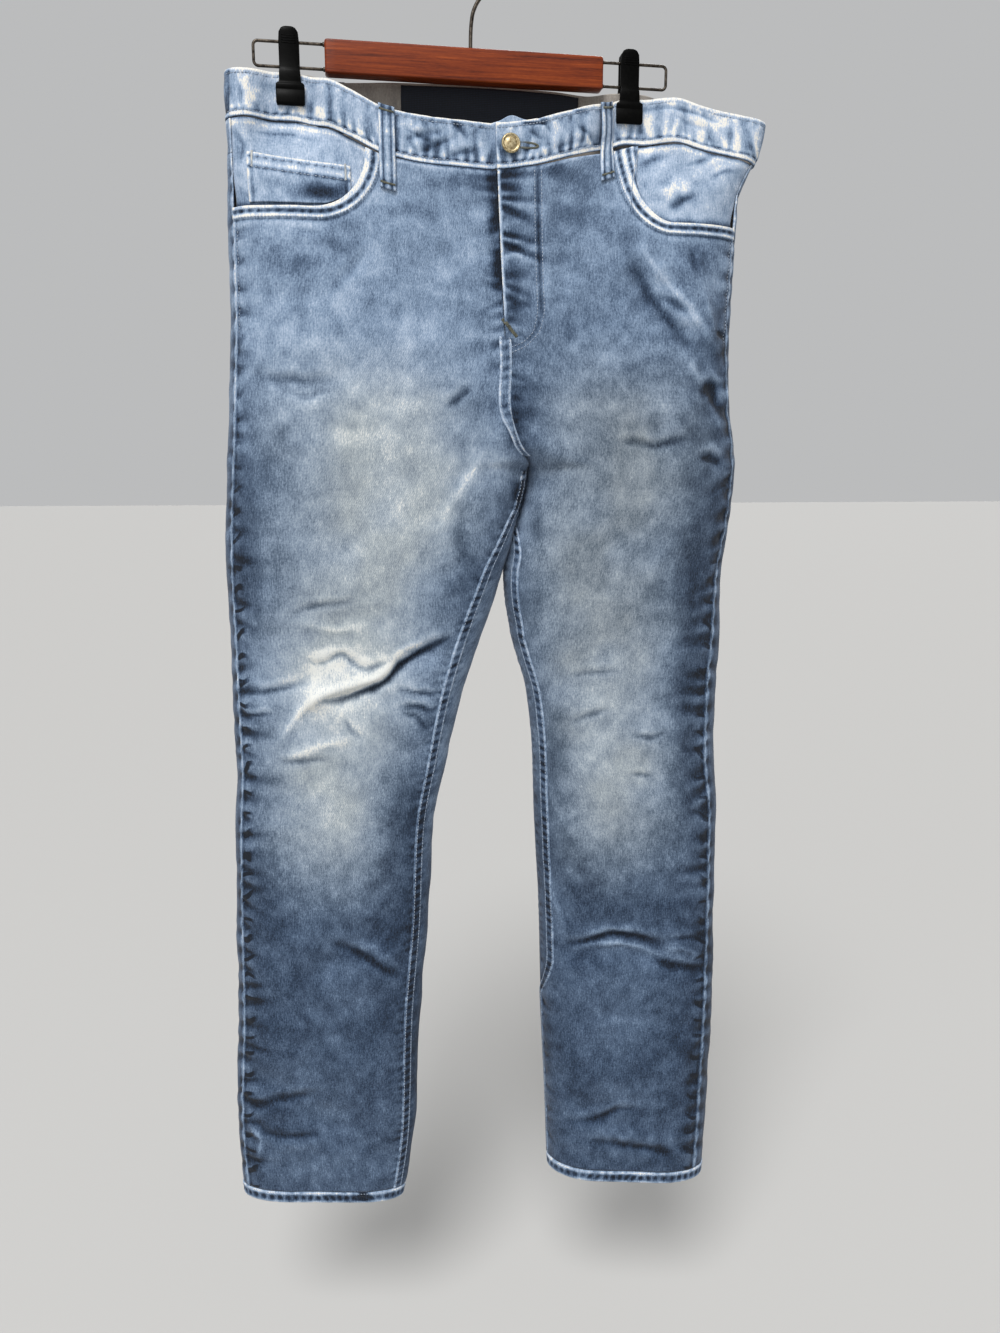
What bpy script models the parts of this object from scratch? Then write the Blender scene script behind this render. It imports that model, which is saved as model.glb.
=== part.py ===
"""Slim jeans hanging from a wooden clip hanger, at real size, in metres.

The frame is the hanger's: the origin is the inside top of the hook, +X runs along the bar, -Y is
the front of the jeans and +Z is up. Right and left are the wearer's, so the right leg is at -X.

Each half of the jeans is a soft tube. A horizontal section of it runs from the inner front edge
round the outer side to the inner back edge. Above the crotch the inner edges are the centre
front and centre back seams, and below it they meet and close the leg.
"""

import math

import bmesh
import bpy
import numpy as np
from mathutils import Vector

# Cloth: wall thicknesses and the gap left at every seam.
CLOTH = 0.0015
BAND_CLOTH = 0.0024
TRIM_CLOTH = 0.0012
SEAM_GAP = 0.0004
LAYER_GAP = 0.0008
PATCH_GAP = 0.0013

# Heights of the main lines.
CROTCH_Z = -0.445
SEAM_LEVEL_Z = -0.163
HIP_ROW_Z = -0.262
BAND_HEIGHT = 0.039
HEM_HEIGHT = 0.013
HEM_BLEND_Z = -1.080
FRONT_OPENING = 0.055
BACK_OPENING = 0.080

# Hanger.
BAR_LENGTH = 0.250
BAR_HEIGHT = 0.0275
BAR_DEPTH = 0.014
BAR_TOP = -0.080
BAR_BEVEL = 0.0012
HOOK_WIRE = 0.0017
HOOK_RADIUS = 0.0215
LOOP_WIRE = 0.0013
LOOP_REACH = 0.061
LOOP_TOP = -0.083
LOOP_BOTTOM = -0.103
LOOP_CORNER = 0.004
CLIP_X = (-0.1555, 0.1505)
CLIP_TOP = -0.072
CLIP_BOTTOM = -0.135

# The clips press the two waistbands together, and the cloth opens again below them.
PINCH_HALF = 0.0024
PINCH_FLAT = 0.0135
PINCH_COLUMNS = ("z", "hold", "spread")
PINCH = (
    (-0.300, 0.00, 0.060),
    (-0.240, 0.05, 0.055),
    (-0.200, 0.22, 0.045),
    (-0.172, 0.52, 0.034),
    (-0.155, 0.88, 0.022),
    (-0.148, 1.00, 0.017),
    (-0.100, 1.00, 0.015),
)

# Between the clips the waist bows out by its own slack.
BOW_COLUMNS = ("z", "front", "back")
BOW = (
    (-0.260, 0.000, 0.000),
    (-0.200, 0.006, 0.001),
    (-0.150, 0.014, 0.003),
    (-0.100, 0.018, 0.004),
)

# Sections of each half, from the hem up. x_out and x_in are the outline, front and back are the
# half depths, round_out and round_in are how far the outer and inner edges take to round over,
# seam_out and seam_in are how far inside the outline the side seams lie, on the front, lean is
# how far forward a leg hangs, and turn is the slope in plan by which it faces round to -X.
SECTION_COLUMNS = (
    "z", "x_out", "x_in", "front", "back", "round_out", "round_in", "seam_out", "seam_in",
    "lean", "turn",
)
RIGHT_SECTIONS = (
    (-1.240, -0.2460, -0.0820, 0.018, 0.021, 0.045, 0.045, 0.0060, 0.0080, 0.000, 0.150),
    (-1.130, -0.2500, -0.0635, 0.023, 0.026, 0.055, 0.050, 0.0060, 0.0110, 0.000, 0.150),
    (-1.000, -0.2435, -0.0560, 0.027, 0.030, 0.060, 0.055, 0.0070, 0.0130, 0.000, 0.145),
    (-0.900, -0.2405, -0.0460, 0.031, 0.034, 0.065, 0.060, 0.0070, 0.0140, 0.000, 0.125),
    (-0.800, -0.2365, -0.0393, 0.034, 0.037, 0.070, 0.065, 0.0070, 0.0150, 0.000, 0.095),
    (-0.727, -0.2318, -0.0240, 0.036, 0.038, 0.070, 0.065, 0.0070, 0.0170, 0.000, 0.070),
    (-0.665, -0.2318, -0.0080, 0.038, 0.040, 0.070, 0.070, 0.0070, 0.0200, 0.000, 0.048),
    (-0.605, -0.2315, 0.0130, 0.040, 0.043, 0.075, 0.070, 0.0070, 0.0230, 0.000, 0.030),
    (-0.550, -0.2315, 0.0312, 0.042, 0.046, 0.080, 0.070, 0.0070, 0.0200, 0.000, 0.015),
    (-0.500, -0.2297, 0.0450, 0.043, 0.049, 0.085, 0.065, 0.0070, 0.0100, 0.000, 0.005),
    (-0.445, -0.2255, 0.0570, 0.044, 0.052, 0.090, 0.060, 0.0070, 0.0000, 0.000, 0.000),
    (-0.425, -0.2238, 0.0420, 0.045, 0.053, 0.090, 0.055, 0.0070, 0.0000, 0.000, 0.000),
    (-0.390, -0.2215, 0.0330, 0.045, 0.053, 0.095, 0.050, 0.0070, 0.0000, 0.000, 0.000),
    (-0.320, -0.2168, 0.0280, 0.043, 0.051, 0.095, 0.050, 0.0070, 0.0000, 0.000, 0.000),
    (-0.260, -0.2150, 0.0250, 0.039, 0.045, 0.080, 0.045, 0.0065, 0.0000, 0.000, 0.000),
    (-0.200, -0.2130, 0.0230, 0.029, 0.034, 0.045, 0.040, 0.0055, 0.0000, 0.000, 0.000),
    (-0.150, -0.2120, 0.0220, 0.018, 0.020, 0.021, 0.040, 0.0050, 0.0000, 0.000, 0.000),
    (-0.100, -0.2110, 0.0220, 0.012, 0.010, 0.013, 0.040, 0.0040, 0.0000, 0.000, 0.000),
)
LEFT_SECTIONS = (
    (-1.240, 0.2530, 0.0870, 0.030, 0.027, 0.055, 0.045, 0.0140, 0.0000, 0.0095, 0.195),
    (-1.130, 0.2570, 0.0830, 0.032, 0.030, 0.060, 0.050, 0.0150, 0.0000, 0.0090, 0.190),
    (-1.000, 0.2590, 0.0765, 0.033, 0.033, 0.065, 0.055, 0.0140, 0.0000, 0.0080, 0.175),
    (-0.910, 0.2580, 0.0740, 0.034, 0.035, 0.065, 0.060, 0.0120, 0.0000, 0.0060, 0.145),
    (-0.800, 0.2584, 0.0675, 0.036, 0.037, 0.070, 0.065, 0.0130, 0.0000, 0.0040, 0.095),
    (-0.730, 0.2550, 0.0648, 0.037, 0.038, 0.070, 0.065, 0.0170, 0.0000, 0.0025, 0.065),
    (-0.665, 0.2556, 0.0575, 0.038, 0.040, 0.070, 0.070, 0.0170, 0.0000, 0.0015, 0.040),
    (-0.605, 0.2578, 0.0410, 0.040, 0.043, 0.075, 0.070, 0.0150, 0.0000, 0.0005, 0.020),
    (-0.550, 0.2575, 0.0345, 0.042, 0.046, 0.080, 0.070, 0.0120, 0.0000, 0.0000, 0.010),
    (-0.500, 0.2640, 0.0470, 0.043, 0.049, 0.085, 0.065, 0.0100, 0.0000, 0.0000, 0.003),
    (-0.445, 0.2672, 0.0570, 0.044, 0.052, 0.090, 0.060, 0.0080, 0.0000, 0.0000, 0.000),
    (-0.425, 0.2655, 0.0420, 0.045, 0.053, 0.090, 0.055, 0.0080, 0.0000, 0.0000, 0.000),
    (-0.390, 0.2600, 0.0330, 0.045, 0.053, 0.095, 0.050, 0.0080, 0.0000, 0.0000, 0.000),
    (-0.320, 0.2558, 0.0280, 0.043, 0.051, 0.095, 0.050, 0.0080, 0.0000, 0.0000, 0.000),
    (-0.260, 0.2578, 0.0250, 0.039, 0.045, 0.080, 0.045, 0.0080, 0.0000, 0.0000, 0.000),
    (-0.200, 0.2600, 0.0230, 0.029, 0.034, 0.045, 0.040, 0.0070, 0.0000, 0.0000, 0.000),
    (-0.150, 0.2800, 0.0220, 0.018, 0.020, 0.021, 0.040, 0.0050, 0.0000, 0.0000, 0.000),
    (-0.100, 0.2890, 0.0220, 0.012, 0.010, 0.013, 0.040, 0.0040, 0.0000, 0.0000, 0.000),
)

# Top edge of the waistband: it sags between the clips in front and stays high at the back.
EDGE_COLUMNS = ("x", "z")
FRONT_EDGE = (
    (-0.212, -0.1100),
    (-0.155, -0.1080),
    (-0.128, -0.1135),
    (-0.104, -0.1250),
    (-0.073, -0.1400),
    (-0.030, -0.1465),
    (0.020, -0.1485),
    (0.055, -0.1435),
    (0.082, -0.1350),
    (0.125, -0.1210),
    (0.150, -0.1130),
    (0.190, -0.1130),
    (0.220, -0.1200),
    (0.287, -0.1300),
)
BACK_EDGE = (
    (-0.212, -0.1100),
    (-0.155, -0.1080),
    (-0.125, -0.1090),
    (-0.060, -0.1055),
    (0.020, -0.1040),
    (0.080, -0.1055),
    (0.125, -0.1090),
    (0.150, -0.1080),
    (0.190, -0.1105),
    (0.225, -0.1190),
    (0.287, -0.1300),
)

# Back yoke, deepest at the centre back.
YOKE_GAP = 0.0011
YOKE_SIDE = 0.028
YOKE_CENTRE = 0.062

# Hems: z of each leg's lower edge at its outer and inner side.
HEM_COLUMNS = ("outer", "inner")
RIGHT_HEM = (-1.2140, -1.2160)
LEFT_HEM = (-1.2160, -1.2150)

# Front pocket openings: a level lower edge that turns up to the waistband in a quarter ellipse.
POCKET_COLUMNS = ("turn_x", "top_x", "low_z", "rise")
RIGHT_POCKET = (-0.1350, -0.0900, -0.2230, 0.047)
LEFT_POCKET = (0.1850, 0.1450, -0.2250, 0.066)
FACING_UNDER = 0.017
FACING_GAP = 0.0015

# The fly on the left front lies over the right front, raised by the layers below it.
FLY_RAISE = 0.0020
FLY_WIDTH = 0.036
FLY_END_Z = -0.318
FLY_RAMP = 0.018
UNDERLAP_END_X = 0.056

# Largest folds, as soft troughs and ridges on the front: ends, half width and height.
FOLD_COLUMNS = ("x0", "z0", "x1", "z1", "width", "height")
FOLDS = (
    (-0.142, -0.668, -0.026, -0.607, 0.014, -0.0050),
    (-0.165, -0.660, -0.072, -0.634, 0.014, 0.0060),
    (-0.193, -0.653, -0.103, -0.632, 0.016, -0.0030),
    (-0.195, -0.375, -0.111, -0.365, 0.018, -0.0030),
    (0.018, -0.425, -0.032, -0.494, 0.018, -0.0035),
    (-0.157, -0.938, -0.092, -0.906, 0.018, -0.0035),
    (-0.235, -1.060, -0.133, -1.130, 0.020, -0.0040),
    (0.219, -0.420, 0.155, -0.430, 0.018, -0.0035),
    (0.088, -0.942, 0.185, -0.940, 0.016, -0.0040),
    (0.185, -0.940, 0.241, -0.969, 0.016, -0.0040),
    (0.107, -1.123, 0.168, -1.142, 0.018, -0.0030),
    (0.172, -0.262, 0.248, -0.401, 0.016, -0.0045),
    (0.145, -0.262, 0.208, -0.383, 0.016, -0.0035),
    (0.197, -0.262, 0.235, -0.335, 0.014, 0.0040),
)

# Belt loops: where they sit, and how far each stands off the cloth on its way down.
BELT_LOOP_WIDTH = 0.014
BELT_LOOP_CLOTH = 0.0016
BELT_LOOP_COLUMNS = ("name", "x", "front")
BELT_LOOPS = (
    ("belt_loop_front_right", -0.0735, True),
    ("belt_loop_front_left", 0.1270, True),
    ("belt_loop_side_right", -0.1150, False),
    ("belt_loop_side_left", 0.2000, False),
    ("belt_loop_centre_back", 0.0220, False),
)

LOOP_PATH_COLUMNS = ("drop", "lift")
LOOP_PATH = (
    (-0.001, 0.0029),
    (0.006, 0.0037),
    (0.019, 0.0044),
    (0.034, 0.0042),
    (0.048, 0.0034),
    (0.060, 0.0028),
    (0.068, 0.0026),
)

# Waistband: its rows below the top edge, how far it stands out, and how far the button end is
# raised over the underlap, which lies that much lower.
BAND_DROPS = (0.0, BAND_HEIGHT / 2, BAND_HEIGHT - SEAM_GAP / 2)
BAND_LIFT = 0.0006
BAND_RAISE = 0.0016
UNDERLAP_X = 0.026
UNDERLAP_DROP = 0.0018
BAND_MARKS_RIGHT = (
    -0.200, -0.185, -0.169, -0.155, -0.142, -0.133, -0.124, -0.108, -0.088, -0.066, -0.040, -0.015,
)
BAND_MARKS_LEFT = (
    0.272, 0.255, 0.235, 0.210, 0.190, 0.176, 0.164, 0.150, 0.137, 0.131, 0.125, 0.118, 0.108,
    0.090, 0.070, 0.050, 0.035,
)
BACK_MARKS_RIGHT = (
    -0.199, -0.186, -0.169, -0.155, -0.142, -0.126, -0.108, -0.082, -0.050, -0.012,
)
BACK_MARKS_LEFT = (
    0.274, 0.255, 0.236, 0.215, 0.198, 0.180, 0.164, 0.151, 0.137, 0.121, 0.110, 0.091, 0.066, 0.041,
)

# Columns of the front panels, in x at the waist, closest where the pocket opening turns up.
FRONT_MARKS_RIGHT = (
    -0.205, -0.185, -0.160, -0.135, -0.115, -0.102, -0.094, -0.0902, -0.0885, -0.070, -0.045, -0.015,
)
FRONT_MARKS_LEFT = (
    0.250, 0.230, 0.205, 0.185, 0.167, 0.155, 0.148, 0.1452, 0.1435, 0.120, 0.090, 0.066, 0.048,
)
BACK_COLUMNS = 14
FACING_COLUMNS = 12
HEM_COLUMNS_ROUND = 28

# Coin pocket and back pockets, by their edges.
COIN_X = (-0.194, -0.106)
COIN_TOP = -0.178
COIN_TOP_FALL = 0.010
COIN_BOTTOM = -0.2195
BACK_POCKET_TOP = -0.226
BACK_POCKET_SIDE = -0.352
BACK_POCKET_POINT = 0.030
BACK_POCKET_TAPER = 0.06
BACK_POCKET_X = {"right": (-0.172, -0.022), "left": (0.222, 0.072)}

# Layers behind the fly: first and last x from the centre front, depth and thickness.
FLY_COLUMNS = ("name", "first", "last", "lift", "thickness", "finish", "narrow")
FLY_LAYERS = (
    ("fly_facing", 0.0010, FLY_WIDTH, 0.0001, 0.0010, "denim", 0.6),
    ("zip_tape", -0.0130, 0.0150, -0.0020, 0.0008, "denim_dark", 0.0),
    ("fly_shield", -0.0100, 0.0380, -0.0032, 0.0012, "denim", 0.0),
)

# Bare label on the inner face of the waistband's back.
LABEL_X = (-0.058, 0.106)
LABEL_DROPS = (0.002, 0.020, 0.038)
LABEL_GAP = 0.0008
LABEL_CLOTH = 0.0010

# Waist button: radius and height of its turned profile, from the cloth up.
BUTTON_X = 0.0345
BUTTON_DROP = 0.0190
BUTTON_GAP = 0.0004
BUTTON_SIDES = 20
BUTTON_COLUMNS = ("radius", "height")
BUTTON_PROFILE = (
    (0.0, 0.0), (0.0045, 0.0), (0.0045, 0.0008), (0.0078, 0.0011), (0.0085, 0.0022),
    (0.0080, 0.0032), (0.0066, 0.0037), (0.0058, 0.0031), (0.0030, 0.0035), (0.0, 0.0036),
)

# Clip jaws: half width, and the nearest and farthest depth from the bar's middle plane.
CLIP_COLUMNS = ("z", "half_width", "near", "far")
CLIP_ROWS = (
    (CLIP_TOP, 0.0030, 0.0030, 0.0050),
    (-0.0732, 0.0060, 0.0024, 0.0054),
    (-0.0765, 0.0083, 0.0018, 0.0052),
    (-0.0830, 0.0088, 0.0018, 0.0050),
    (-0.1045, 0.0088, 0.0018, 0.0050),
    (-0.1070, 0.0090, 0.0034, 0.0062),
    (-0.1165, 0.0094, 0.0034, 0.0064),
    (-0.1172, 0.0122, 0.0034, 0.0072),
    (-0.1340, 0.0124, 0.0034, 0.0072),
    (CLIP_BOTTOM, 0.0120, 0.0036, 0.0066),
)
CLIP_EASE = (0.0008, 0.0006)
SPRING_RADIUS = 0.0015
SPRING_LENGTH = 0.0140
SPRING_Z = -0.093
SPRING_SIDES = 12

# Colours: base colour, roughness, metallic.
FINISHES = {
    "denim": ((0.150, 0.235, 0.380), 0.85, 0.0),
    "denim_dark": ((0.020, 0.035, 0.080), 0.85, 0.0),
    "wood": ((0.230, 0.050, 0.025), 0.35, 0.0),
    "wire": ((0.300, 0.280, 0.260), 0.30, 1.0),
    "black_clip": ((0.008, 0.008, 0.009), 0.40, 0.0),
    "brass": ((0.360, 0.250, 0.110), 0.35, 1.0),
}


def columns(names, rows):
    """The columns of a short table as arrays, by name."""
    return dict(zip(names, np.array(rows, dtype=float).T))


def monotone(knots, values, at):
    """Smooth curve through the knots that never overshoots between them."""
    at = np.clip(at, knots[0], knots[-1])
    step = np.diff(knots)
    rise = np.diff(values) / step
    slope = np.zeros_like(values)
    left, right = rise[:-1], rise[1:]
    same = left * right > 0
    slope[1:-1][same] = 2 * left[same] * right[same] / (left[same] + right[same])
    slope[0], slope[-1] = rise[0], rise[-1]
    i = np.clip(np.searchsorted(knots, at) - 1, 0, len(step) - 1)
    h, t = step[i], (at - knots[i]) / step[i]
    return (
        values[i] * (1 + 2 * t) * (1 - t) ** 2
        + slope[i] * h * t * (1 - t) ** 2
        + values[i + 1] * t * t * (3 - 2 * t)
        + slope[i + 1] * h * t * t * (t - 1)
    )


def smoothstep(t):
    """0 below 0, 1 above 1, with soft ends."""
    t = np.clip(t, 0.0, 1.0)
    return t * t * (3 - 2 * t)


PINCH_TABLE = columns(PINCH_COLUMNS, PINCH)
BOW_TABLE = columns(BOW_COLUMNS, BOW)
FRONT_EDGE_TABLE = columns(EDGE_COLUMNS, FRONT_EDGE)
BACK_EDGE_TABLE = columns(EDGE_COLUMNS, BACK_EDGE)
FOLD_TABLE = [dict(zip(FOLD_COLUMNS, row)) for row in FOLDS]


def waist_edge(x, front):
    """Height of the waistband's top edge."""
    table = FRONT_EDGE_TABLE if front else BACK_EDGE_TABLE
    return monotone(table["x"], table["z"], x)


def pinch(x, z):
    """How far the clips hold the cloth together at this place, 0 to 1."""
    hold = monotone(PINCH_TABLE["z"], PINCH_TABLE["hold"], z)
    spread = monotone(PINCH_TABLE["z"], PINCH_TABLE["spread"], z)
    past = [np.clip(np.abs(x - clip) - PINCH_FLAT, 0, None) for clip in CLIP_X]
    near = sum(np.exp(-((away / spread) ** 2)) for away in past)
    return hold * np.clip(near, 0.0, 1.0)


def bow(x, z, front):
    """Extra depth between the clips."""
    size = monotone(BOW_TABLE["z"], BOW_TABLE["front" if front else "back"], z)
    along = np.clip((x - CLIP_X[0]) / (CLIP_X[1] - CLIP_X[0]), 0.0, 1.0)
    return size * np.sin(math.pi * along)


def folds(x, z):
    """Height of the soft folds at this place of the front."""
    total = np.zeros_like(x)
    for fold in FOLD_TABLE:
        run = np.array([fold["x1"] - fold["x0"], fold["z1"] - fold["z0"]])
        length = math.hypot(*run)
        dx, dz = x - fold["x0"], z - fold["z0"]
        along = (dx * run[0] + dz * run[1]) / length**2
        across = (dx * run[1] - dz * run[0]) / length
        past = (along - np.clip(along, 0.15, 0.85)) * length
        away = (across**2 + past**2) / fold["width"] ** 2
        total = total + fold["height"] * np.exp(-away)
    return total


class Half:
    """One half of the jeans: its section at any height, and points on and off its surface.

    A place on it is q and z. q runs round the section: 0 is the outer side, 1 the inner front
    edge and -1 the inner back edge. Below the crotch 1 and -1 are the same place.
    """

    def __init__(self, rows, sign, hem, pocket):
        """Takes the section table, +1 for the half at +X, the hem row and the pocket row."""
        table = columns(SECTION_COLUMNS, rows)
        self.table = table
        self.sign = sign
        self.hem = dict(zip(HEM_COLUMNS, hem))
        self.pocket = dict(zip(POCKET_COLUMNS, pocket))

    def value(self, name, z):
        """One column of the section table at this height."""
        return monotone(self.table["z"], self.table[name], z)

    def closing(self, z, front):
        """0 where the inner edge is a centre seam, 1 where the leg is closed."""
        reach = np.where(front, FRONT_OPENING, BACK_OPENING)
        t = np.clip((CROTCH_Z + reach - z) / reach, 0.0, 1.0)
        return 1 - np.sqrt(1 - t * t)

    def lengths(self, z, front):
        """Parts of the section's length: outer round, straight run, inner round, in a dict."""
        x_out, x_in = self.value("x_out", z), self.value("x_in", z)
        depth = np.where(front, self.value("front", z), self.value("back", z))
        close = self.closing(z, front)
        round_out = self.value("round_out", z)
        round_in = self.value("round_in", z) * np.sqrt(close)
        straight = np.abs(x_in - x_out) - round_out - round_in
        arc_out = math.pi / 2 * np.sqrt((round_out**2 + depth**2) / 2)
        arc_in = math.pi / 2 * np.sqrt((round_in**2 + (depth * close) ** 2) / 2)
        total = arc_out + straight + arc_in
        return {
            "x_out": x_out, "x_in": x_in, "depth": depth, "close": close,
            "round_out": round_out, "round_in": round_in, "straight": straight,
            "q_out": arc_out / total, "q_in": arc_in / total, "total": total,
        }

    def base(self, q, z):
        """Points of the smooth form."""
        q = np.where(q < -1, q + 2, np.where(q > 1, q - 2, q))
        front = q >= 0
        s = self.lengths(z, front)
        a = np.abs(q)
        turn_out = np.clip(a / s["q_out"], 0, 1) * math.pi / 2
        turn_in = np.clip((1 - a) / np.maximum(s["q_in"], 1e-9), 0, 1) * math.pi / 2
        run = np.clip((a - s["q_out"]) / (1 - s["q_out"] - s["q_in"]), 0, 1)
        inward = (
            s["round_out"] * (1 - np.cos(turn_out))
            + run * s["straight"]
            + s["round_in"] * np.cos(turn_in)
        )
        x = s["x_out"] - self.sign * inward
        fill = np.sin(turn_out) * ((1 - s["close"]) + s["close"] * np.sin(turn_in))
        slack = np.where(front, bow(x, z, True), bow(x, z, False))
        held = pinch(x, z)
        depth = (s["depth"] + slack) * fill * (1 - held) + PINCH_HALF * np.sin(turn_out) * held
        depth = depth + np.where(front, folds(x, z) * fill, 0.0)
        middle = (s["x_out"] + s["x_in"]) / 2
        hang = -self.value("lean", z) - self.value("turn", z) * (x - middle)
        y = hang + np.where(front, -depth, depth)
        return np.stack([x, y, z + 0 * q], axis=-1)

    def point(self, q, z, lift=0.0):
        """Points moved out from the form by lift, along its normals."""
        q, z, lift = np.broadcast_arrays(*(np.asarray(v, dtype=float) for v in (q, z, lift)))
        dq, dz = 0.004, 0.002
        low, high = q - dq, q + dq
        open_here = z > CROTCH_Z + 1e-6
        low = np.where(open_here, np.maximum(low, -1), low)
        high = np.where(open_here, np.minimum(high, 1), high)
        along = self.base(high, z) - self.base(low, z)
        down = self.base(q, z - dz) - self.base(q, z + dz)
        normal = np.cross(along, down) * self.sign
        normal = normal / np.linalg.norm(normal, axis=-1, keepdims=True)
        return self.base(q, z) + normal * lift[..., None]

    def q_inside(self, inset, z, outer=True):
        """q on the front at this distance in from the outer or the inner outline."""
        s = self.lengths(z, True)
        side = "out" if outer else "in"
        turn = np.arccos(np.clip(1 - inset / np.maximum(s["round_" + side], 1e-9), -1, 1))
        part = s["q_" + side] * turn / (math.pi / 2)
        return part if outer else 1 - part

    def q_at(self, x, z, front=True):
        """q of the place with this x, on the front or the back."""
        s = self.lengths(z, front)
        inset = np.clip((s["x_out"] - x) * self.sign, 0, None)
        rounded = np.arccos(np.clip(1 - inset / s["round_out"], -1, 1)) / (math.pi / 2)
        run = (inset - s["round_out"]) / s["straight"]
        q = np.where(
            inset < s["round_out"],
            s["q_out"] * rounded,
            s["q_out"] + run * (1 - s["q_out"] - s["q_in"]),
        )
        q = np.minimum(q, 1.0)
        return q if front else -q

    def outseam(self, z):
        """q of the outseam, which lies a little to the front."""
        return self.q_inside(self.value("seam_out", z), z)

    def inseam(self, z):
        """q of the centre front seam and, below the crotch, of the inseam."""
        return self.q_inside(self.value("seam_in", z), z, outer=False)

    def gap(self, z, front):
        """Half a seam's gap, as a step of q."""
        return SEAM_GAP / 2 / self.lengths(z, front)["total"]

    def hem_z(self, x):
        """Height of the hem's lower edge."""
        x_out, x_in = self.value("x_out", -1.2), self.value("x_in", -1.2)
        share = np.clip((x - x_out) / (x_in - x_out), 0, 1)
        return self.hem["outer"] + share * (self.hem["inner"] - self.hem["outer"])

    def pocket_z(self, x):
        """Height of the front pocket opening's edge at x, and of the waistband inside it."""
        seam = waist_edge(x, True) - BAND_HEIGHT
        p = self.pocket
        t = (p["turn_x"] - x) / (p["turn_x"] - p["top_x"])
        curve = p["low_z"] + p["rise"] * (1 - np.sqrt(1 - np.clip(t, 0, 1) ** 2))
        return np.where(t < 1, np.minimum(curve, seam), seam)


RIGHT = Half(RIGHT_SECTIONS, -1, RIGHT_HEM, RIGHT_POCKET)
LEFT = Half(LEFT_SECTIONS, 1, LEFT_HEM, LEFT_POCKET)


def on_face(x, z, lift, front):
    """Points at x and z of either half, on the front or the back."""
    x, z, lift = np.broadcast_arrays(*(np.asarray(v, dtype=float) for v in (x, z, lift)))
    right = RIGHT.point(RIGHT.q_at(x, z, front), z, lift)
    left = LEFT.point(LEFT.q_at(x, z, front), z, lift)
    return np.where((x < RIGHT.value("x_in", z))[..., None], right, left)


def material(name):
    """The finish of this name, made once."""
    made = bpy.data.materials.get(name)
    if made:
        return made
    colour, roughness, metallic = FINISHES[name]
    made = bpy.data.materials.new(name)
    made.use_nodes = True
    shader = made.node_tree.nodes["Principled BSDF"]
    shader.inputs["Base Color"].default_value = (*colour, 1.0)
    shader.inputs["Roughness"].default_value = roughness
    shader.inputs["Metallic"].default_value = metallic
    made.diffuse_color = (*colour, 1.0)
    return made


def add_mesh(name, vertices, faces, finish, smooth=True):
    """One closed body from points and faces, with its faces turned outwards."""
    mesh = bpy.data.meshes.new(name)
    mesh.from_pydata([tuple(v) for v in vertices], [], faces)
    body = bmesh.new()
    body.from_mesh(mesh)
    bmesh.ops.recalc_face_normals(body, faces=body.faces)
    if body.calc_volume(signed=True) < 0:
        bmesh.ops.reverse_faces(body, faces=body.faces)
    body.to_mesh(mesh)
    body.free()
    if smooth:
        mesh.shade_smooth()
    mesh.materials.append(material(finish))
    obj = bpy.data.objects.new(name, mesh)
    bpy.context.scene.collection.objects.link(obj)
    return obj


def wall(name, outer, inner, finish, ring=False):
    """A wall of cloth between two grids of points, closed at its edges."""
    rows, cols = outer.shape[:2]
    half = rows * cols
    vertices = np.concatenate([outer.reshape(-1, 3), inner.reshape(-1, 3)])
    steps = cols if ring else cols - 1
    faces = []
    for i in range(rows - 1):
        for j in range(steps):
            k = (j + 1) % cols
            a, b = i * cols + j, i * cols + k
            c, d = (i + 1) * cols + k, (i + 1) * cols + j
            faces.append((a, b, c, d))
            faces.append((d + half, c + half, b + half, a + half))
    for i in (0, rows - 1):
        for j in range(steps):
            a, b = i * cols + j, i * cols + (j + 1) % cols
            faces.append((a, b, b + half, a + half))
    for j in () if ring else (0, cols - 1):
        for i in range(rows - 1):
            a, b = i * cols + j, (i + 1) * cols + j
            faces.append((a, b, b + half, a + half))
    return add_mesh(name, vertices, faces, finish)


def loft(name, rings, finish, smooth=True):
    """A solid through equal rings of points, closed by flat ends."""
    rings = np.asarray(rings)
    count, size = rings.shape[:2]
    faces = [tuple(range(size)), tuple(range((count - 1) * size, count * size))]
    for i in range(count - 1):
        for j in range(size):
            k = (j + 1) % size
            faces.append((i * size + j, i * size + k, (i + 1) * size + k, (i + 1) * size + j))
    return add_mesh(name, rings.reshape(-1, 3), faces, finish, smooth)


def wire(name, points, radius, finish, closed=False):
    """A round wire along a list of points."""
    curve = bpy.data.curves.new(name, "CURVE")
    curve.dimensions = "3D"
    curve.bevel_depth = radius
    curve.bevel_resolution = 2
    curve.use_fill_caps = True
    spline = curve.splines.new("POLY")
    spline.points.add(len(points) - 1)
    for target, point in zip(spline.points, points):
        target.co = (*point, 1.0)
    spline.use_cyclic_u = closed
    curve.materials.append(material(finish))
    obj = bpy.data.objects.new(name, curve)
    bpy.context.scene.collection.objects.link(obj)
    return obj


# Heights of the panels' rows from the hips to the hem's blend, closer where the crotch curves.
PANEL_ROWS = np.concatenate([
    np.linspace(HIP_ROW_Z, -0.370, 5),
    np.linspace(-0.390, -0.436, 5),
    [CROTCH_Z, CROTCH_Z - 0.014],
    np.linspace(-0.485, HEM_BLEND_Z, 25),
])


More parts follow.
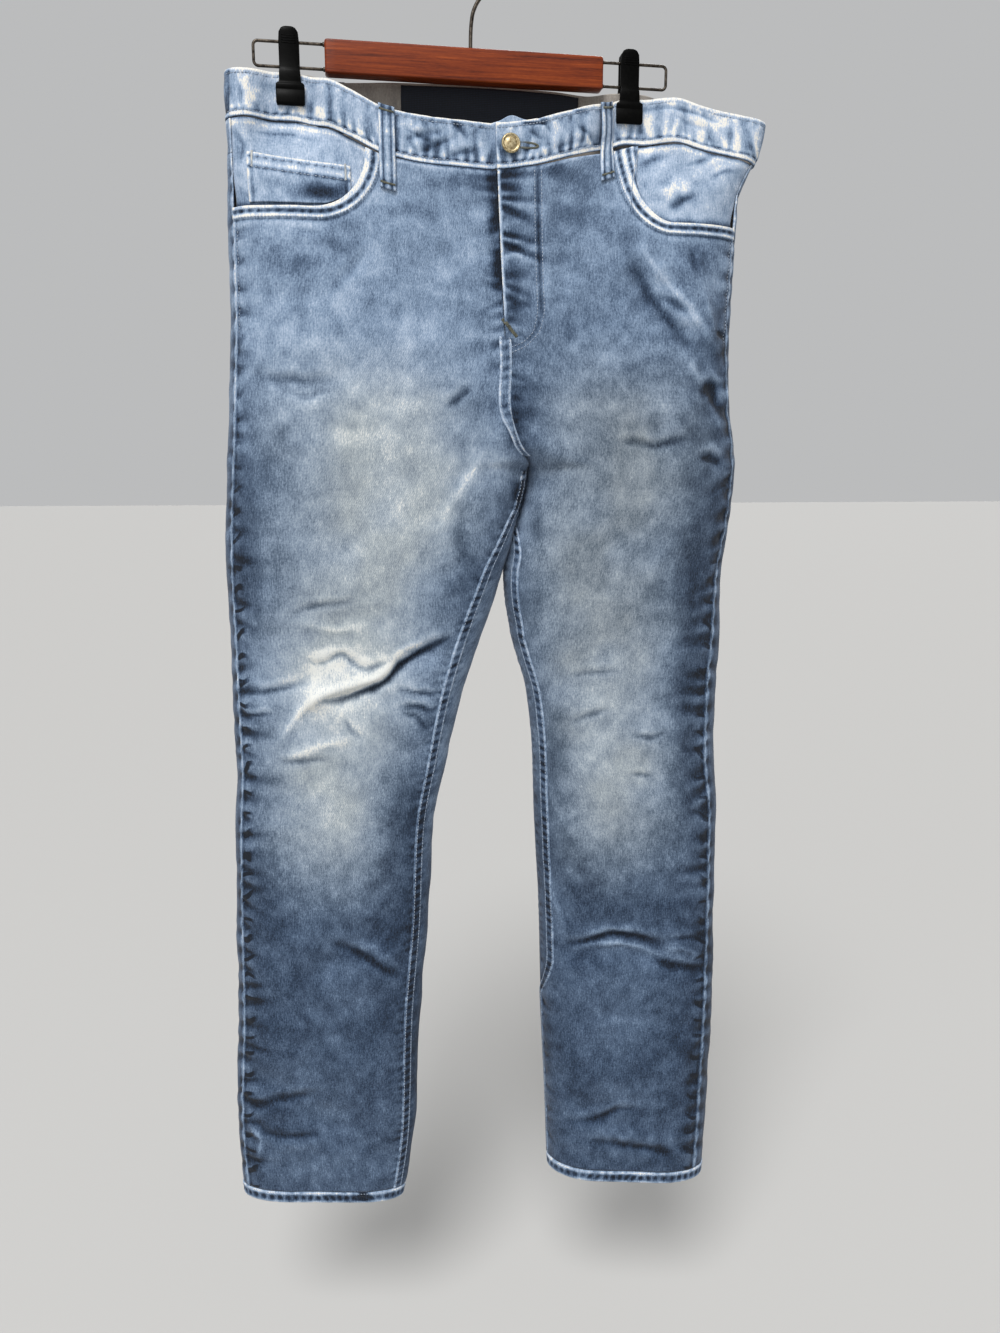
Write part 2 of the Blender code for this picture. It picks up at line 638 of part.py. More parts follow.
def panel_heights(half, columns_at, top):
    """Rows of heights for a panel, from its top edge to its hem.

    columns_at gives the q of every column at a height, which places the hem's slope.
    """
    low = np.full_like(top, half.hem["inner"])
    hem = half.hem_z(half.base(columns_at(low), low)[:, 0]) + HEM_HEIGHT + SEAM_GAP
    above = [HIP_ROW_Z + (top - HIP_ROW_Z) * k for k in (1.0, 0.68, 0.34)]
    level = [np.full_like(top, z) for z in PANEL_ROWS]
    below = [HEM_BLEND_Z + (hem - HEM_BLEND_Z) * k for k in (0.25, 0.5, 0.75, 1.0)]
    return np.array(above + level + below)


def fly_lift(x, z):
    """Extra height of the left front over the fly's layers."""
    inset = np.clip(x - LEFT.value("x_in", z), 0, None)
    beside = 1 - smoothstep((inset - FLY_WIDTH - 0.004) / FLY_RAMP)
    above = smoothstep((z - FLY_END_Z + 0.004 + FLY_RAMP) / FLY_RAMP)
    return FLY_RAISE * beside * above


def front_panel(half, name, targets):
    """A front, whose top edge is the pocket opening and then the waistband's seam."""
    start = half.outseam(HIP_ROW_Z)
    marks = half.q_at(np.array(targets), -0.200)
    share = np.concatenate([[0.0], (marks - start) / (1 - start), [1.0]])
    x_top = half.base(start + share * (1 - start), np.full_like(share, -0.200))[:, 0]

    def columns_at(z):
        q_first = half.outseam(z) + half.gap(z, True)
        q_last = half.inseam(z) - half.gap(z, True)
        return q_first + (q_last - q_first) * share

    z = panel_heights(half, columns_at, half.pocket_z(x_top) - SEAM_GAP)
    q = columns_at(z)
    lift = fly_lift(half.base(q, z)[..., 0], z) if half is LEFT else 0.0
    return wall(name, half.point(q, z, lift), half.point(q, z, lift - CLOTH), "denim")


def yoke_seam(x):
    """Height of the seam between a yoke and the back below it."""
    width = np.where(x < RIGHT.value("x_in", -0.2), 0.237, 0.242)
    share = np.clip(1 - np.abs(x - RIGHT.value("x_in", -0.2)) / width, 0, 1)
    drop = YOKE_SIDE + (YOKE_CENTRE - YOKE_SIDE) * share
    return waist_edge(x, False) - BAND_HEIGHT - drop


def back_columns(half, z):
    """q of the back's columns, from the outseam round to the centre back or the inseam."""
    q_first = half.outseam(z) - half.gap(z, False)
    closed = z <= CROTCH_Z
    seam = half.inseam(z)
    q_last = np.where(closed, seam - 2, -1) + half.gap(z, False)
    share = np.linspace(0, 1, BACK_COLUMNS)
    edge = 0.5 * (1 - np.cos(math.pi * share))
    share = 0.6 * share + 0.4 * edge
    return q_first + (q_last - q_first) * share


def back_reference(half):
    """x of the back's columns at the yoke, which sets the heights of the seams there."""
    z = np.full(BACK_COLUMNS, SEAM_LEVEL_Z)
    return half.base(back_columns(half, z), z)[:, 0]


def back_panel(half, name):
    """A back, from the yoke's seam to the hem."""
    top = yoke_seam(back_reference(half)) - SEAM_GAP / 2
    z = panel_heights(half, lambda at: back_columns(half, at), top)
    q = back_columns(half, z)
    return wall(name, half.point(q, z), half.point(q, z, -CLOTH), "denim")


def yoke(half, name):
    """A back yoke between the waistband and the back."""
    x = back_reference(half)
    top = waist_edge(x, False) - BAND_HEIGHT - YOKE_GAP
    bottom = yoke_seam(x) + SEAM_GAP / 2
    z = np.array([top + (bottom - top) * k for k in (0, 0.34, 0.67, 1)])
    q = back_columns(half, z)
    return wall(name, half.point(q, z), half.point(q, z, -CLOTH), "denim")


def band_grid(half, q, front, drops):
    """Heights of the waistband's rows at these columns, found from the edge above each place."""
    z = np.full((len(drops), len(q)), -0.130)
    for _ in range(4):
        x = half.base(np.broadcast_to(q, z.shape), z)[..., 0]
        z = waist_edge(x, front) - np.array(drops)[:, None]
    return z


def marks_to_q(half, marks, front):
    """q of these x places along the waistband."""
    return half.q_at(np.array(marks), -0.130, front)


def band_wall(half, name, q, front, lift):
    """A part of the waistband through these columns; lift is its height over the form."""
    z = band_grid(half, q, front, BAND_DROPS)
    q = np.broadcast_to(q, z.shape)
    height = BAND_LIFT + lift(half.base(q, z)[..., 0])
    return wall(name, half.point(q, z, height), half.point(q, z, height - BAND_CLOTH), "denim")


def band_front_right(name):
    """Right front of the waistband, with the underlap that runs on behind the left end."""
    first = RIGHT.outseam(-0.130) + RIGHT.gap(-0.130, True)
    q = np.concatenate([[first], marks_to_q(RIGHT, BAND_MARKS_RIGHT, True), [0.985]])
    z = band_grid(RIGHT, q, True, BAND_DROPS)
    q = np.broadcast_to(q, z.shape)
    from_centre = np.abs(RIGHT.base(q, z)[..., 0] - RIGHT.value("x_in", z))
    lift = BAND_LIFT - BAND_RAISE * (1 - smoothstep(from_centre / 0.040))
    x = np.linspace(UNDERLAP_X, UNDERLAP_END_X, 3)
    z_tab = waist_edge(x, True) - np.array(BAND_DROPS)[:, None]
    x_tab = np.broadcast_to(x, z_tab.shape)
    tab = BAND_LIFT - UNDERLAP_DROP
    outer = [RIGHT.point(q, z, lift), on_face(x_tab, z_tab, tab, True)]
    inner = [
        RIGHT.point(q, z, lift - BAND_CLOTH),
        on_face(x_tab, z_tab, tab - BAND_CLOTH, True),
    ]
    return wall(name, np.concatenate(outer, 1), np.concatenate(inner, 1), "denim")


def band_front_left(name):
    """Left front of the waistband, whose end lies over the underlap."""
    first = LEFT.outseam(-0.130) + LEFT.gap(-0.130, True)
    q = np.concatenate([[first], marks_to_q(LEFT, BAND_MARKS_LEFT, True), [1.0]])
    return band_wall(
        LEFT, name, q, True,
        lambda x: BAND_RAISE * (1 - smoothstep((x - UNDERLAP_END_X) / 0.030)),
    )


def band_back(half, name, marks):
    """Half of the waistband's back, round the outer side to the centre back."""
    first = half.outseam(-0.130) - half.gap(-0.130, False)
    q = np.concatenate([
        [first, first / 2, 0.0, -0.008, -0.018],
        marks_to_q(half, marks, False),
        [-1 + half.gap(-0.130, False)],
    ])
    return band_wall(half, name, q, False, lambda x: 0.0)


def facing_lift(half, x, z):
    """How deep a facing lies: nearly flush well inside the opening, below the front at its edge."""
    deep = -CLOTH - FACING_GAP
    above = smoothstep((z - half.pocket_z(x) - 0.004) / 0.030)
    beside = smoothstep(((x - half.pocket["top_x"]) * half.sign - 0.006) / 0.030)
    return deep + (-0.0003 - deep) * above * beside


def pocket_facing(half, name):
    """The facing that shows in a front pocket opening and runs on below the front."""
    end = half.pocket["top_x"] - half.sign * FACING_UNDER
    count = FACING_COLUMNS
    start = half.outseam(SEAM_LEVEL_Z)
    q_last = half.q_at(end, SEAM_LEVEL_Z)
    share = np.linspace(0, 1, count)
    x = half.base(start + (q_last - start) * share, np.full(count, SEAM_LEVEL_Z))[:, 0]
    top = waist_edge(x, True) - BAND_HEIGHT - YOKE_GAP
    bottom = np.full(count, half.pocket["low_z"] - FACING_UNDER)
    z = np.array([top + (bottom - top) * k for k in np.linspace(0, 1, 7)])
    q_first = half.outseam(z) + 3 * half.gap(z, True)
    q = q_first + (half.q_at(end, z) - q_first) * share
    lift = facing_lift(half, half.base(q, z)[..., 0], z)
    outer = half.point(q, z, lift)
    return wall(name, outer, half.point(q, z, lift - TRIM_CLOTH), "denim")


def coin_pocket(name):
    """The small pocket on the right facing, above the pocket opening's edge."""
    x = np.linspace(*COIN_X, 9)
    top = COIN_TOP - COIN_TOP_FALL * np.linspace(0, 1, 9)
    bottom = np.maximum(COIN_BOTTOM, RIGHT.pocket_z(x) + 0.003)
    z = np.array([top + (bottom - top) * k for k in (0, 0.25, 0.5, 0.75, 1)])
    x = np.broadcast_to(x, z.shape)
    lift = facing_lift(RIGHT, x, z) + LAYER_GAP + TRIM_CLOTH
    outer = on_face(x, z, lift, True)
    return wall(name, outer, on_face(x, z, lift - TRIM_CLOTH, True), "denim")


def fly_layer(name, first, last, lift, thickness, finish, narrow):
    """A strip below the fly: x from the centre front, narrowing towards its lower end."""
    down = np.linspace(0, 1, 7)[:, None]
    top = waist_edge(np.array(0.030), True) - BAND_HEIGHT - 0.001
    z = top + (FLY_END_Z - top) * down
    centre = RIGHT.value("x_in", z)
    width = last - first
    taper = 1 - narrow * np.clip((down - 0.6) / 0.4, 0, 1) ** 2
    x = centre + first + width * taper * np.linspace(0, 1, 5)
    z = np.broadcast_to(z, x.shape)
    outer = on_face(x, z, lift, True)
    return wall(name, outer, on_face(x, z, lift - thickness, True), finish)


def belt_loop(name, x, front):
    """A belt loop, tacked above and below the waistband and standing off between."""
    path = columns(LOOP_PATH_COLUMNS, LOOP_PATH)
    half = BELT_LOOP_WIDTH / 2
    x = x + np.array([-half, 0, half])
    z = waist_edge(x, front) - path["drop"][:, None]
    x = np.broadcast_to(x, z.shape)
    lift = path["lift"][:, None]
    outer = on_face(x, z, lift + np.array([0, 0.0004, 0]), front)
    return wall(name, outer, on_face(x, z, lift - BELT_LOOP_CLOTH, front), "denim")


def back_pocket(name, first, last):
    """A plain patch pocket on a back, pointed below."""
    share = np.linspace(0, 1, 8)
    x = first + (last - first) * share
    top = np.full_like(x, BACK_POCKET_TOP)
    bottom = BACK_POCKET_SIDE - BACK_POCKET_POINT * (1 - np.abs(2 * share - 1))
    z = np.array([top + (bottom - top) * k for k in np.linspace(0, 1, 8)])
    x = np.broadcast_to(x, z.shape)
    narrow = BACK_POCKET_TAPER * share[:, None]
    x = x + (np.mean(x) - x) * narrow
    outer = on_face(x, z, PATCH_GAP + TRIM_CLOTH, False)
    return wall(name, outer, on_face(x, z, PATCH_GAP, False), "denim")


def hem(half, name):
    """A turned hem, a closed ring below the leg's panels."""
    count = HEM_COLUMNS_ROUND
    q = -1 + 2 * np.arange(count) / count
    z = np.full((2, count), half.hem["outer"])
    for _ in range(3):
        x = half.base(np.broadcast_to(q, z.shape), z)[..., 0]
        z = half.hem_z(x) + np.array([HEM_HEIGHT - SEAM_GAP / 2, 0])[:, None]
    q = np.broadcast_to(q, z.shape)
    return wall(name, half.point(q, z, 0.0007), half.point(q, z, -0.0019), "denim", ring=True)


def inner_label(name):
    """The wide bare label on the inner face of the waistband's back."""
    x = np.linspace(*LABEL_X, 9)
    lift = BAND_LIFT - BAND_CLOTH - LABEL_GAP
    z = waist_edge(x, False) - np.array(LABEL_DROPS)[:, None]
    x = np.broadcast_to(x, z.shape)
    outer = on_face(x, z, lift, False)
    return wall(name, outer, on_face(x, z, lift - LABEL_CLOTH, False), "denim_dark")


def waist_button(name):
    """A turned tack button on the overlap, square to the cloth."""
    z = waist_edge(np.array(BUTTON_X), True) - BUTTON_DROP
    lift = BAND_LIFT + BAND_RAISE + BUTTON_GAP
    seat = on_face(BUTTON_X, z, lift, True)
    above = on_face(BUTTON_X, z, lift + 0.01, True)
    profile, sides = BUTTON_PROFILE, BUTTON_SIDES
    vertices = [(0.0, 0.0, profile[0][1])]
    for radius, height in profile[1:-1]:
        for k in range(sides):
            turn = 2 * math.pi * k / sides
            vertices.append((radius * math.cos(turn), radius * math.sin(turn), height))
    vertices.append((0.0, 0.0, profile[-1][1]))
    last = len(vertices) - 1
    rings = len(profile) - 2
    faces = [(0, 1 + (k + 1) % sides, 1 + k) for k in range(sides)]
    for i in range(rings - 1):
        for k in range(sides):
            a, b = 1 + i * sides + k, 1 + i * sides + (k + 1) % sides
            faces.append((a, b, b + sides, a + sides))
    start = 1 + (rings - 1) * sides
    faces += [(start + k, start + (k + 1) % sides, last) for k in range(sides)]
    obj = add_mesh(name, vertices, faces, "brass")
    obj.location = Vector(seat)
    obj.rotation_mode = "QUATERNION"
    obj.rotation_quaternion = Vector(above - seat).to_track_quat("Z", "Y")
    return obj


def hanger_bar(name):
    """The wooden bar, a box with eased edges."""
    x, y = BAR_LENGTH / 2, BAR_DEPTH / 2
    top, bottom, ease = BAR_TOP, BAR_TOP - BAR_HEIGHT, BAR_BEVEL
    ring = np.array([
        (-y + ease, top), (y - ease, top), (y, top - ease), (y, bottom + ease),
        (y - ease, bottom), (-y + ease, bottom), (-y, bottom + ease), (-y, top - ease),
    ])
    middle = np.array([0.0, (top + bottom) / 2])
    rings = []
    for end, scale in ((-x, 0.90), (-x + ease, 1.0), (x - ease, 1.0), (x, 0.90)):
        placed = middle + (ring - middle) * scale
        rings.append([(end, *point) for point in placed])
    return loft(name, rings, "wood", smooth=False)


def hanger_hook(name):
    """The wire hook: an S from the bar's top into a round hook that opens to one side."""
    centre = HOOK_WIRE - HOOK_RADIUS
    stem = [(0.0040, BAR_TOP + 0.0003), (0.0041, -0.070), (0.0046, -0.060), (0.0060, -0.050),
            (0.0092, -0.0425)]
    turns = np.radians(np.linspace(-52, 205, 26))
    round_part = [(HOOK_RADIUS * math.cos(t), centre + HOOK_RADIUS * math.sin(t)) for t in turns]
    points = [(x, 0.0, z) for x, z in stem + round_part]
    return wire(name, points, HOOK_WIRE, "wire")


def wire_loop(name, sign):
    """A flat wire loop that runs out from the bar's end and back."""
    end = sign * (BAR_LENGTH / 2 + 0.0003)
    far = sign * (BAR_LENGTH / 2 + LOOP_REACH)
    points = [(end, LOOP_TOP)]
    points.append(((end + far) / 2, LOOP_TOP))
    for corner_z, first in ((LOOP_TOP - LOOP_CORNER, 90), (LOOP_BOTTOM + LOOP_CORNER, 0)):
        for step in range(5):
            turn = math.radians(first - 90 * step / 4)
            x = far - sign * LOOP_CORNER + sign * LOOP_CORNER * math.cos(turn)
            points.append((x, corner_z + LOOP_CORNER * math.sin(turn)))
    points.append(((end + far) / 2, LOOP_BOTTOM))
    points.append((end, LOOP_BOTTOM))
    return wire(name, [(x, 0.0, z) for x, z in points], LOOP_WIRE, "wire")


def clip_jaw(name, x, front):
    """One jaw of a clip: a narrow lever above and a wide pad on the waistband."""
    side = -1 if front else 1
    ease_x, ease_y = CLIP_EASE
    rings = []
    for row in CLIP_ROWS:
        r = dict(zip(CLIP_COLUMNS, row))
        rings.append([
            (x - r["half_width"], side * r["near"], r["z"]),
            (x + r["half_width"], side * r["near"], r["z"]),
            (x + r["half_width"], side * (r["far"] - ease_y), r["z"]),
            (x + r["half_width"] - ease_x, side * r["far"], r["z"]),
            (x - r["half_width"] + ease_x, side * r["far"], r["z"]),
            (x - r["half_width"], side * (r["far"] - ease_y), r["z"]),
        ])
    return loft(name, rings, "black_clip", smooth=False)


def clip_spring(name, x):
    """The steel pin between a clip's jaws, below the upper wire."""
    turns = 2 * math.pi * np.arange(SPRING_SIDES) / SPRING_SIDES
    rings = []
    for end in (x - SPRING_LENGTH / 2, x + SPRING_LENGTH / 2):
        rings.append([
            (end, SPRING_RADIUS * math.cos(t), SPRING_Z + SPRING_RADIUS * math.sin(t))
            for t in turns
        ])
    return loft(name, rings, "wire")


def build_jeans():
    """Every cut and sewn piece."""
    front_panel(RIGHT, "front_right", FRONT_MARKS_RIGHT)
    front_panel(LEFT, "front_left", FRONT_MARKS_LEFT)
    for half, side in ((RIGHT, "right"), (LEFT, "left")):
        back_panel(half, f"back_{side}")
        yoke(half, f"yoke_{side}")
        pocket_facing(half, f"pocket_facing_{side}")
        hem(half, f"hem_{side}")
        back_pocket(f"back_pocket_{side}", *BACK_POCKET_X[side])
    band_front_right("waistband_front_right")
    band_front_left("waistband_front_left")
    band_back(RIGHT, "waistband_back_right", BACK_MARKS_RIGHT)
    band_back(LEFT, "waistband_back_left", BACK_MARKS_LEFT)
    coin_pocket("coin_pocket")
    for row in FLY_LAYERS:
        fly_layer(**dict(zip(FLY_COLUMNS, row)))
    for row in BELT_LOOPS:
        belt_loop(**dict(zip(BELT_LOOP_COLUMNS, row)))
    inner_label("inner_label")
    waist_button("waist_button")


def build_hanger():
    """The hanger, with its clips closed on the waistband."""
    hanger_bar("hanger_bar")
    hanger_hook("hanger_hook")
    for sign, x, side in ((-1, CLIP_X[0], "right"), (1, CLIP_X[1], "left")):
        wire_loop(f"wire_loop_{side}", sign)
        clip_jaw(f"clip_front_jaw_{side}", x, True)
        clip_jaw(f"clip_back_jaw_{side}", x, False)
        clip_spring(f"clip_spring_{side}", x)


def main():
    """Clears the scene and builds the jeans on their hanger."""
    for obj in list(bpy.data.objects):
        bpy.data.objects.remove(obj, do_unlink=True)
    build_jeans()
    build_hanger()


main()
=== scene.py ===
"""Slim jeans on a wooden clip hanger: the finished surfaces, built round the CAD frame in metres.

The frame is the hanger's: the origin is the inside top of the hook, +X runs along the bar, -Y is
the front of the jeans and +Z is up. Right and left are the wearer's, so the right leg is at -X.
"""

import logging
import math
import sys
from collections.abc import Callable
from dataclasses import dataclass, field
from enum import Enum

import bpy
import numpy as np
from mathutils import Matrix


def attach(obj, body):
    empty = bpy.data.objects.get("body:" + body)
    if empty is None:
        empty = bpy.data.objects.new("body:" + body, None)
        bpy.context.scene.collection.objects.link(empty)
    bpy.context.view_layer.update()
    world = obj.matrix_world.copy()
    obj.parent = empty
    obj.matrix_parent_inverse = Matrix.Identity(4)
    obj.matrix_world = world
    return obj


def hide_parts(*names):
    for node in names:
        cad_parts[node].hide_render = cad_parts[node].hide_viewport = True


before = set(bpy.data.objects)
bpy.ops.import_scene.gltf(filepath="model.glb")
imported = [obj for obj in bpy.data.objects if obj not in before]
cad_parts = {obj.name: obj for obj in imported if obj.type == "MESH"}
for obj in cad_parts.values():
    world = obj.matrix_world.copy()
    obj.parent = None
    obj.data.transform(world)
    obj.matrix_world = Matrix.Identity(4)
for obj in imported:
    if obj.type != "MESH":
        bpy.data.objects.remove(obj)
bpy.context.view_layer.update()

log = logging.getLogger("jeans")
Array = np.ndarray
MM = 0.001

# Cloth: wall thicknesses and the heights of the main lines, as in the CAD.
CLOTH = 0.0015
BAND_CLOTH = 0.0024
TRIM_CLOTH = 0.0012
SEAM_GAP = 0.0004
CROTCH_Z = -0.445
HIP_ROW_Z = -0.262
BAND_HEIGHT = 0.039
HEM_HEIGHT = 0.013
HEM_BLEND_Z = -1.080
FRONT_OPENING = 0.055
BACK_OPENING = 0.080

# Hanger.
BAR_LENGTH = 0.250
BAR_HEIGHT = 0.0275
BAR_DEPTH = 0.014
BAR_TOP = -0.080
HOOK_WIRE = 0.0017
HOOK_RADIUS = 0.0215
LOOP_WIRE = 0.0013
LOOP_REACH = 0.061
LOOP_TOP = -0.083
LOOP_BOTTOM = -0.103
LOOP_CORNER = 0.004
CLIP_X = (-0.1555, 0.1505)

# The clips press the two waistbands together, and the cloth opens again below them.
PINCH_HALF = 0.0024
PINCH_FLAT = 0.0135
PINCH_COLUMNS = ("z", "hold", "spread")
PINCH = (
    (-0.3, 0.0, 0.06),
    (-0.24, 0.05, 0.055),
    (-0.2, 0.22, 0.045),
    (-0.172, 0.52, 0.034),
    (-0.155, 0.88, 0.022),
    (-0.148, 1.0, 0.017),
    (-0.1, 1.0, 0.015),
)
BOW_COLUMNS = ("z", "front", "back")
BOW = (
    (-0.26, 0.0, 0.0),
    (-0.2, 0.006, 0.001),
    (-0.15, 0.014, 0.003),
    (-0.1, 0.018, 0.004),
)

# Sections of each half, from the hem up, as in the CAD.
SECTION_COLUMNS = (
    "z", "x_out", "x_in", "front", "back", "round_out", "round_in", "seam_out", "seam_in",
    "lean", "turn",
)
RIGHT_SECTIONS = (
    (-1.24, -0.246, -0.082, 0.018, 0.021, 0.045, 0.045, 0.006, 0.008, 0.0, 0.15),
    (-1.13, -0.25, -0.0635, 0.023, 0.026, 0.055, 0.05, 0.006, 0.011, 0.0, 0.15),
    (-1.0, -0.2435, -0.056, 0.027, 0.03, 0.06, 0.055, 0.007, 0.013, 0.0, 0.145),
    (-0.9, -0.2405, -0.046, 0.031, 0.034, 0.065, 0.06, 0.007, 0.014, 0.0, 0.125),
    (-0.8, -0.2365, -0.0393, 0.034, 0.037, 0.07, 0.065, 0.007, 0.015, 0.0, 0.095),
    (-0.727, -0.2318, -0.024, 0.036, 0.038, 0.07, 0.065, 0.007, 0.017, 0.0, 0.07),
    (-0.665, -0.2318, -0.008, 0.038, 0.04, 0.07, 0.07, 0.007, 0.02, 0.0, 0.048),
    (-0.605, -0.2315, 0.013, 0.04, 0.043, 0.075, 0.07, 0.007, 0.023, 0.0, 0.03),
    (-0.55, -0.2315, 0.0312, 0.042, 0.046, 0.08, 0.07, 0.007, 0.02, 0.0, 0.015),
    (-0.5, -0.2297, 0.045, 0.043, 0.049, 0.085, 0.065, 0.007, 0.01, 0.0, 0.005),
    (-0.445, -0.2255, 0.057, 0.044, 0.052, 0.09, 0.06, 0.007, 0.0, 0.0, 0.0),
    (-0.425, -0.2238, 0.042, 0.045, 0.053, 0.09, 0.055, 0.007, 0.0, 0.0, 0.0),
    (-0.39, -0.2215, 0.033, 0.045, 0.053, 0.095, 0.05, 0.007, 0.0, 0.0, 0.0),
    (-0.32, -0.2168, 0.028, 0.043, 0.051, 0.095, 0.05, 0.007, 0.0, 0.0, 0.0),
    (-0.26, -0.215, 0.025, 0.039, 0.045, 0.08, 0.045, 0.0065, 0.0, 0.0, 0.0),
    (-0.2, -0.213, 0.023, 0.029, 0.034, 0.045, 0.04, 0.0055, 0.0, 0.0, 0.0),
    (-0.15, -0.212, 0.022, 0.018, 0.02, 0.021, 0.04, 0.005, 0.0, 0.0, 0.0),
    (-0.1, -0.211, 0.022, 0.012, 0.01, 0.013, 0.04, 0.004, 0.0, 0.0, 0.0),
)
LEFT_SECTIONS = (
    (-1.24, 0.253, 0.087, 0.03, 0.027, 0.055, 0.045, 0.014, 0.0, 0.0095, 0.195),
    (-1.13, 0.257, 0.083, 0.032, 0.03, 0.06, 0.05, 0.015, 0.0, 0.009, 0.19),
    (-1.0, 0.259, 0.0765, 0.033, 0.033, 0.065, 0.055, 0.014, 0.0, 0.008, 0.175),
    (-0.91, 0.258, 0.074, 0.034, 0.035, 0.065, 0.06, 0.012, 0.0, 0.006, 0.145),
    (-0.8, 0.2584, 0.0675, 0.036, 0.037, 0.07, 0.065, 0.013, 0.0, 0.004, 0.095),
    (-0.73, 0.255, 0.0648, 0.037, 0.038, 0.07, 0.065, 0.017, 0.0, 0.0025, 0.065),
    (-0.665, 0.2556, 0.0575, 0.038, 0.04, 0.07, 0.07, 0.017, 0.0, 0.0015, 0.04),
    (-0.605, 0.2578, 0.041, 0.04, 0.043, 0.075, 0.07, 0.015, 0.0, 0.0005, 0.02),
    (-0.55, 0.2575, 0.0345, 0.042, 0.046, 0.08, 0.07, 0.012, 0.0, 0.0, 0.01),
    (-0.5, 0.264, 0.047, 0.043, 0.049, 0.085, 0.065, 0.01, 0.0, 0.0, 0.003),
    (-0.445, 0.2672, 0.057, 0.044, 0.052, 0.09, 0.06, 0.008, 0.0, 0.0, 0.0),
    (-0.425, 0.2655, 0.042, 0.045, 0.053, 0.09, 0.055, 0.008, 0.0, 0.0, 0.0),
    (-0.39, 0.26, 0.033, 0.045, 0.053, 0.095, 0.05, 0.008, 0.0, 0.0, 0.0),
    (-0.32, 0.2558, 0.028, 0.043, 0.051, 0.095, 0.05, 0.008, 0.0, 0.0, 0.0),
    (-0.26, 0.2578, 0.025, 0.039, 0.045, 0.08, 0.045, 0.008, 0.0, 0.0, 0.0),
    (-0.2, 0.26, 0.023, 0.029, 0.034, 0.045, 0.04, 0.007, 0.0, 0.0, 0.0),
    (-0.15, 0.28, 0.022, 0.018, 0.02, 0.021, 0.04, 0.005, 0.0, 0.0, 0.0),
    (-0.1, 0.289, 0.022, 0.012, 0.01, 0.013, 0.04, 0.004, 0.0, 0.0, 0.0),
)
EDGE_COLUMNS = ("x", "z")
FRONT_EDGE = (
    (-0.212, -0.11), (-0.155, -0.108), (-0.128, -0.1135), (-0.104, -0.125),
    (-0.073, -0.14), (-0.03, -0.1465), (0.02, -0.1485), (0.055, -0.1435),
    (0.082, -0.135), (0.125, -0.121), (0.15, -0.113), (0.19, -0.113),
    (0.22, -0.12), (0.287, -0.13),
)
BACK_EDGE = (
    (-0.212, -0.11), (-0.155, -0.108), (-0.125, -0.109), (-0.06, -0.1055),
    (0.02, -0.104), (0.08, -0.1055), (0.125, -0.109), (0.15, -0.108),
    (0.19, -0.1105), (0.225, -0.119), (0.287, -0.13),
)
YOKE_GAP = 0.0011
YOKE_SIDE = 0.028
YOKE_CENTRE = 0.062
RIGHT_HEM = (-1.214, -1.216)
LEFT_HEM = (-1.216, -1.215)
POCKET_COLUMNS = ("turn_x", "top_x", "low_z", "rise")
RIGHT_POCKET = (-0.135, -0.09, -0.223, 0.047)
LEFT_POCKET = (0.185, 0.145, -0.225, 0.066)
FACING_UNDER = 0.017
FACING_GAP = 0.0015
FLY_RAISE = 0.002
FLY_WIDTH = 0.036
FLY_END_Z = -0.318
FLY_RAMP = 0.018
UNDERLAP_END_X = 0.056
FOLD_COLUMNS = ("x0", "z0", "x1", "z1", "width", "height")
FOLDS = (
    (-0.142, -0.668, -0.026, -0.607, 0.014, -0.005),
    (-0.165, -0.66, -0.072, -0.634, 0.014, 0.006),
    (-0.193, -0.653, -0.103, -0.632, 0.016, -0.003),
    (-0.195, -0.375, -0.111, -0.365, 0.018, -0.003),
    (0.018, -0.425, -0.032, -0.494, 0.018, -0.0035),
    (-0.157, -0.938, -0.092, -0.906, 0.018, -0.0035),
    (-0.235, -1.06, -0.133, -1.13, 0.02, -0.004),
    (0.219, -0.42, 0.155, -0.43, 0.018, -0.0035),
    (0.088, -0.942, 0.185, -0.94, 0.016, -0.004),
    (0.185, -0.94, 0.241, -0.969, 0.016, -0.004),
    (0.107, -1.123, 0.168, -1.142, 0.018, -0.003),
    (0.172, -0.262, 0.248, -0.401, 0.016, -0.0045),
    (0.145, -0.262, 0.208, -0.383, 0.016, -0.0035),
    (0.197, -0.262, 0.235, -0.335, 0.014, 0.004),
)
BELT_LOOP_WIDTH = 0.014
BELT_LOOP_CLOTH = 0.0016
BELT_LOOPS = (
    ("belt_loop_front_right", -0.0735, True),
    ("belt_loop_front_left", 0.127, True),
    ("belt_loop_side_right", -0.115, False),
    ("belt_loop_side_left", 0.2, False),
    ("belt_loop_centre_back", 0.022, False),
)
LOOP_PATH_COLUMNS = ("drop", "lift")
LOOP_PATH = (
    (-0.001, 0.0029),
    (0.006, 0.0037),
    (0.019, 0.0044),
    (0.034, 0.0042),
    (0.048, 0.0034),
    (0.06, 0.0028),
    (0.068, 0.0026),
)
BAND_LIFT = 0.0006
BAND_RAISE = 0.0016
UNDERLAP_X = 0.026
UNDERLAP_DROP = 0.0018
COIN_X = (-0.194, -0.106)
COIN_TOP = -0.178
COIN_TOP_FALL = 0.01
COIN_BOTTOM = -0.2195
BACK_POCKET_TOP = -0.226
BACK_POCKET_SIDE = -0.352
BACK_POCKET_POINT = 0.03
BACK_POCKET_TAPER = 0.06
BACK_POCKET_X = {"right": (-0.172, -0.022), "left": (0.222, 0.072)}
LABEL_X = (-0.058, 0.106)
BUTTON_X = 0.0345
BUTTON_DROP = 0.019

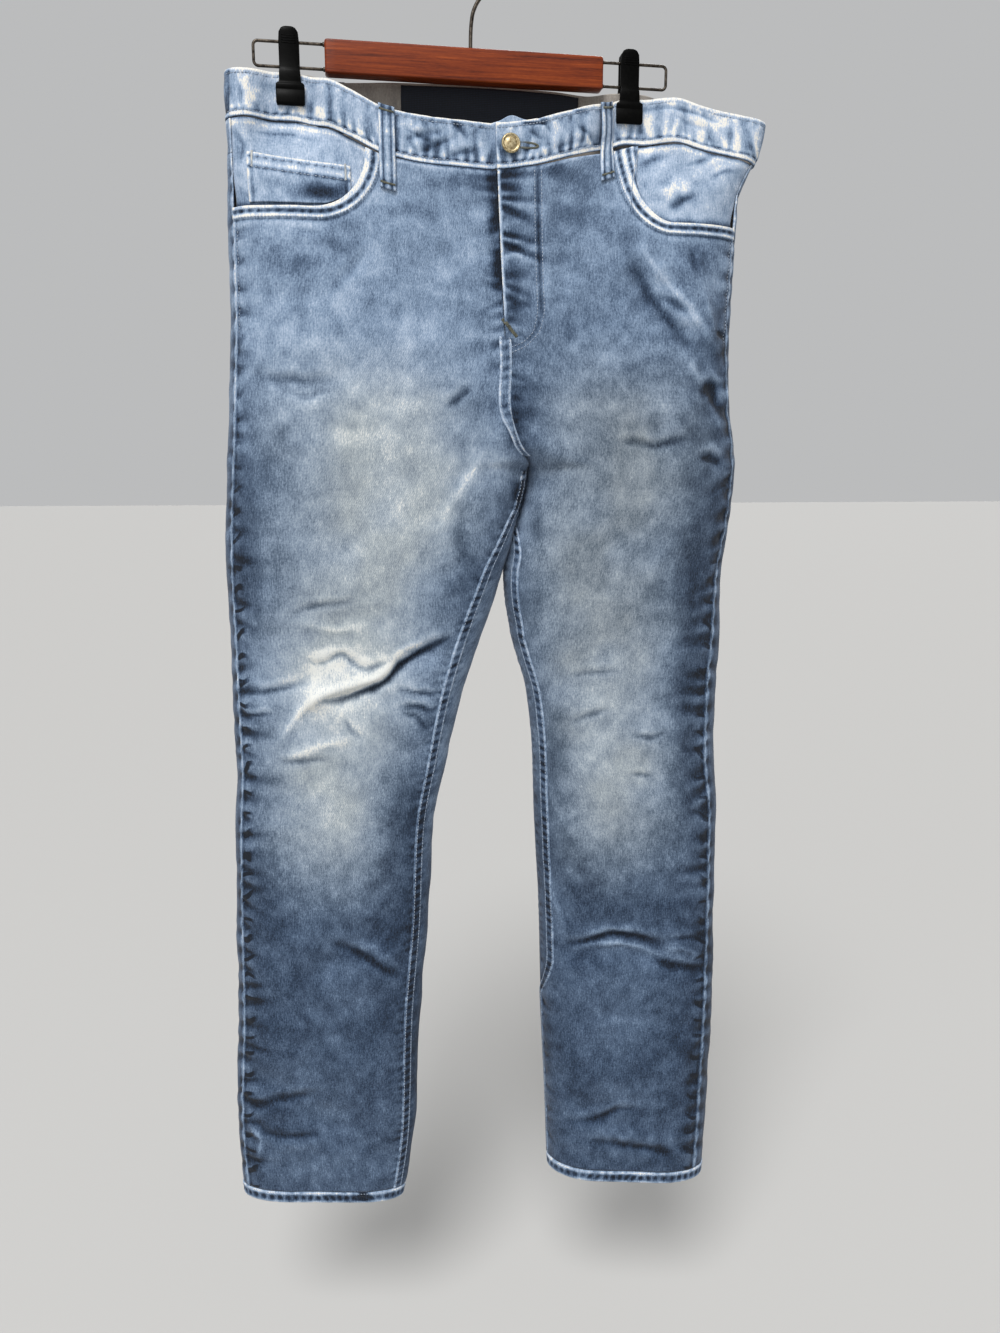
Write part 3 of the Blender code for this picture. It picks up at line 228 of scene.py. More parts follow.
# Lightness of the front's cloth before its creases, by height: 0 is unworn indigo, 1 is white.
FADE_COLUMNS = ("z", "outer", "middle", "inner")
RIGHT_FADE = (
    (-1.216, 0.28, 0.36, 0.34),
    (-1.15, 0.24, 0.34, 0.3),
    (-1.04, 0.2, 0.33, 0.25),
    (-0.95, 0.22, 0.34, 0.25),
    (-0.9, 0.24, 0.35, 0.25),
    (-0.85, 0.26, 0.5, 0.28),
    (-0.78, 0.3, 0.76, 0.3),
    (-0.71, 0.34, 0.74, 0.36),
    (-0.64, 0.38, 0.96, 0.44),
    (-0.58, 0.32, 0.74, 0.44),
    (-0.5, 0.3, 0.76, 0.42),
    (-0.42, 0.35, 0.78, 0.46),
    (-0.34, 0.46, 0.68, 0.52),
    (-0.26, 0.6, 0.58, 0.54),
    (-0.16, 0.66, 0.58, 0.54),
)
LEFT_FADE = (
    (-1.216, 0.22, 0.31, 0.24),
    (-1.08, 0.2, 0.31, 0.23),
    (-0.98, 0.21, 0.33, 0.24),
    (-0.91, 0.2, 0.34, 0.25),
    (-0.85, 0.21, 0.42, 0.27),
    (-0.79, 0.24, 0.62, 0.3),
    (-0.73, 0.26, 0.68, 0.34),
    (-0.66, 0.28, 0.64, 0.38),
    (-0.58, 0.26, 0.57, 0.42),
    (-0.5, 0.24, 0.54, 0.48),
    (-0.42, 0.26, 0.54, 0.44),
    (-0.34, 0.3, 0.54, 0.44),
    (-0.26, 0.48, 0.54, 0.5),
    (-0.16, 0.62, 0.56, 0.54),
)
BACK_FADE = (
    (-1.216, 0.26, 0.34, 0.26),
    (-1.08, 0.22, 0.28, 0.23),
    (-0.85, 0.26, 0.36, 0.36),
    (-0.68, 0.32, 0.48, 0.48),
    (-0.56, 0.32, 0.52, 0.5),
    (-0.43, 0.34, 0.62, 0.46),
    (-0.33, 0.42, 0.72, 0.46),
    (-0.24, 0.5, 0.64, 0.52),
    (-0.14, 0.56, 0.62, 0.56),
)

# Creases of the front, in millimetres: half width, depth (below 0 it is a ridge), how much it
# darkens, which side of it has a raised bank, and its path in x and z. The darkening is painted
# shade in the trough, and the bank and a ridge are lightened with painted light.
FRONT_CREASES = (
    (2.0, 0.9, 0.2, 1, ((60, -184), (60, -246), (62, -297), (61, -318), (52, -334), (36, -341))),
    (4.5, 1.8, 0.25, 1, ((-191, -366), (-175, -371), (-166, -369), (-150, -372), (-121, -371))),
    (3.6, 1.1, 0.16, -1, ((-174, -373), (-164, -381), (-148, -385), (-134, -378), (-121, -383))),
    (3.6, 1.9, 0.4, 1, ((-26, -392), (-15, -386), (-3, -375))),
    (5.4, -1.6, -0.22, 0, ((15, -420), (0, -448), (-22, -480), (-32, -498))),
    (8.1, 2.2, 0.22, -1, ((-10, -477), (-16, -510), (-9, -536))),
    (3.6, 1.4, 0.25, 1, ((-167, -577), (-146, -572), (-115, -569))),
    (4.5, -1.2, -0.19, 0, ((-174, -585), (-152, -590), (-128, -596), (-103, -591))),
    (3.1, 1.6, 0.37, 1, ((-161, -622), (-148, -630), (-132, -622), (-127, -615), (-117, -628),
                         (-104, -636), (-89, -628), (-77, -623))),
    (4.5, 4.3, 0.78, -1, ((-24, -606), (-44, -615), (-62, -625), (-76, -633), (-80, -643),
                          (-94, -652), (-109, -656), (-118, -659), (-127, -666), (-148, -662))),
    (4.5, -3.0, -0.31, 0, ((-82, -639), (-110, -646), (-134, -652), (-149, -659), (-160, -666),
                           (-170, -678), (-180, -692), (-186, -704))),
    (3.6, 1.6, 0.31, -1, ((-158, -644), (-180, -651), (-202, -655), (-221, -657))),
    (2.7, 1.5, 0.37, 1, ((-73, -653), (-57, -658), (-37, -661))),
    (2.7, 1.5, 0.4, 1, ((-71, -671), (-57, -671), (-39, -678))),
    (2.7, 1.2, 0.31, -1, ((-71, -677), (-57, -681), (-47, -695))),
    (2.7, 1.4, 0.34, 1, ((-222, -680), (-204, -677), (-191, -676))),
    (5.4, -1.6, -0.19, 0, ((-181, -718), (-161, -711), (-136, -705), (-116, -699))),
    (3.6, 1.5, 0.31, 1, ((-187, -723), (-167, -723), (-144, -721))),
    (3.1, 1.2, 0.25, 1, ((-126, -681), (-118, -695), (-108, -702))),
    (5.4, 2.7, 0.37, 1, ((-144, -914), (-126, -922), (-106, -933), (-94, -944), (-81, -950))),
    (5.4, 2.4, 0.22, 1, ((-248, -1111), (-213, -1094), (-164, -1085))),
    (4.5, 2.2, 0.23, -1, ((-232, -1117), (-218, -1134), (-192, -1135), (-163, -1132))),
    (3.6, -1.8, -0.28, 0, ((-241, -1120), (-224, -1139), (-229, -1164))),
    (4.5, 1.1, 0.11, 1, ((-91, -256), (-107, -275), (-126, -293))),
    (2.7, 0.7, 0.09, 1, ((-153, -243), (-133, -247))),
    (4.5, 1.9, 0.28, 1, ((136, -422), (154, -423), (172, -427), (192, -421), (211, -419))),
    (7.2, 4.1, 0.68, 1, ((216, -372), (232, -375), (237, -390))),
    (4.5, 3.0, 0.56, 1, ((219, -437), (232, -438), (243, -442))),
    (3.6, 1.2, 0.22, 1, ((97, -646), (119, -644), (142, -643))),
    (3.6, 1.4, 0.25, 1, ((98, -694), (114, -687), (135, -681))),
    (3.1, 1.4, 0.28, 1, ((157, -708), (178, -713), (190, -707))),
    (2.7, 1.2, 0.28, 1, ((160, -749), (179, -752))),
    (4.5, 3.2, 0.46, 1, ((101, -937), (118, -933), (137, -924), (158, -924), (195, -934))),
    (3.6, -2.2, -0.28, 0, ((103, -942), (124, -934), (148, -932), (172, -937), (202, -951))),
    (4.5, 3.0, 0.43, 1, ((189, -953), (208, -960), (225, -964), (241, -966))),
    (3.6, 1.6, 0.25, 1, ((202, -929), (225, -929), (242, -934))),
    (3.6, -1.6, -0.22, 0, ((197, -938), (219, -940), (238, -951))),
    (4.5, -1.4, -0.19, 0, ((81, -864), (87, -890), (93, -913), (97, -929))),
    (4.5, 2.0, 0.25, 1, ((106, -1146), (131, -1140), (154, -1128), (173, -1126))),
    (5.4, 2.4, 0.28, 1, ((124, -1164), (167, -1171), (204, -1176), (221, -1191))),
    (6.3, 3.5, 0.34, 1, ((150, -264), (163, -288), (180, -307), (193, -320), (210, -339))),
    (4.5, -2.4, -0.28, 0, ((154, -246), (168, -265), (186, -282), (203, -300), (233, -334))),
    (3.6, 1.8, 0.25, 1, ((174, -290), (189, -295), (204, -306))),
    (3.6, -1.1, -0.14, 0, ((169, -294), (187, -305), (204, -316))),
    (3.6, 1.5, 0.22, 1, ((204, -245), (205, -261), (210, -272))),
    (3.6, -1.4, -0.16, 0, ((217, -285), (222, -304), (232, -322))),
    (4.5, -1.8, -0.22, 0, ((186, -329), (210, -356), (230, -383), (245, -416))),
    (3.6, 2.4, 0.53, 1, ((233, -320), (252, -325))),
)
FACING_CREASES = (
    (6.0, 1.6, 0.46, 1, ((184, -211), (197, -204), (210, -197))),
    (5.0, 1.2, 0.36, 1, ((160, -170), (174, -165), (186, -163))),
    (3.0, 0.9, 0.3, 1, ((226, -182), (240, -176), (254, -176))),
    (3.0, 0.8, 0.26, -1, ((200, -172), (216, -168), (232, -160))),
    (3.0, 0.9, 0.3, 1, ((-205, -160), (-196, -172), (-200, -186))),
    (2.5, 0.7, 0.28, 1, ((-190, -160), (-160, -158), (-132, -164))),
)
BAND_CREASES = (
    (3.0, 1.2, 0.42, 1, ((-72, -132), (-60, -136), (-52, -146))),
    (2.6, 1.1, 0.38, -1, ((-37, -130), (-32, -140), (-34, -152))),
    (3.0, 1.2, 0.42, 1, ((-20, -146), (-12, -152), (-4, -162))),
    (2.6, 1.0, 0.38, 1, ((-57, -157), (-46, -162), (-36, -166))),
    (2.8, 1.1, 0.4, 1, ((66, -125), (88, -130), (114, -134))),
    (2.8, 1.1, 0.42, -1, ((96, -144), (108, -150), (118, -160))),
    (2.4, 0.9, 0.34, -1, ((56, -136), (64, -144), (74, -154))),
    (2.6, 0.8, 0.3, 1, ((160, -122), (184, -121), (210, -126), (236, -134))),
    (2.6, 0.8, 0.28, 1, ((-202, -118), (-196, -128), (-198, -140))),
    (2.6, 1.3, 0.5, 0, ((22, -133), (34, -128), (45, -132), (53, -139))),
    (1.7, 1.2, 0.8, 0, ((45, -147), (54, -147), (69, -146))),
    (2.4, 0.6, 0.36, 0, ((48, -143), (58, -141), (70, -143))),
    (2.4, 0.9, 0.34, 0, ((50, -152), (60, -158), (68, -160))),
    (2.4, 0.9, 0.3, 1, ((24, -152), (22, -162), (26, -174))),
    (2.7, 1.2, 0.25, 1, ((-52, -179), (-34, -170), (-14, -163))),
    (2.7, 1.1, 0.22, 1, ((-58, -166), (-42, -160), (-26, -158))),
    (2.7, 1.1, 0.22, 1, ((-28, -182), (-8, -174), (10, -171))),
    (2.7, 0.9, 0.19, -1, ((40, -174), (58, -166), (74, -163))),
    (2.7, 0.9, 0.19, 1, ((62, -176), (80, -165), (94, -158))),
    (2.7, 0.8, 0.16, 1, ((190, -128), (204, -136), (226, -142))),
    (2.7, 0.8, 0.12, 1, ((-196, -128), (-188, -138), (-176, -143))),
)
BACK_CREASES = (
    (5.4, 2.4, 0.34, 1, ((-196, -428), (-150, -446), (-96, -448), (-50, -434))),
    (4.5, 1.8, 0.25, 1, ((-170, -462), (-120, -474), (-64, -462))),
    (3.6, 1.2, 0.19, -1, ((-206, -404), (-184, -412), (-160, -412))),
    (4.5, 3.0, 0.4, 1, ((-214, -612), (-170, -630), (-112, -634), (-60, -618))),
    (4.5, 2.4, 0.37, -1, ((-206, -654), (-158, -646), (-118, -660), (-74, -652))),
    (3.6, 2.2, 0.34, 1, ((-216, -690), (-176, -684), (-128, -696), (-82, -684))),
    (3.6, 1.9, 0.31, 1, ((-196, -724), (-148, -722), (-104, -736))),
    (3.6, 1.4, 0.22, -1, ((-186, -588), (-140, -594), (-100, -586))),
    (4.5, 1.9, 0.25, 1, ((-226, -936), (-176, -948), (-122, -938))),
    (4.5, 2.2, 0.28, 1, ((-232, -1120), (-186, -1136), (-128, -1128))),
    (3.6, 1.5, 0.22, -1, ((-206, -1162), (-164, -1170), (-112, -1160))),
    (5.4, 2.4, 0.34, 1, ((96, -436), (146, -450), (196, -446), (240, -426))),
    (4.5, 1.6, 0.25, 1, ((112, -466), (168, -476), (214, -460))),
    (4.5, 2.8, 0.4, 1, ((72, -616), (122, -632), (186, -634), (238, -614))),
    (4.5, 2.4, 0.37, -1, ((86, -656), (136, -646), (180, -662), (228, -650))),
    (3.6, 2.2, 0.34, 1, ((90, -686), (142, -698), (192, -684), (236, -692))),
    (3.6, 1.8, 0.28, 1, ((104, -732), (158, -720), (212, -728))),
    (4.5, 2.2, 0.28, 1, ((92, -948), (146, -934), (206, -950), (246, -944))),
    (4.5, 2.0, 0.28, 1, ((100, -1126), (154, -1138), (220, -1122))),
    (3.6, 1.4, 0.22, -1, ((112, -1166), (160, -1158), (204, -1170))),
)

# Patches of painted shade and painted light on the front, with some unevenly washed spots among
# them: centre, half sizes and the change of tone.
PATCH_COLUMNS = ("x", "z", "half_x", "half_z", "tone")
SHADE_AND_WASH_PATCHES = (
    (-0.008, -0.553, 0.018, 0.03, -0.16),
    (-0.072, -0.795, 0.022, 0.045, -0.14),
    (-0.065, -0.905, 0.03, 0.03, -0.09),
    (-0.105, -1.02, 0.05, 0.026, -0.06),
    (-0.205, -0.86, 0.02, 0.06, -0.07),
    (-0.212, -0.56, 0.014, 0.07, -0.1),
    (-0.14, -0.62, 0.03, 0.012, 0.1),
    (-0.12, -0.7, 0.03, 0.02, 0.08),
    (-0.19, -0.225, 0.03, 0.012, 0.08),
    (0.083, -0.728, 0.014, 0.055, -0.13),
    (0.052, -0.6, 0.014, 0.035, -0.09),
    (0.212, -0.67, 0.012, 0.11, -0.16),
    (0.216, -0.5, 0.012, 0.08, -0.1),
    (0.11, -0.88, 0.03, 0.02, -0.07),
    (0.15, -0.89, 0.03, 0.018, -0.06),
    (0.04, -0.4, 0.012, 0.06, -0.1),
    (0.09, -0.21, 0.02, 0.04, -0.06),
    (-0.15, -0.276, 0.024, 0.01, -0.13),
    (-0.118, -0.256, 0.022, 0.009, -0.13),
    (-0.185, -0.335, 0.036, 0.022, 0.07),
    (-0.212, -0.3, 0.012, 0.04, -0.08),
    (0.078, -0.183, 0.022, 0.007, -0.26),
    (0.104, -0.196, 0.012, 0.01, -0.15),
    (0.002, -0.19, 0.026, 0.014, -0.2),
    (-0.045, -0.182, 0.03, 0.006, -0.15),
    (0.213, -0.257, 0.01, 0.016, -0.18),
    (0.15, -0.27, 0.012, 0.05, -0.1),
    (0.188, -0.3, 0.016, 0.009, -0.14),
    (0.228, -0.352, 0.01, 0.03, -0.1),
    (0.047, -0.47, 0.006, 0.012, -0.55),
    (0.048, -0.456, 0.005, 0.004, 0.34),
    (0.037, -0.405, 0.006, 0.025, -0.26),
    (0.052, -0.397, 0.012, 0.008, -0.18),
    (0.026, -0.438, 0.01, 0.01, 0.12),
    (0.062, -0.5, 0.006, 0.026, -0.2),
)

# Dark puckers beside the seams: first and last height, spacing, reach from the seam, half
# length, depth, how much they darken, and the seed that spreads them. The darkening is painted
# shade in the pits.
ROPING_COLUMNS = ("first", "last", "spacing", "reach", "half", "depth", "shade", "seed")
RIGHT_OUTSEAM_ROPING = (
    (-0.24, -0.47, 0.019, 0.013, 0.0026, 0.0014, 0.34, 3),
    (-0.47, -0.62, 0.0215, 0.015, 0.0025, 0.0018, 0.5, 4),
    (-0.62, -1.196, 0.0222, 0.016, 0.0025, 0.0024, 0.78, 5),
)
RIGHT_INSEAM_ROPING = (
    (-0.455, -1.196, 0.0083, 0.006, 0.0019, 0.001, 0.26, 6),
)
LEFT_OUTSEAM_ROPING = (
    (-0.24, -0.36, 0.017, 0.012, 0.003, 0.0015, 0.34, 7),
    (-0.36, -0.64, 0.0205, 0.021, 0.0052, 0.0032, 0.66, 8),
    (-0.64, -0.9, 0.019, 0.017, 0.004, 0.0026, 0.56, 9),
    (-0.9, -1.196, 0.02, 0.014, 0.0036, 0.002, 0.44, 10),
)
LEFT_INSEAM_ROPING = (
    (-0.455, -0.96, 0.0084, 0.008, 0.0019, 0.001, 0.26, 11),
    (-0.96, -1.196, 0.016, 0.01, 0.0026, 0.0014, 0.28, 12),
)
FLY_ROPING = (
    (-0.186, -0.272, 0.0098, 0.021, 0.003, 0.002, 0.8, 13),
    (-0.272, -0.33, 0.0094, 0.016, 0.0028, 0.0018, 0.42, 14),
    (-0.33, -0.44, 0.01, 0.009, 0.0024, 0.0011, 0.26, 15),
)
FLY_SIDE_ROPING = (
    (-0.18, -0.36, 0.0104, 0.014, 0.0028, 0.001, 0.42, 18),
)
BACK_ROPING = (
    (-0.23, -0.44, 0.011, 0.011, 0.0026, 0.0014, 0.34, 16),
)
BACK_SIDE_ROPING = (
    (-0.18, -1.196, 0.0205, 0.014, 0.0032, 0.002, 0.42, 17),
)

# Lightness of the waistband along its front.
BAND_TONE_COLUMNS = ("x", "tone")
BAND_TONE = (
    (-0.212, 0.84),
    (-0.12, 0.82),
    (-0.06, 0.69),
    (0.0, 0.63),
    (0.034, 0.67),
    (0.09, 0.73),
    (0.15, 0.88),
    (0.25, 0.88),
    (0.289, 0.66),
)


class Face(Enum):
    """The two sheets of cloth that make a leg."""

    FRONT = 1
    BACK = -1


def columns(names: tuple[str, ...], rows: tuple) -> dict[str, Array]:
    """The columns of a short table as arrays, by name."""
    return dict(zip(names, np.array(rows, dtype=float).T))


def monotone(knots: Array, values: Array, at: Array) -> Array:
    """Smooth curve through knots that never overshoots: cubic Hermite, harmonic mean slopes.

    Args:
        knots: rising places.
        values: the value at each knot.
        at: where it is wanted.

    Returns:
        The values there.
    """
    at = np.clip(at, knots[0], knots[-1])
    step = np.diff(knots)
    rise = np.diff(values) / step
    slope = np.zeros_like(values)
    left, right = rise[:-1], rise[1:]
    same = left * right > 0
    slope[1:-1][same] = 2 * left[same] * right[same] / (left[same] + right[same])
    slope[0], slope[-1] = rise[0], rise[-1]
    i = np.clip(np.searchsorted(knots, at) - 1, 0, len(step) - 1)
    h, t = step[i], (at - knots[i]) / step[i]
    return (
        values[i] * (1 + 2 * t) * (1 - t) ** 2
        + slope[i] * h * t * (1 - t) ** 2
        + values[i + 1] * t * t * (3 - 2 * t)
        + slope[i + 1] * h * t * t * (t - 1)
    )


def smoothstep(t: Array) -> Array:
    """0 below 0, 1 above 1, with soft ends: 3 t squared less 2 t cubed."""
    t = np.clip(t, 0.0, 1.0)
    return t * t * (3 - 2 * t)


def bell(t: Array) -> Array:
    """1 at 0, falling off softly: e to the minus t squared."""
    return np.exp(-(t * t))


def cloud(u: Array, v: Array, size: float, seed: int) -> Array:
    """Value noise: a lattice of random numbers, blended between its points by smoothstep.

    Args:
        u: first coordinate, in metres.
        v: second coordinate, in metres.
        size: side of a lattice cell.
        seed: chooses the lattice.

    Returns:
        Noise between -1 and 1.
    """
    lattice = np.random.default_rng(seed).uniform(-1, 1, (97, 89))
    gu, gv = u / size, v / size
    i, j = np.floor(gu).astype(int), np.floor(gv).astype(int)
    fu, fv = smoothstep(gu - i), smoothstep(gv - j)
    low = lattice[i % 97, j % 89] * (1 - fu) + lattice[(i + 1) % 97, j % 89] * fu
    high = lattice[i % 97, (j + 1) % 89] * (1 - fu) + lattice[(i + 1) % 97, (j + 1) % 89] * fu
    return low * (1 - fv) + high * fv


def soften(path: Array, count: int = 20) -> Array:
    """A polyline resampled evenly and rounded by two passes of a 1-2-1 average."""
    path = np.asarray(path, dtype=float)
    run = np.concatenate([[0.0], np.cumsum(np.hypot(*np.diff(path, axis=0).T))])
    at = np.linspace(0, run[-1], count)
    line = np.stack([np.interp(at, run, path[:, k]) for k in range(path.shape[1])], axis=1)
    for _ in range(2):
        line[1:-1] = (line[:-2] + 2 * line[1:-1] + line[2:]) / 4
    return line


def from_path(x: Array, z: Array, path: Array) -> tuple[Array, Array, float]:
    """Distance from a polyline, above 0 on its left side, and the run to the nearest place.

    Args:
        x: first coordinate of the places.
        z: second coordinate of the places.
        path: the polyline's points, one a row.

    Returns:
        Signed distance, run along the path, and the path's length.
    """
    best = np.full(x.shape, 1e9)
    side = np.zeros_like(x)
    run = np.zeros_like(x)
    start = 0.0
    for (x0, z0), (x1, z1) in zip(path[:-1], path[1:]):
        dx, dz = x1 - x0, z1 - z0
        length = max(math.hypot(dx, dz), 1e-9)
        t = np.clip(((x - x0) * dx + (z - z0) * dz) / length**2, 0, 1)
        gx, gz = x - (x0 + t * dx), z - (z0 + t * dz)
        away = np.hypot(gx, gz)
        near = away < best
        best = np.where(near, away, best)
        side = np.where(near, np.where(dx * gz - dz * gx < 0, -1.0, 1.0), side)
        run = np.where(near, start + t * length, run)
        start += length
    return best * side, run, start


@dataclass(frozen=True)
class Crease:
    """A soft trough or ridge along a path, with a pale bank beside a trough: painted shade in it, painted
    light on the bank.
    """

    width: float
    depth: float
    shade: float
    bank: int
    path: tuple

    def field(self, x: Array, z: Array) -> tuple[Array, Array]:
        """Height and tone: a bell across the path, faded to its ends by a root of a sine.

        Args:
            x: x of the places.
            z: z of the places.

        Returns:
            Height in metres and change of tone.
        """
        lift, tone = np.zeros_like(x), np.zeros_like(x)
        width = self.width * MM
        line = soften(np.array(self.path) * MM)
        low, high = line.min(axis=0) - 4 * width, line.max(axis=0) + 4 * width
        near = (x > low[0]) & (x < high[0]) & (z > low[1]) & (z < high[1])
        if not near.any():
            return lift, tone
        away, run, length = from_path(x[near], z[near], line)
        wander = 1 + 0.34 * cloud(x[near], z[near], 0.008, 71)
        away = away * wander
        taper = np.sin(np.pi * np.clip(run / length, 0.015, 0.985)) ** 0.55
        trough = bell(away / width) * taper
        narrow = bell(away / (0.72 * width)) * taper
        lit_bank = bell((away * self.bank - 1.9 * width) / (1.2 * width)) * taper * abs(self.bank)
        lift[near] = self.depth * MM * (0.42 * lit_bank - trough)
        # Painted shade darkens the trough and painted light brightens the raised bank; a ridge, with depth and
        # shade below 0, is painted lighter.
        tone[near] = self.shade * (0.42 * lit_bank - narrow)
        return lift, tone


@dataclass(frozen=True)
class Roping:
    """The row of slanting puckers that a shrunk seam leaves beside it."""

    first: float
    last: float
    spacing: float
    reach: float
    half: float
    depth: float
    shade: float
    seed: int

    def field(self, along: Array, away: Array) -> tuple[Array, Array]:
        """Height and tone: bells along the seam, with a steep start and a long fall across it.

        Args:
            along: place along the seam.
            away: distance from the seam, 0 on it.

        Returns:
            Height in metres and change of tone.
        """
        rng = np.random.default_rng(int(self.seed))
        lift, tone = np.zeros_like(along), np.zeros_like(along)
        count = max(int(abs(self.last - self.first) / self.spacing), 1)
        heading = math.copysign(self.spacing, self.last - self.first)
        middle = self.first + heading * (0.5 + np.arange(count) + rng.uniform(-0.24, 0.24, count))
        strength = rng.uniform(0.50, 1.0, count)
        reach = self.reach * rng.uniform(0.55, 1.35, count)
        half = self.half * rng.uniform(0.75, 1.45, count)
        slant = rng.uniform(-0.42, 0.30, count)
        for at, power, far, wide, lean in zip(middle, strength, reach, half, slant):
            near = (np.abs(along - at) < self.spacing + 3 * wide) & (away < 3 * far) & (away > 0)
            if not near.any():
                continue
            a, d = along[near], away[near]
            rise = smoothstep(d / 0.0016) * np.exp(-((d / far) ** 1.6))
            pit = bell(np.abs((a - at - lean * d) / (wide * (1 + 8 * d))) ** 1.4) * rise
            swell = bell((a - at - lean * d - heading / 2) / (1.5 * wide)) * rise
            lift[near] += self.depth * power * (0.45 * swell - pit)
            # Painted shade darkens each pit; the swell beside it is lightened a little, painted light with
            # some wear on its crown.
            tone[near] += self.shade * power * (0.38 * swell - pit)
        return np.maximum(lift, -self.depth), tone


def ropings(rows: tuple) -> list[Roping]:
    """The rows of a roping table as objects."""
    return [Roping(**dict(zip(ROPING_COLUMNS, row))) for row in rows]


def creases(rows: tuple) -> list[Crease]:
    """The rows of a crease table as objects."""
    return [Crease(*row) for row in rows]


def total_field(parts: list, u: Array, v: Array) -> tuple[Array, Array]:
    """The sum of the heights and tones of several creases or ropings."""
    lift, tone = np.zeros_like(u), np.zeros_like(u)
    for part in parts:
        more_lift, more_tone = part.field(u, v)
        lift = lift + more_lift
        tone = tone + more_tone
    return lift, tone


PINCH_TABLE = columns(PINCH_COLUMNS, PINCH)
BOW_TABLE = columns(BOW_COLUMNS, BOW)
FRONT_EDGE_TABLE = columns(EDGE_COLUMNS, FRONT_EDGE)
BACK_EDGE_TABLE = columns(EDGE_COLUMNS, BACK_EDGE)
BACK_FADE_TABLE = columns(FADE_COLUMNS, BACK_FADE)
BAND_TONE_TABLE = columns(BAND_TONE_COLUMNS, BAND_TONE)


def waist_edge(x: Array, front: bool) -> Array:
    """Height of the waistband's top edge."""
    table = FRONT_EDGE_TABLE if front else BACK_EDGE_TABLE
    return monotone(table["x"], table["z"], x)


def pinch(x: Array, z: Array) -> Array:
    """How far the clips hold the cloth together at this place, 0 to 1: a bell past the pads."""
    hold = monotone(PINCH_TABLE["z"], PINCH_TABLE["hold"], z)
    spread = monotone(PINCH_TABLE["z"], PINCH_TABLE["spread"], z)
    past = [np.clip(np.abs(x - clip) - PINCH_FLAT, 0, None) for clip in CLIP_X]
    return hold * np.clip(sum(bell(away / spread) for away in past), 0.0, 1.0)


def bow(x: Array, z: Array, front: bool) -> Array:
    """Extra depth between the clips: half a sine wave from one to the other."""
    size = monotone(BOW_TABLE["z"], BOW_TABLE["front" if front else "back"], z)
    along = np.clip((x - CLIP_X[0]) / (CLIP_X[1] - CLIP_X[0]), 0.0, 1.0)
    return size * np.sin(math.pi * along)


def folds(x: Array, z: Array) -> Array:
    """Height of the largest soft folds, each a bell round a straight run."""
    total = np.zeros_like(x)
    for row in FOLDS:
        fold = dict(zip(FOLD_COLUMNS, row))
        run = (fold["x1"] - fold["x0"], fold["z1"] - fold["z0"])
        length = math.hypot(*run)
        dx, dz = x - fold["x0"], z - fold["z0"]
        along = (dx * run[0] + dz * run[1]) / length**2
        across = (dx * run[1] - dz * run[0]) / length
        past = (along - np.clip(along, 0.15, 0.85)) * length
        total = total + fold["height"] * np.exp(-(across**2 + past**2) / fold["width"] ** 2)
    return total


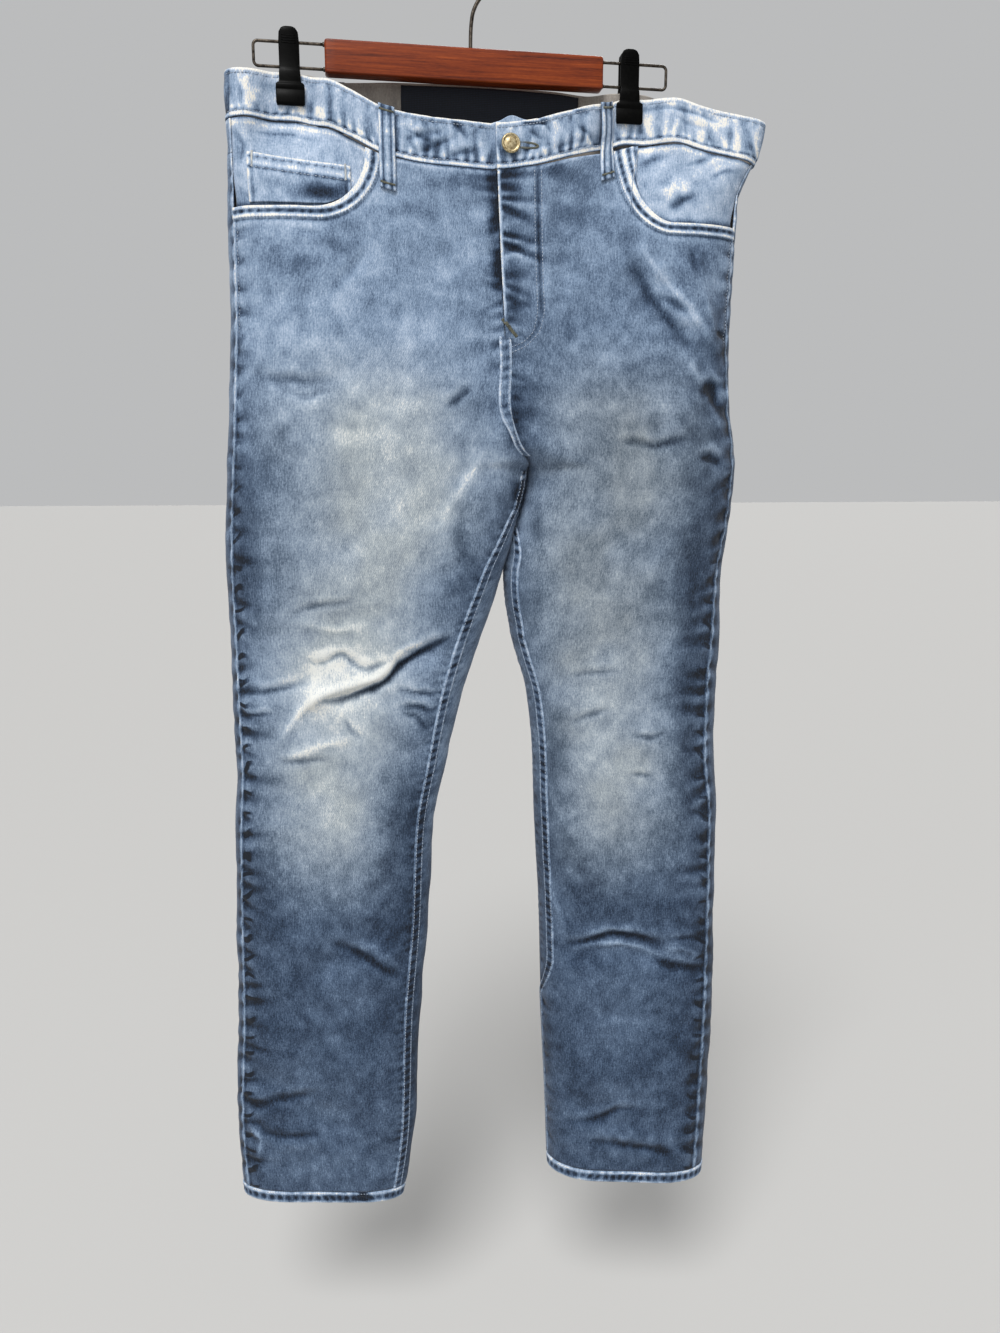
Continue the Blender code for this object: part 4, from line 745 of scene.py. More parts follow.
@dataclass
class Leg:
    """One half of the jeans: its form as in the CAD, and the creases and wear of its cloth.

    A place on it is q and z. q runs round the section: 0 is the outer side, 1 the inner front
    edge and -1 the inner back edge. Below the crotch 1 and -1 are the same place.
    """

    side: str
    sign: int
    sections: tuple
    hem: tuple[float, float]
    pocket_row: tuple
    fade_rows: tuple
    outseam_roping: tuple
    inseam_roping: tuple
    table: dict = field(init=False)
    pocket: dict = field(init=False)
    fade: dict = field(init=False)

    def __post_init__(self) -> None:
        """Reads the tables into columns."""
        self.table = columns(SECTION_COLUMNS, self.sections)
        self.pocket = dict(zip(POCKET_COLUMNS, self.pocket_row))
        self.fade = columns(FADE_COLUMNS, self.fade_rows)

    def value(self, name: str, z: Array) -> Array:
        """One column of the section table at this height."""
        return monotone(self.table["z"], self.table[name], z)

    def lengths(self, z: Array, front: Array) -> dict[str, Array]:
        """Parts of the section's length: an elliptic round, a straight run and a second round.

        Args:
            z: heights.
            front: whether each place is on the front.

        Returns:
            The edges, depths and arc lengths, by name.
        """
        x_out, x_in = self.value("x_out", z), self.value("x_in", z)
        depth = np.where(front, self.value("front", z), self.value("back", z))
        reach = np.where(front, FRONT_OPENING, BACK_OPENING)
        t = np.clip((CROTCH_Z + reach - z) / reach, 0.0, 1.0)
        close = 1 - np.sqrt(1 - t * t)
        round_out = self.value("round_out", z)
        round_in = self.value("round_in", z) * np.sqrt(close)
        straight = np.abs(x_in - x_out) - round_out - round_in
        arc_out = math.pi / 2 * np.sqrt((round_out**2 + depth**2) / 2)
        arc_in = math.pi / 2 * np.sqrt((round_in**2 + (depth * close) ** 2) / 2)
        total = arc_out + straight + arc_in
        return {
            "x_out": x_out, "x_in": x_in, "depth": depth, "close": close,
            "round_out": round_out, "round_in": round_in, "straight": straight,
            "q_out": arc_out / total, "q_in": arc_in / total, "total": total,
        }

    def base(self, q: Array, z: Array) -> Array:
        """Points of the smooth form: quarter ellipses at both edges and a flat run between."""
        q = np.where(q < -1, q + 2, np.where(q > 1, q - 2, q))
        front = q >= 0
        s = self.lengths(z, front)
        a = np.abs(q)
        turn_out = np.clip(a / s["q_out"], 0, 1) * math.pi / 2
        turn_in = np.clip((1 - a) / np.maximum(s["q_in"], 1e-9), 0, 1) * math.pi / 2
        run = np.clip((a - s["q_out"]) / (1 - s["q_out"] - s["q_in"]), 0, 1)
        inward = (
            s["round_out"] * (1 - np.cos(turn_out))
            + run * s["straight"]
            + s["round_in"] * np.cos(turn_in)
        )
        x = s["x_out"] - self.sign * inward
        fill = np.sin(turn_out) * ((1 - s["close"]) + s["close"] * np.sin(turn_in))
        slack = np.where(front, bow(x, z, True), bow(x, z, False))
        held = pinch(x, z)
        depth = (s["depth"] + slack) * fill * (1 - held) + PINCH_HALF * np.sin(turn_out) * held
        depth = depth + np.where(front, folds(x, z) * fill, 0.0)
        middle = (s["x_out"] + s["x_in"]) / 2
        hang = -self.value("lean", z) - self.value("turn", z) * (x - middle)
        return np.stack([x, hang + np.where(front, -depth, depth), z + 0 * q], axis=-1)

    def normal(self, q: Array, z: Array) -> Array:
        """Outward normals, from the cross product of central differences."""
        dq, dz = 0.004, 0.002
        open_here = z > CROTCH_Z + 1e-6
        low = np.where(open_here, np.maximum(q - dq, -1), q - dq)
        high = np.where(open_here, np.minimum(q + dq, 1), q + dq)
        along = self.base(high, z) - self.base(low, z)
        down = self.base(q, z - dz) - self.base(q, z + dz)
        normal = np.cross(along, down) * self.sign
        return normal / np.maximum(np.linalg.norm(normal, axis=-1, keepdims=True), 1e-12)

    def point(self, q: Array, z: Array, lift: Array | float = 0.0) -> Array:
        """Points moved out from the form by lift, along its normals."""
        q, z, lift = np.broadcast_arrays(*(np.asarray(v, dtype=float) for v in (q, z, lift)))
        return self.base(q, z) + self.normal(q, z) * lift[..., None]

    def q_inside(self, inset: Array, z: Array, outer: bool = True) -> Array:
        """q on the front at this distance in from the outer or the inner outline."""
        s = self.lengths(z, True)
        side = "out" if outer else "in"
        turn = np.arccos(np.clip(1 - inset / np.maximum(s["round_" + side], 1e-9), -1, 1))
        part = s["q_" + side] * turn / (math.pi / 2)
        return part if outer else 1 - part

    def q_at(self, x: Array, z: Array, front: bool = True) -> Array:
        """q of the place with this x, on the front or the back."""
        s = self.lengths(z, front)
        inset = np.clip((s["x_out"] - x) * self.sign, 0, None)
        rounded = np.arccos(np.clip(1 - inset / s["round_out"], -1, 1)) / (math.pi / 2)
        run = (inset - s["round_out"]) / s["straight"]
        q = np.where(
            inset < s["round_out"],
            s["q_out"] * rounded,
            s["q_out"] + run * (1 - s["q_out"] - s["q_in"]),
        )
        q = np.minimum(q, 1.0)
        return q if front else -q

    def outseam(self, z: Array) -> Array:
        """q of the outseam, which lies a little to the front."""
        return self.q_inside(self.value("seam_out", z), z)

    def inseam(self, z: Array) -> Array:
        """q of the centre front seam and, below the crotch, of the inseam."""
        return self.q_inside(self.value("seam_in", z), z, outer=False)

    def gap(self, z: Array, front: bool) -> Array:
        """Half a seam's gap, as a step of q."""
        return SEAM_GAP / 2 / self.lengths(z, front)["total"]

    def hem_z(self, x: Array) -> Array:
        """Height of the hem's lower edge."""
        x_out, x_in = self.value("x_out", -1.2), self.value("x_in", -1.2)
        share = np.clip((x - x_out) / (x_in - x_out), 0, 1)
        return self.hem[0] + share * (self.hem[1] - self.hem[0])

    def pocket_z(self, x: Array) -> Array:
        """Height of the pocket opening's edge: a level run, then a quarter ellipse upwards."""
        seam = waist_edge(x, True) - BAND_HEIGHT
        p = self.pocket
        t = (p["turn_x"] - x) / (p["turn_x"] - p["top_x"])
        curve = p["low_z"] + p["rise"] * (1 - np.sqrt(1 - np.clip(t, 0, 1) ** 2))
        return np.where(t < 1, np.minimum(curve, seam), seam)

    def pocket_path(self) -> Array:
        """The pocket opening's edge as a polyline in x and z, from the outer side up."""
        p = self.pocket
        side = self.value("x_out", p["low_z"])
        flat = np.linspace(side + self.sign * 0.01, p["turn_x"], 10)[:-1]
        turn = np.linspace(0, math.pi / 2, 16)
        x = p["turn_x"] + (p["top_x"] - p["turn_x"]) * np.sin(turn)
        z = p["low_z"] + p["rise"] * (1 - np.cos(turn))
        end = (p["top_x"], waist_edge(np.array(p["top_x"]), True) - BAND_HEIGHT + 0.004)
        level = np.stack([flat, np.full_like(flat, p["low_z"])], axis=1)
        return np.concatenate([level, np.stack([x, z], axis=1), [end]])

    def seam_distances(self, q: Array, z: Array, face: Face) -> tuple[Array, Array]:
        """Distance round the cloth from the outseam, and from the centre seam or inseam."""
        ahead = self.lengths(z, True)["total"]
        behind = self.lengths(z, False)["total"]
        out, inner = self.outseam(z), self.inseam(z)
        if face is Face.FRONT:
            return (q - out) * ahead, (inner - q) * ahead
        from_out = np.where(q >= 0, (out - q) * ahead, out * ahead - q * behind)
        wrapped = np.where(z <= CROTCH_Z, (1 - inner) * ahead, 0.0)
        return from_out, (1 - np.abs(q)) * behind + wrapped

    def fly_lift(self, x: Array, z: Array) -> Array:
        """Extra height of the left front over the fly's layers, as in the CAD."""
        if self.sign < 0:
            return np.zeros_like(x)
        inset = np.clip(x - self.value("x_in", z), 0, None)
        beside = 1 - smoothstep((inset - FLY_WIDTH - 0.004) / FLY_RAMP)
        above = smoothstep((z - FLY_END_Z + 0.004 + FLY_RAMP) / FLY_RAMP)
        return FLY_RAISE * beside * above

    def wear(self, q: Array, z: Array, face: Face) -> Array:
        """Tone before creases: an edge value and a wide bell across the panel's middle."""
        out, into = self.seam_distances(q, z, face)
        share = np.clip(out / np.maximum(out + into, 1e-6), 0, 1)
        fade = self.fade if face is Face.FRONT else BACK_FADE_TABLE
        edge = monotone(fade["z"], fade["outer"], z)
        inner = monotone(fade["z"], fade["inner"], z)
        middle = monotone(fade["z"], fade["middle"], z)
        side = edge + (inner - edge) * smoothstep(share)
        centre = np.sin(math.pi * np.clip(share, 0, 1)) ** 1.5
        return side + (middle - side) * centre

    def worn(self, q: Array, z: Array, face: Face) -> Array:
        """How grey the wear is, 0 to 1: a wide bell down the middle of the thigh and knee."""
        out, into = self.seam_distances(q, z, face)
        share = np.clip(out / np.maximum(out + into, 1e-6), 0, 1)
        span = smoothstep((-0.31 - z) / 0.12) * smoothstep((z + 0.92) / 0.14)
        ragged = 1 + 0.3 * cloud(out, z, 0.035, 33)
        strength = 0.95 if face is Face.FRONT else 0.45
        return np.clip(strength * span * ragged * np.sin(math.pi * share) ** 1.4, 0, 1)

    def relief(self, q: Array, z: Array, face: Face) -> tuple[Array, Array]:
        """Height and tone of the cloth at a place: wear, creases, roping and low waves, with painted shade and
        painted light in the tone.

        Args:
            q: place round the section.
            z: height.
            face: which sheet it is on.

        Returns:
            Height over the form in metres, and tone from 0, dark, to 1, white.
        """
        x = self.base(q, z)[..., 0]
        out, into = self.seam_distances(q, z, face)
        tone = self.wear(q, z, face)
        front = face is Face.FRONT
        lift, change = total_field(creases(FRONT_CREASES if front else BACK_CREASES), x, z)
        tone = tone + change
        side_rows = self.outseam_roping if front else BACK_SIDE_ROPING
        more_lift, change = total_field(ropings(side_rows), z, out)
        lift, tone = lift + more_lift, tone + change
        ragged = cloud(z, x, 0.004, 31)
        tone = tone + (0.37 + 0.17 * ragged) * bell((out - 0.0008) / 0.0015)
        tone = tone - 0.12 * bell((out - 0.0048) / 0.0018)
        lift = lift + 0.0007 * bell((out - 0.0012) / 0.0018)
        leg = z < CROTCH_Z
        more_lift, change = total_field(ropings(self.inseam_roping), z, into - 0.0045)
        lift, tone = lift + np.where(leg, more_lift, 0), tone + np.where(leg, change, 0)
        if not front:
            more_lift, change = total_field(ropings(BACK_ROPING), z, into - 0.0045)
            lift, tone = lift + np.where(leg, 0, more_lift), tone + np.where(leg, 0, change)
        elif self.sign > 0:
            more_lift, change = total_field(ropings(FLY_ROPING), z, into - 0.0022)
            lift, tone = lift + np.where(leg, 0, more_lift), tone + np.where(leg, 0, change)
            fly = smoothstep((z - FLY_END_Z) / 0.008)
            tone = tone + fly * (0.52 + 0.14 * ragged) * bell((into - 0.0007) / 0.0013)
            tone = tone - fly * 0.16 * bell((into - 0.0105) / 0.0075)
            # The J stitch's groove, with painted shade along it.
            lift = lift - fly * 0.0005 * bell((into - FLY_WIDTH) / 0.0022)
            tone = tone - fly * 0.16 * bell((into - FLY_WIDTH) / 0.0016)
            lift = lift + self.fly_lift(x, z)
        else:
            # Painted shadow on the right front along the fly's edge, which stands over it.
            fly_shadow = smoothstep((z - FLY_END_Z) / 0.05) * (0.72 + 0.40 * cloud(z, x, 0.011, 32))
            tone = tone - 0.72 * fly_shadow * bell(into / 0.0078)
            more_lift, change = total_field(ropings(FLY_SIDE_ROPING), z, into)
            lift, tone = lift + np.where(leg, 0, more_lift), tone + np.where(leg, 0, change)
        if front:
            # Painted shade and painted light, and some uneven wash, from the patch table.
            for row in SHADE_AND_WASH_PATCHES:
                patch = dict(zip(PATCH_COLUMNS, row))
                across = bell((x - patch["x"]) / patch["half_x"])
                tone = tone + patch["tone"] * across * bell((z - patch["z"]) / patch["half_z"])
            more_lift, change = self.pocket_welt(x, z)
            lift, tone = lift + more_lift, tone + change
        # The thighs press together just below the crotch.
        inmost = (1 - np.abs(q)) * self.lengths(z, front)["total"]
        lift = lift + 0.0016 * bell((z + 0.512) / 0.030) * bell(inmost / 0.016)
        edge = smoothstep(out / 0.012) * smoothstep(into / 0.012)
        wave = 0.0009 * cloud(x, z, 0.034, 21) + 0.00045 * cloud(x, z, 0.013, 22)
        lift = lift + wave * edge
        tone = tone + 0.066 * cloud(x, z, 0.030, 23) + 0.055 * cloud(x, z, 0.010, 24)
        # Painted light and shade of fine horizontal crinkles on the hips.
        hips = smoothstep((z + 0.50) / 0.12)
        tone = tone + 0.060 * hips * cloud(0.45 * x, 1.5 * z, 0.013, 25)
        # Painted shade in a thin line just under the waistband's seam, and a worn pale line 3 mm below it.
        seam = waist_edge(x, front) - BAND_HEIGHT - z
        tone = tone - 0.30 * bell(seam / 0.0012) + (0.24 + 0.1 * ragged) * bell((seam - 0.0030) / 0.0016)
        return lift, np.clip(tone, 0.02, 1.0)

    def pocket_welt(self, x: Array, z: Array) -> tuple[Array, Array]:
        """Height and tone of the pocket opening's folded and twice stitched edge.

        A plateau 9 mm wide, with grooves at both stitch lines broken into dashes.
        """
        lift, tone = np.zeros_like(x), np.zeros_like(x)
        near = z > -0.262
        if not near.any():
            return lift, tone
        away, run, _ = from_path(x[near], z[near], self.pocket_path())
        away = np.abs(away)
        beat = 0.5 + 0.5 * np.sin(2 * math.pi * (run / 0.0076 + 0.35 * cloud(run, away, 0.02, 41)))
        ragged = 0.5 + 0.5 * cloud(run, away * 0, 0.006, 42)
        lift[near] = (
            0.0010 * (1 - smoothstep((away - 0.0096) / 0.0018))
            - 0.0008 * bell((away - 0.0050) / 0.0014) * (0.3 + 0.7 * beat)
            - 0.0004 * bell((away - 0.0116) / 0.0012)
        )
        # Pale worn edges; the grooves at the stitch lines and beyond the plateau get painted shade, in dashes.
        tone[near] = (
            (0.50 + 0.16 * ragged) * bell((away - 0.0010) / 0.0015)
            - 0.62 * bell((away - 0.0048) / 0.0015) * (0.25 + 0.75 * beat)
            + (0.42 + 0.14 * ragged) * bell((away - 0.0086) / 0.0014)
            - 0.30 * bell((away - 0.0116) / 0.0011) * (0.5 + 0.5 * beat)
            + 0.06 * bell((away - 0.0155) / 0.0020)
        )
        return lift, tone

    def skin(self, q: Array, z: Array, extra: Array | float, face: Face) -> tuple[Array, Array]:
        """Points at extra above the creased cloth, and the tone there."""
        q, z = np.broadcast_arrays(np.asarray(q, dtype=float), np.asarray(z, dtype=float))
        lift, tone = self.relief(q, z, face)
        return self.point(q, z, lift + extra), tone


RIGHT = Leg("right", -1, RIGHT_SECTIONS, RIGHT_HEM, RIGHT_POCKET, RIGHT_FADE,
            RIGHT_OUTSEAM_ROPING, RIGHT_INSEAM_ROPING)
LEFT = Leg("left", 1, LEFT_SECTIONS, LEFT_HEM, LEFT_POCKET, LEFT_FADE,
           LEFT_OUTSEAM_ROPING, LEFT_INSEAM_ROPING)


def on_face(x: Array, z: Array, lift: Array | float, front: bool) -> Array:
    """Points at x and z of either half, on the front or the back of the smooth form."""
    x, z, lift = np.broadcast_arrays(*(np.asarray(v, dtype=float) for v in (x, z, lift)))
    right = RIGHT.point(RIGHT.q_at(x, z, front), z, lift)
    left = LEFT.point(LEFT.q_at(x, z, front), z, lift)
    return np.where((x < RIGHT.value("x_in", z))[..., None], right, left)


def skin_face(x: Array, z: Array, extra: Array | float, front: bool) -> tuple[Array, Array]:
    """Points at x and z on the creased cloth of either half, and the tone there."""
    x, z, extra = np.broadcast_arrays(*(np.asarray(v, dtype=float) for v in (x, z, extra)))
    face = Face.FRONT if front else Face.BACK
    right, right_tone = RIGHT.skin(RIGHT.q_at(x, z, front), z, extra, face)
    left, left_tone = LEFT.skin(LEFT.q_at(x, z, front), z, extra, face)
    here = x < RIGHT.value("x_in", z)
    return np.where(here[..., None], right, left), np.where(here, right_tone, left_tone)


def grid_faces(rows: int, cols: int, start: int = 0, ring: bool = False) -> Array:
    """Quads of a grid of vertices numbered row by row from start."""
    steps = cols if ring else cols - 1
    i, j = np.meshgrid(np.arange(rows - 1), np.arange(steps), indexing="ij")
    k = (j + 1) % cols
    quads = np.stack([i * cols + j, i * cols + k, (i + 1) * cols + k, (i + 1) * cols + j], -1)
    return quads.reshape(-1, 4) + start


def signed_volume(points: Array, faces: list[Array]) -> float:
    """Volume inside closed faces, below 0 where they point inwards: a sum of tetrahedra."""
    points = points - points.mean(axis=0)
    total = 0.0
    for block in faces:
        for k in range(1, block.shape[1] - 1):
            a, b, c = points[block[:, 0]], points[block[:, k]], points[block[:, k + 1]]
            total += float(np.einsum("ij,ij->", a, np.cross(b, c))) / 6
    return total


def linear(code: str) -> tuple[float, float, float, float]:
    """An sRGB hex colour as linear light."""
    parts = [int(code[k:k + 2], 16) / 255 for k in (1, 3, 5)]
    return (*(p / 12.92 if p <= 0.04045 else ((p + 0.055) / 1.055) ** 2.4 for p in parts), 1.0)


def feed(tree: bpy.types.NodeTree, node: bpy.types.Node, inputs: dict[str | int, object]) -> None:
    """Sets a node's input sockets, or links them from another node's factor or first output."""
    for name, source in inputs.items():
        if isinstance(source, bpy.types.Node):
            source = source.outputs.get("Fac") or source.outputs[0]
        if isinstance(source, bpy.types.NodeSocket):
            tree.links.new(source, node.inputs[name])
        else:
            node.inputs[name].default_value = source


def add_node(
    tree: bpy.types.NodeTree,
    kind: str,
    inputs: dict[str | int, object] | None = None,
    stops: tuple = (),
    **settings: object,
) -> bpy.types.Node:
    """Adds a shader node.

    Args:
        tree: the material's tree.
        kind: the node's type, without the ShaderNode before it.
        inputs: a value, node or output socket for each of its input sockets.
        stops: a colour ramp's places and hex colours.
        **settings: the node's own properties.

    Returns:
        The node.
    """
    node = tree.nodes.new("ShaderNode" + kind)
    for name, value in settings.items():
        setattr(node, name, value)
    feed(tree, node, inputs or {})
    while 2 <= len(stops) != len(node.color_ramp.elements):
        node.color_ramp.elements.new(0.5)
    for k, (place, code) in enumerate(stops):
        node.color_ramp.elements[k].position = place
        node.color_ramp.elements[k].color = linear(code)
    return node


@dataclass(frozen=True)
class Finish:
    """What the finishes share: a name, and a shader whose sockets are set or linked."""

    name: str

    def material(self) -> bpy.types.Material:
        """Builds the material round the sockets that dress gives."""
        made = bpy.data.materials.new(self.name)
        made.use_nodes = True
        tree = made.node_tree
        feed(tree, tree.nodes["Principled BSDF"], self.dress(tree))
        return made


@dataclass(frozen=True)
class Denim(Finish):
    """Cotton twill, indigo warp over white weft, stonewashed and abraded.

    Mottled blue that turns greyish white where the warp is worn away, matt, a faint fuzz.
    """

    stops: tuple = (
        (0.00, "#0E1622"), (0.20, "#2A3A50"), (0.40, "#4F6179"), (0.60, "#7D91AA"),
        (0.75, "#9CADC3"), (0.88, "#B5C3D6"), (1.00, "#EAE6DD"),
    )
    outseam_pit_shade: float = 0.0
    worn_stops: tuple = (
        (0.00, "#151B24"), (0.20, "#343E4B"), (0.40, "#5D6975"), (0.60, "#858F99"),
        (0.80, "#A7B0B5"), (1.00, "#DADCD9"),
    )
    grain: float = 1.0

    def dress(self, tree: bpy.types.NodeTree) -> dict[str, object]:
        """The tone attribute plus slubs and speckle drives a colour ramp, and ribs the bump."""
        total = add_node(tree, "Attribute", attribute_name="tone")
        worn = add_node(tree, "Attribute", attribute_name="worn")
        place = add_node(tree, "TexCoord").outputs["UV"]
        # Yarn slubs 0.9 mm across and about 7 mm long, the warp of a ring-spun denim; a speckle
        # of worn yarn crowns, 1.6 mm, coarser than the 0.6 mm yarns to show; 12 mm wash clouds.
        textures = []
        for scale, detail, rough, size in (
            ((1100.0, 140.0, 1.0), 3.0, 0.6, 0.42),
            ((620.0, 480.0, 1.0), 2.0, 0.7, 0.38),
            ((90.0, 60.0, 1.0), 3.0, 0.55, 0.30),
        ):
            scaled = add_node(tree, "Mapping", {"Scale": scale, "Vector": place})
            noise = {"Scale": 1.0, "Detail": detail, "Roughness": rough, "Vector": scaled}
            textures.append(add_node(tree, "TexNoise", noise, noise_dimensions="2D"))
            centred = add_node(tree, "Math", {0: textures[-1], 1: 0.5}, operation="SUBTRACT")
            share = {0: centred, 1: size * self.grain, 2: total}
            total = add_node(tree, "Math", share, operation="MULTIPLY_ADD")
        # Painted shade in the outseam's pucker pits, as crisp dashes.
        if self.outseam_pit_shade:
            total = self.dashes(tree, place, total)
        # Indigo loses its blue where the warp is rubbed through, and the weft's grey shows.
        ramps = [add_node(tree, "ValToRGB", {"Fac": total}, s) for s in (self.stops, self.worn_stops)]
        mixed = {"Factor": worn, "A": ramps[0], "B": ramps[1]}
        blend = add_node(tree, "Mix", mixed, data_type="RGBA")
        # Twill: diagonal ribs 1.8 mm apart, twice their real pitch so that they show.
        turned = add_node(tree, "Mapping", {"Rotation": (0.0, 0.0, math.radians(27)), "Vector": place})
        rib = add_node(
            tree, "TexWave", {"Scale": 176.0, "Distortion": 0.9, "Detail": 1.0, "Vector": turned}
        )
        height = add_node(tree, "Math", {0: rib, 1: 0.5, 2: textures[0]}, operation="MULTIPLY_ADD")
        bump = add_node(tree, "Bump", {"Strength": 0.55, "Distance": 0.0004, "Height": height})
        return {
            "Base Color": blend.outputs["Result"], "Normal": bump, "Roughness": 0.88,
            "Sheen Weight": 0.12, "Sheen Roughness": 0.45, "Specular IOR Level": 0.25,
        }

    def dashes(
        self, tree: bpy.types.NodeTree, place: bpy.types.NodeSocket, tone: bpy.types.Node
    ) -> bpy.types.Node:
        """Darkens the tone in crisp short dashes beside the outseam, 22 mm apart down it: painted shade in the
        pits of its puckers.

        Args:
            tree: the material's tree.
            place: flat coordinates: distance from the outseam, and height.
            tone: the tone so far.

        Returns:
            The darkened tone.
        """
        parts = add_node(tree, "SeparateXYZ", {"Vector": place})
        away, down = parts.outputs["X"], parts.outputs["Y"]
        wander = add_node(
            tree, "TexNoise", {"Scale": 34.0, "Detail": 1.0, "Vector": place}, noise_dimensions="2D"
        )
        # Phase: one turn each 22.2 mm of height, pushed about by noise and slanted by 0.3.
        slanted = add_node(tree, "Math", {0: away, 1: -0.30, 2: down}, operation="MULTIPLY_ADD")
        pushed = add_node(tree, "Math", {0: wander, 1: 0.020, 2: slanted}, operation="MULTIPLY_ADD")
        turns = add_node(tree, "Math", {0: pushed, 1: 2 * math.pi / 0.0222}, operation="MULTIPLY")
        mask = add_node(tree, "Math", {0: turns}, operation="SINE")
        for k, (source, start, end, low, high) in enumerate((
            (mask, 0.66, 0.93, 0.0, 1.0),
            (away, 0.0024, 0.0040, 0.0, 1.0),
            (away, 0.0085, 0.0190, 1.0, 0.0),
            (down, -0.40, -0.62, 0.25, 1.0),
        )):
            span = {"Value": source, "From Min": start, "From Max": end, "To Min": low, "To Max": high}
            part = add_node(tree, "MapRange", span, interpolation_type="SMOOTHSTEP")
            mask = add_node(tree, "Math", {0: mask, 1: part}, operation="MULTIPLY") if k else part
        darker = {0: mask, 1: -self.outseam_pit_shade, 2: tone}
        return add_node(tree, "Math", darker, operation="MULTIPLY_ADD")


@dataclass(frozen=True)
class CottonThread(Finish):
    """Spun polyester-cotton sewing thread, faded: matt, pale grey blue."""

    pale: str
    dark: str

    def dress(self, tree: bpy.types.NodeTree) -> dict[str, object]:
        """Two tints blended by fine noise along the yarn."""
        place = add_node(tree, "TexCoord").outputs["Object"]
        fleck = add_node(tree, "TexNoise", {"Scale": 260.0, "Detail": 2.0, "Vector": place})
        colour = add_node(tree, "ValToRGB", {"Fac": fleck}, ((0.35, self.dark), (0.65, self.pale)))
        return {"Base Color": colour, "Roughness": 0.8, "Sheen Weight": 0.2}


@dataclass(frozen=True)
class WovenTape(Finish):
    """Plain-woven cotton tape, dyed navy: matt, an even small basket of yarns."""

    dark: str
    light: str

    def dress(self, tree: bpy.types.NodeTree) -> dict[str, object]:
        """Two crossed waves of yarns 1.4 mm apart, coarser than real."""
        yarns = {"Scale": 220.0, "Distortion": 0.4, "Vector": add_node(tree, "TexCoord").outputs["UV"]}
        across, down = (add_node(tree, "TexWave", yarns, bands_direction=way) for way in "XY")
        both = add_node(tree, "Math", {0: across, 1: down}, operation="MULTIPLY")
        colour = add_node(tree, "ValToRGB", {"Fac": both}, ((0.1, self.dark), (0.9, self.light)))
        bump = add_node(tree, "Bump", {"Strength": 0.4, "Distance": 0.0003, "Height": both})
        return {"Base Color": colour, "Normal": bump, "Roughness": 0.85}


@dataclass(frozen=True)
class StainedWood(Finish):
    """Beech, stained red-brown and lacquered: dark streaks along the bar, a satin gloss."""

    def dress(self, tree: bpy.types.NodeTree) -> dict[str, object]:
        """Noise drawn out along X: grain streaks 2 by 60 mm, and beech's pores 0.4 by 4 mm."""
        place = add_node(tree, "TexCoord").outputs["Object"]
        long_place = add_node(tree, "Mapping", {"Scale": (16.0, 500.0, 500.0), "Vector": place})
        streaks = {"Scale": 1.0, "Detail": 4.0, "Roughness": 0.6, "Vector": long_place}
        grain = add_node(tree, "TexNoise", streaks)
        pore_place = add_node(tree, "Mapping", {"Scale": (230.0, 1800.0, 1800.0), "Vector": place})
        pore = add_node(tree, "TexNoise", {"Scale": 1.0, "Detail": 1.0, "Vector": pore_place})
        mixed = add_node(tree, "Math", {0: pore, 1: 0.22, 2: grain}, operation="MULTIPLY_ADD")
        tints = ((0.38, "#401405"), (0.56, "#6E2A0D"), (0.70, "#803510"), (0.85, "#964519"))
        return {
            "Base Color": add_node(tree, "ValToRGB", {"Fac": mixed}, tints),
            "Normal": add_node(tree, "Bump", {"Strength": 0.25, "Distance": 0.0003, "Height": mixed}),
            "Roughness": 0.42, "Specular IOR Level": 0.22, "Coat Weight": 0.10, "Coat Roughness": 0.2,
        }


@dataclass(frozen=True)
class Metal(Finish):
    """A plated or solid metal, dulled by handling: broad highlights and a mottled tarnish."""

    dark: str
    light: str
    roughness: float
    grit: float

    def dress(self, tree: bpy.types.NodeTree) -> dict[str, object]:
        """A tarnish cloud over the metal's two tints."""
        place = add_node(tree, "TexCoord").outputs["Object"]
        noise = {"Scale": self.grit, "Detail": 4.0, "Roughness": 0.6, "Vector": place}
        tarnish = add_node(tree, "TexNoise", noise)
        colour = add_node(tree, "ValToRGB", {"Fac": tarnish}, ((0.32, self.dark), (0.62, self.light)))
        bump = add_node(tree, "Bump", {"Strength": 0.3, "Distance": 0.0002, "Height": tarnish})
        return {"Base Color": colour, "Normal": bump, "Metallic": 1.0, "Roughness": self.roughness}


@dataclass(frozen=True)
class MouldedPlastic(Finish):
    """Injection-moulded black polystyrene: near black, a soft gloss, faint handling dust."""

    def dress(self, tree: bpy.types.NodeTree) -> dict[str, object]:
        """Black with a fine mould texture in the gloss."""
        place = add_node(tree, "TexCoord").outputs["Object"]
        dust = add_node(tree, "TexNoise", {"Scale": 420.0, "Detail": 3.0, "Vector": place})
        colour = add_node(tree, "ValToRGB", {"Fac": dust}, ((0.4, "#030303"), (0.8, "#070706")))
        rough = add_node(tree, "Math", {0: dust, 1: 0.25, 2: 0.24}, operation="MULTIPLY_ADD")
        return {"Base Color": colour, "Roughness": rough, "Specular IOR Level": 0.05}


@dataclass(frozen=True)
class PlainPaint(Finish):
    """Matt floor paint."""

    colour: str

    def dress(self, _: bpy.types.NodeTree) -> dict[str, object]:
        """One even colour."""
        return {"Base Color": linear(self.colour), "Roughness": 0.9, "Specular IOR Level": 0.1}


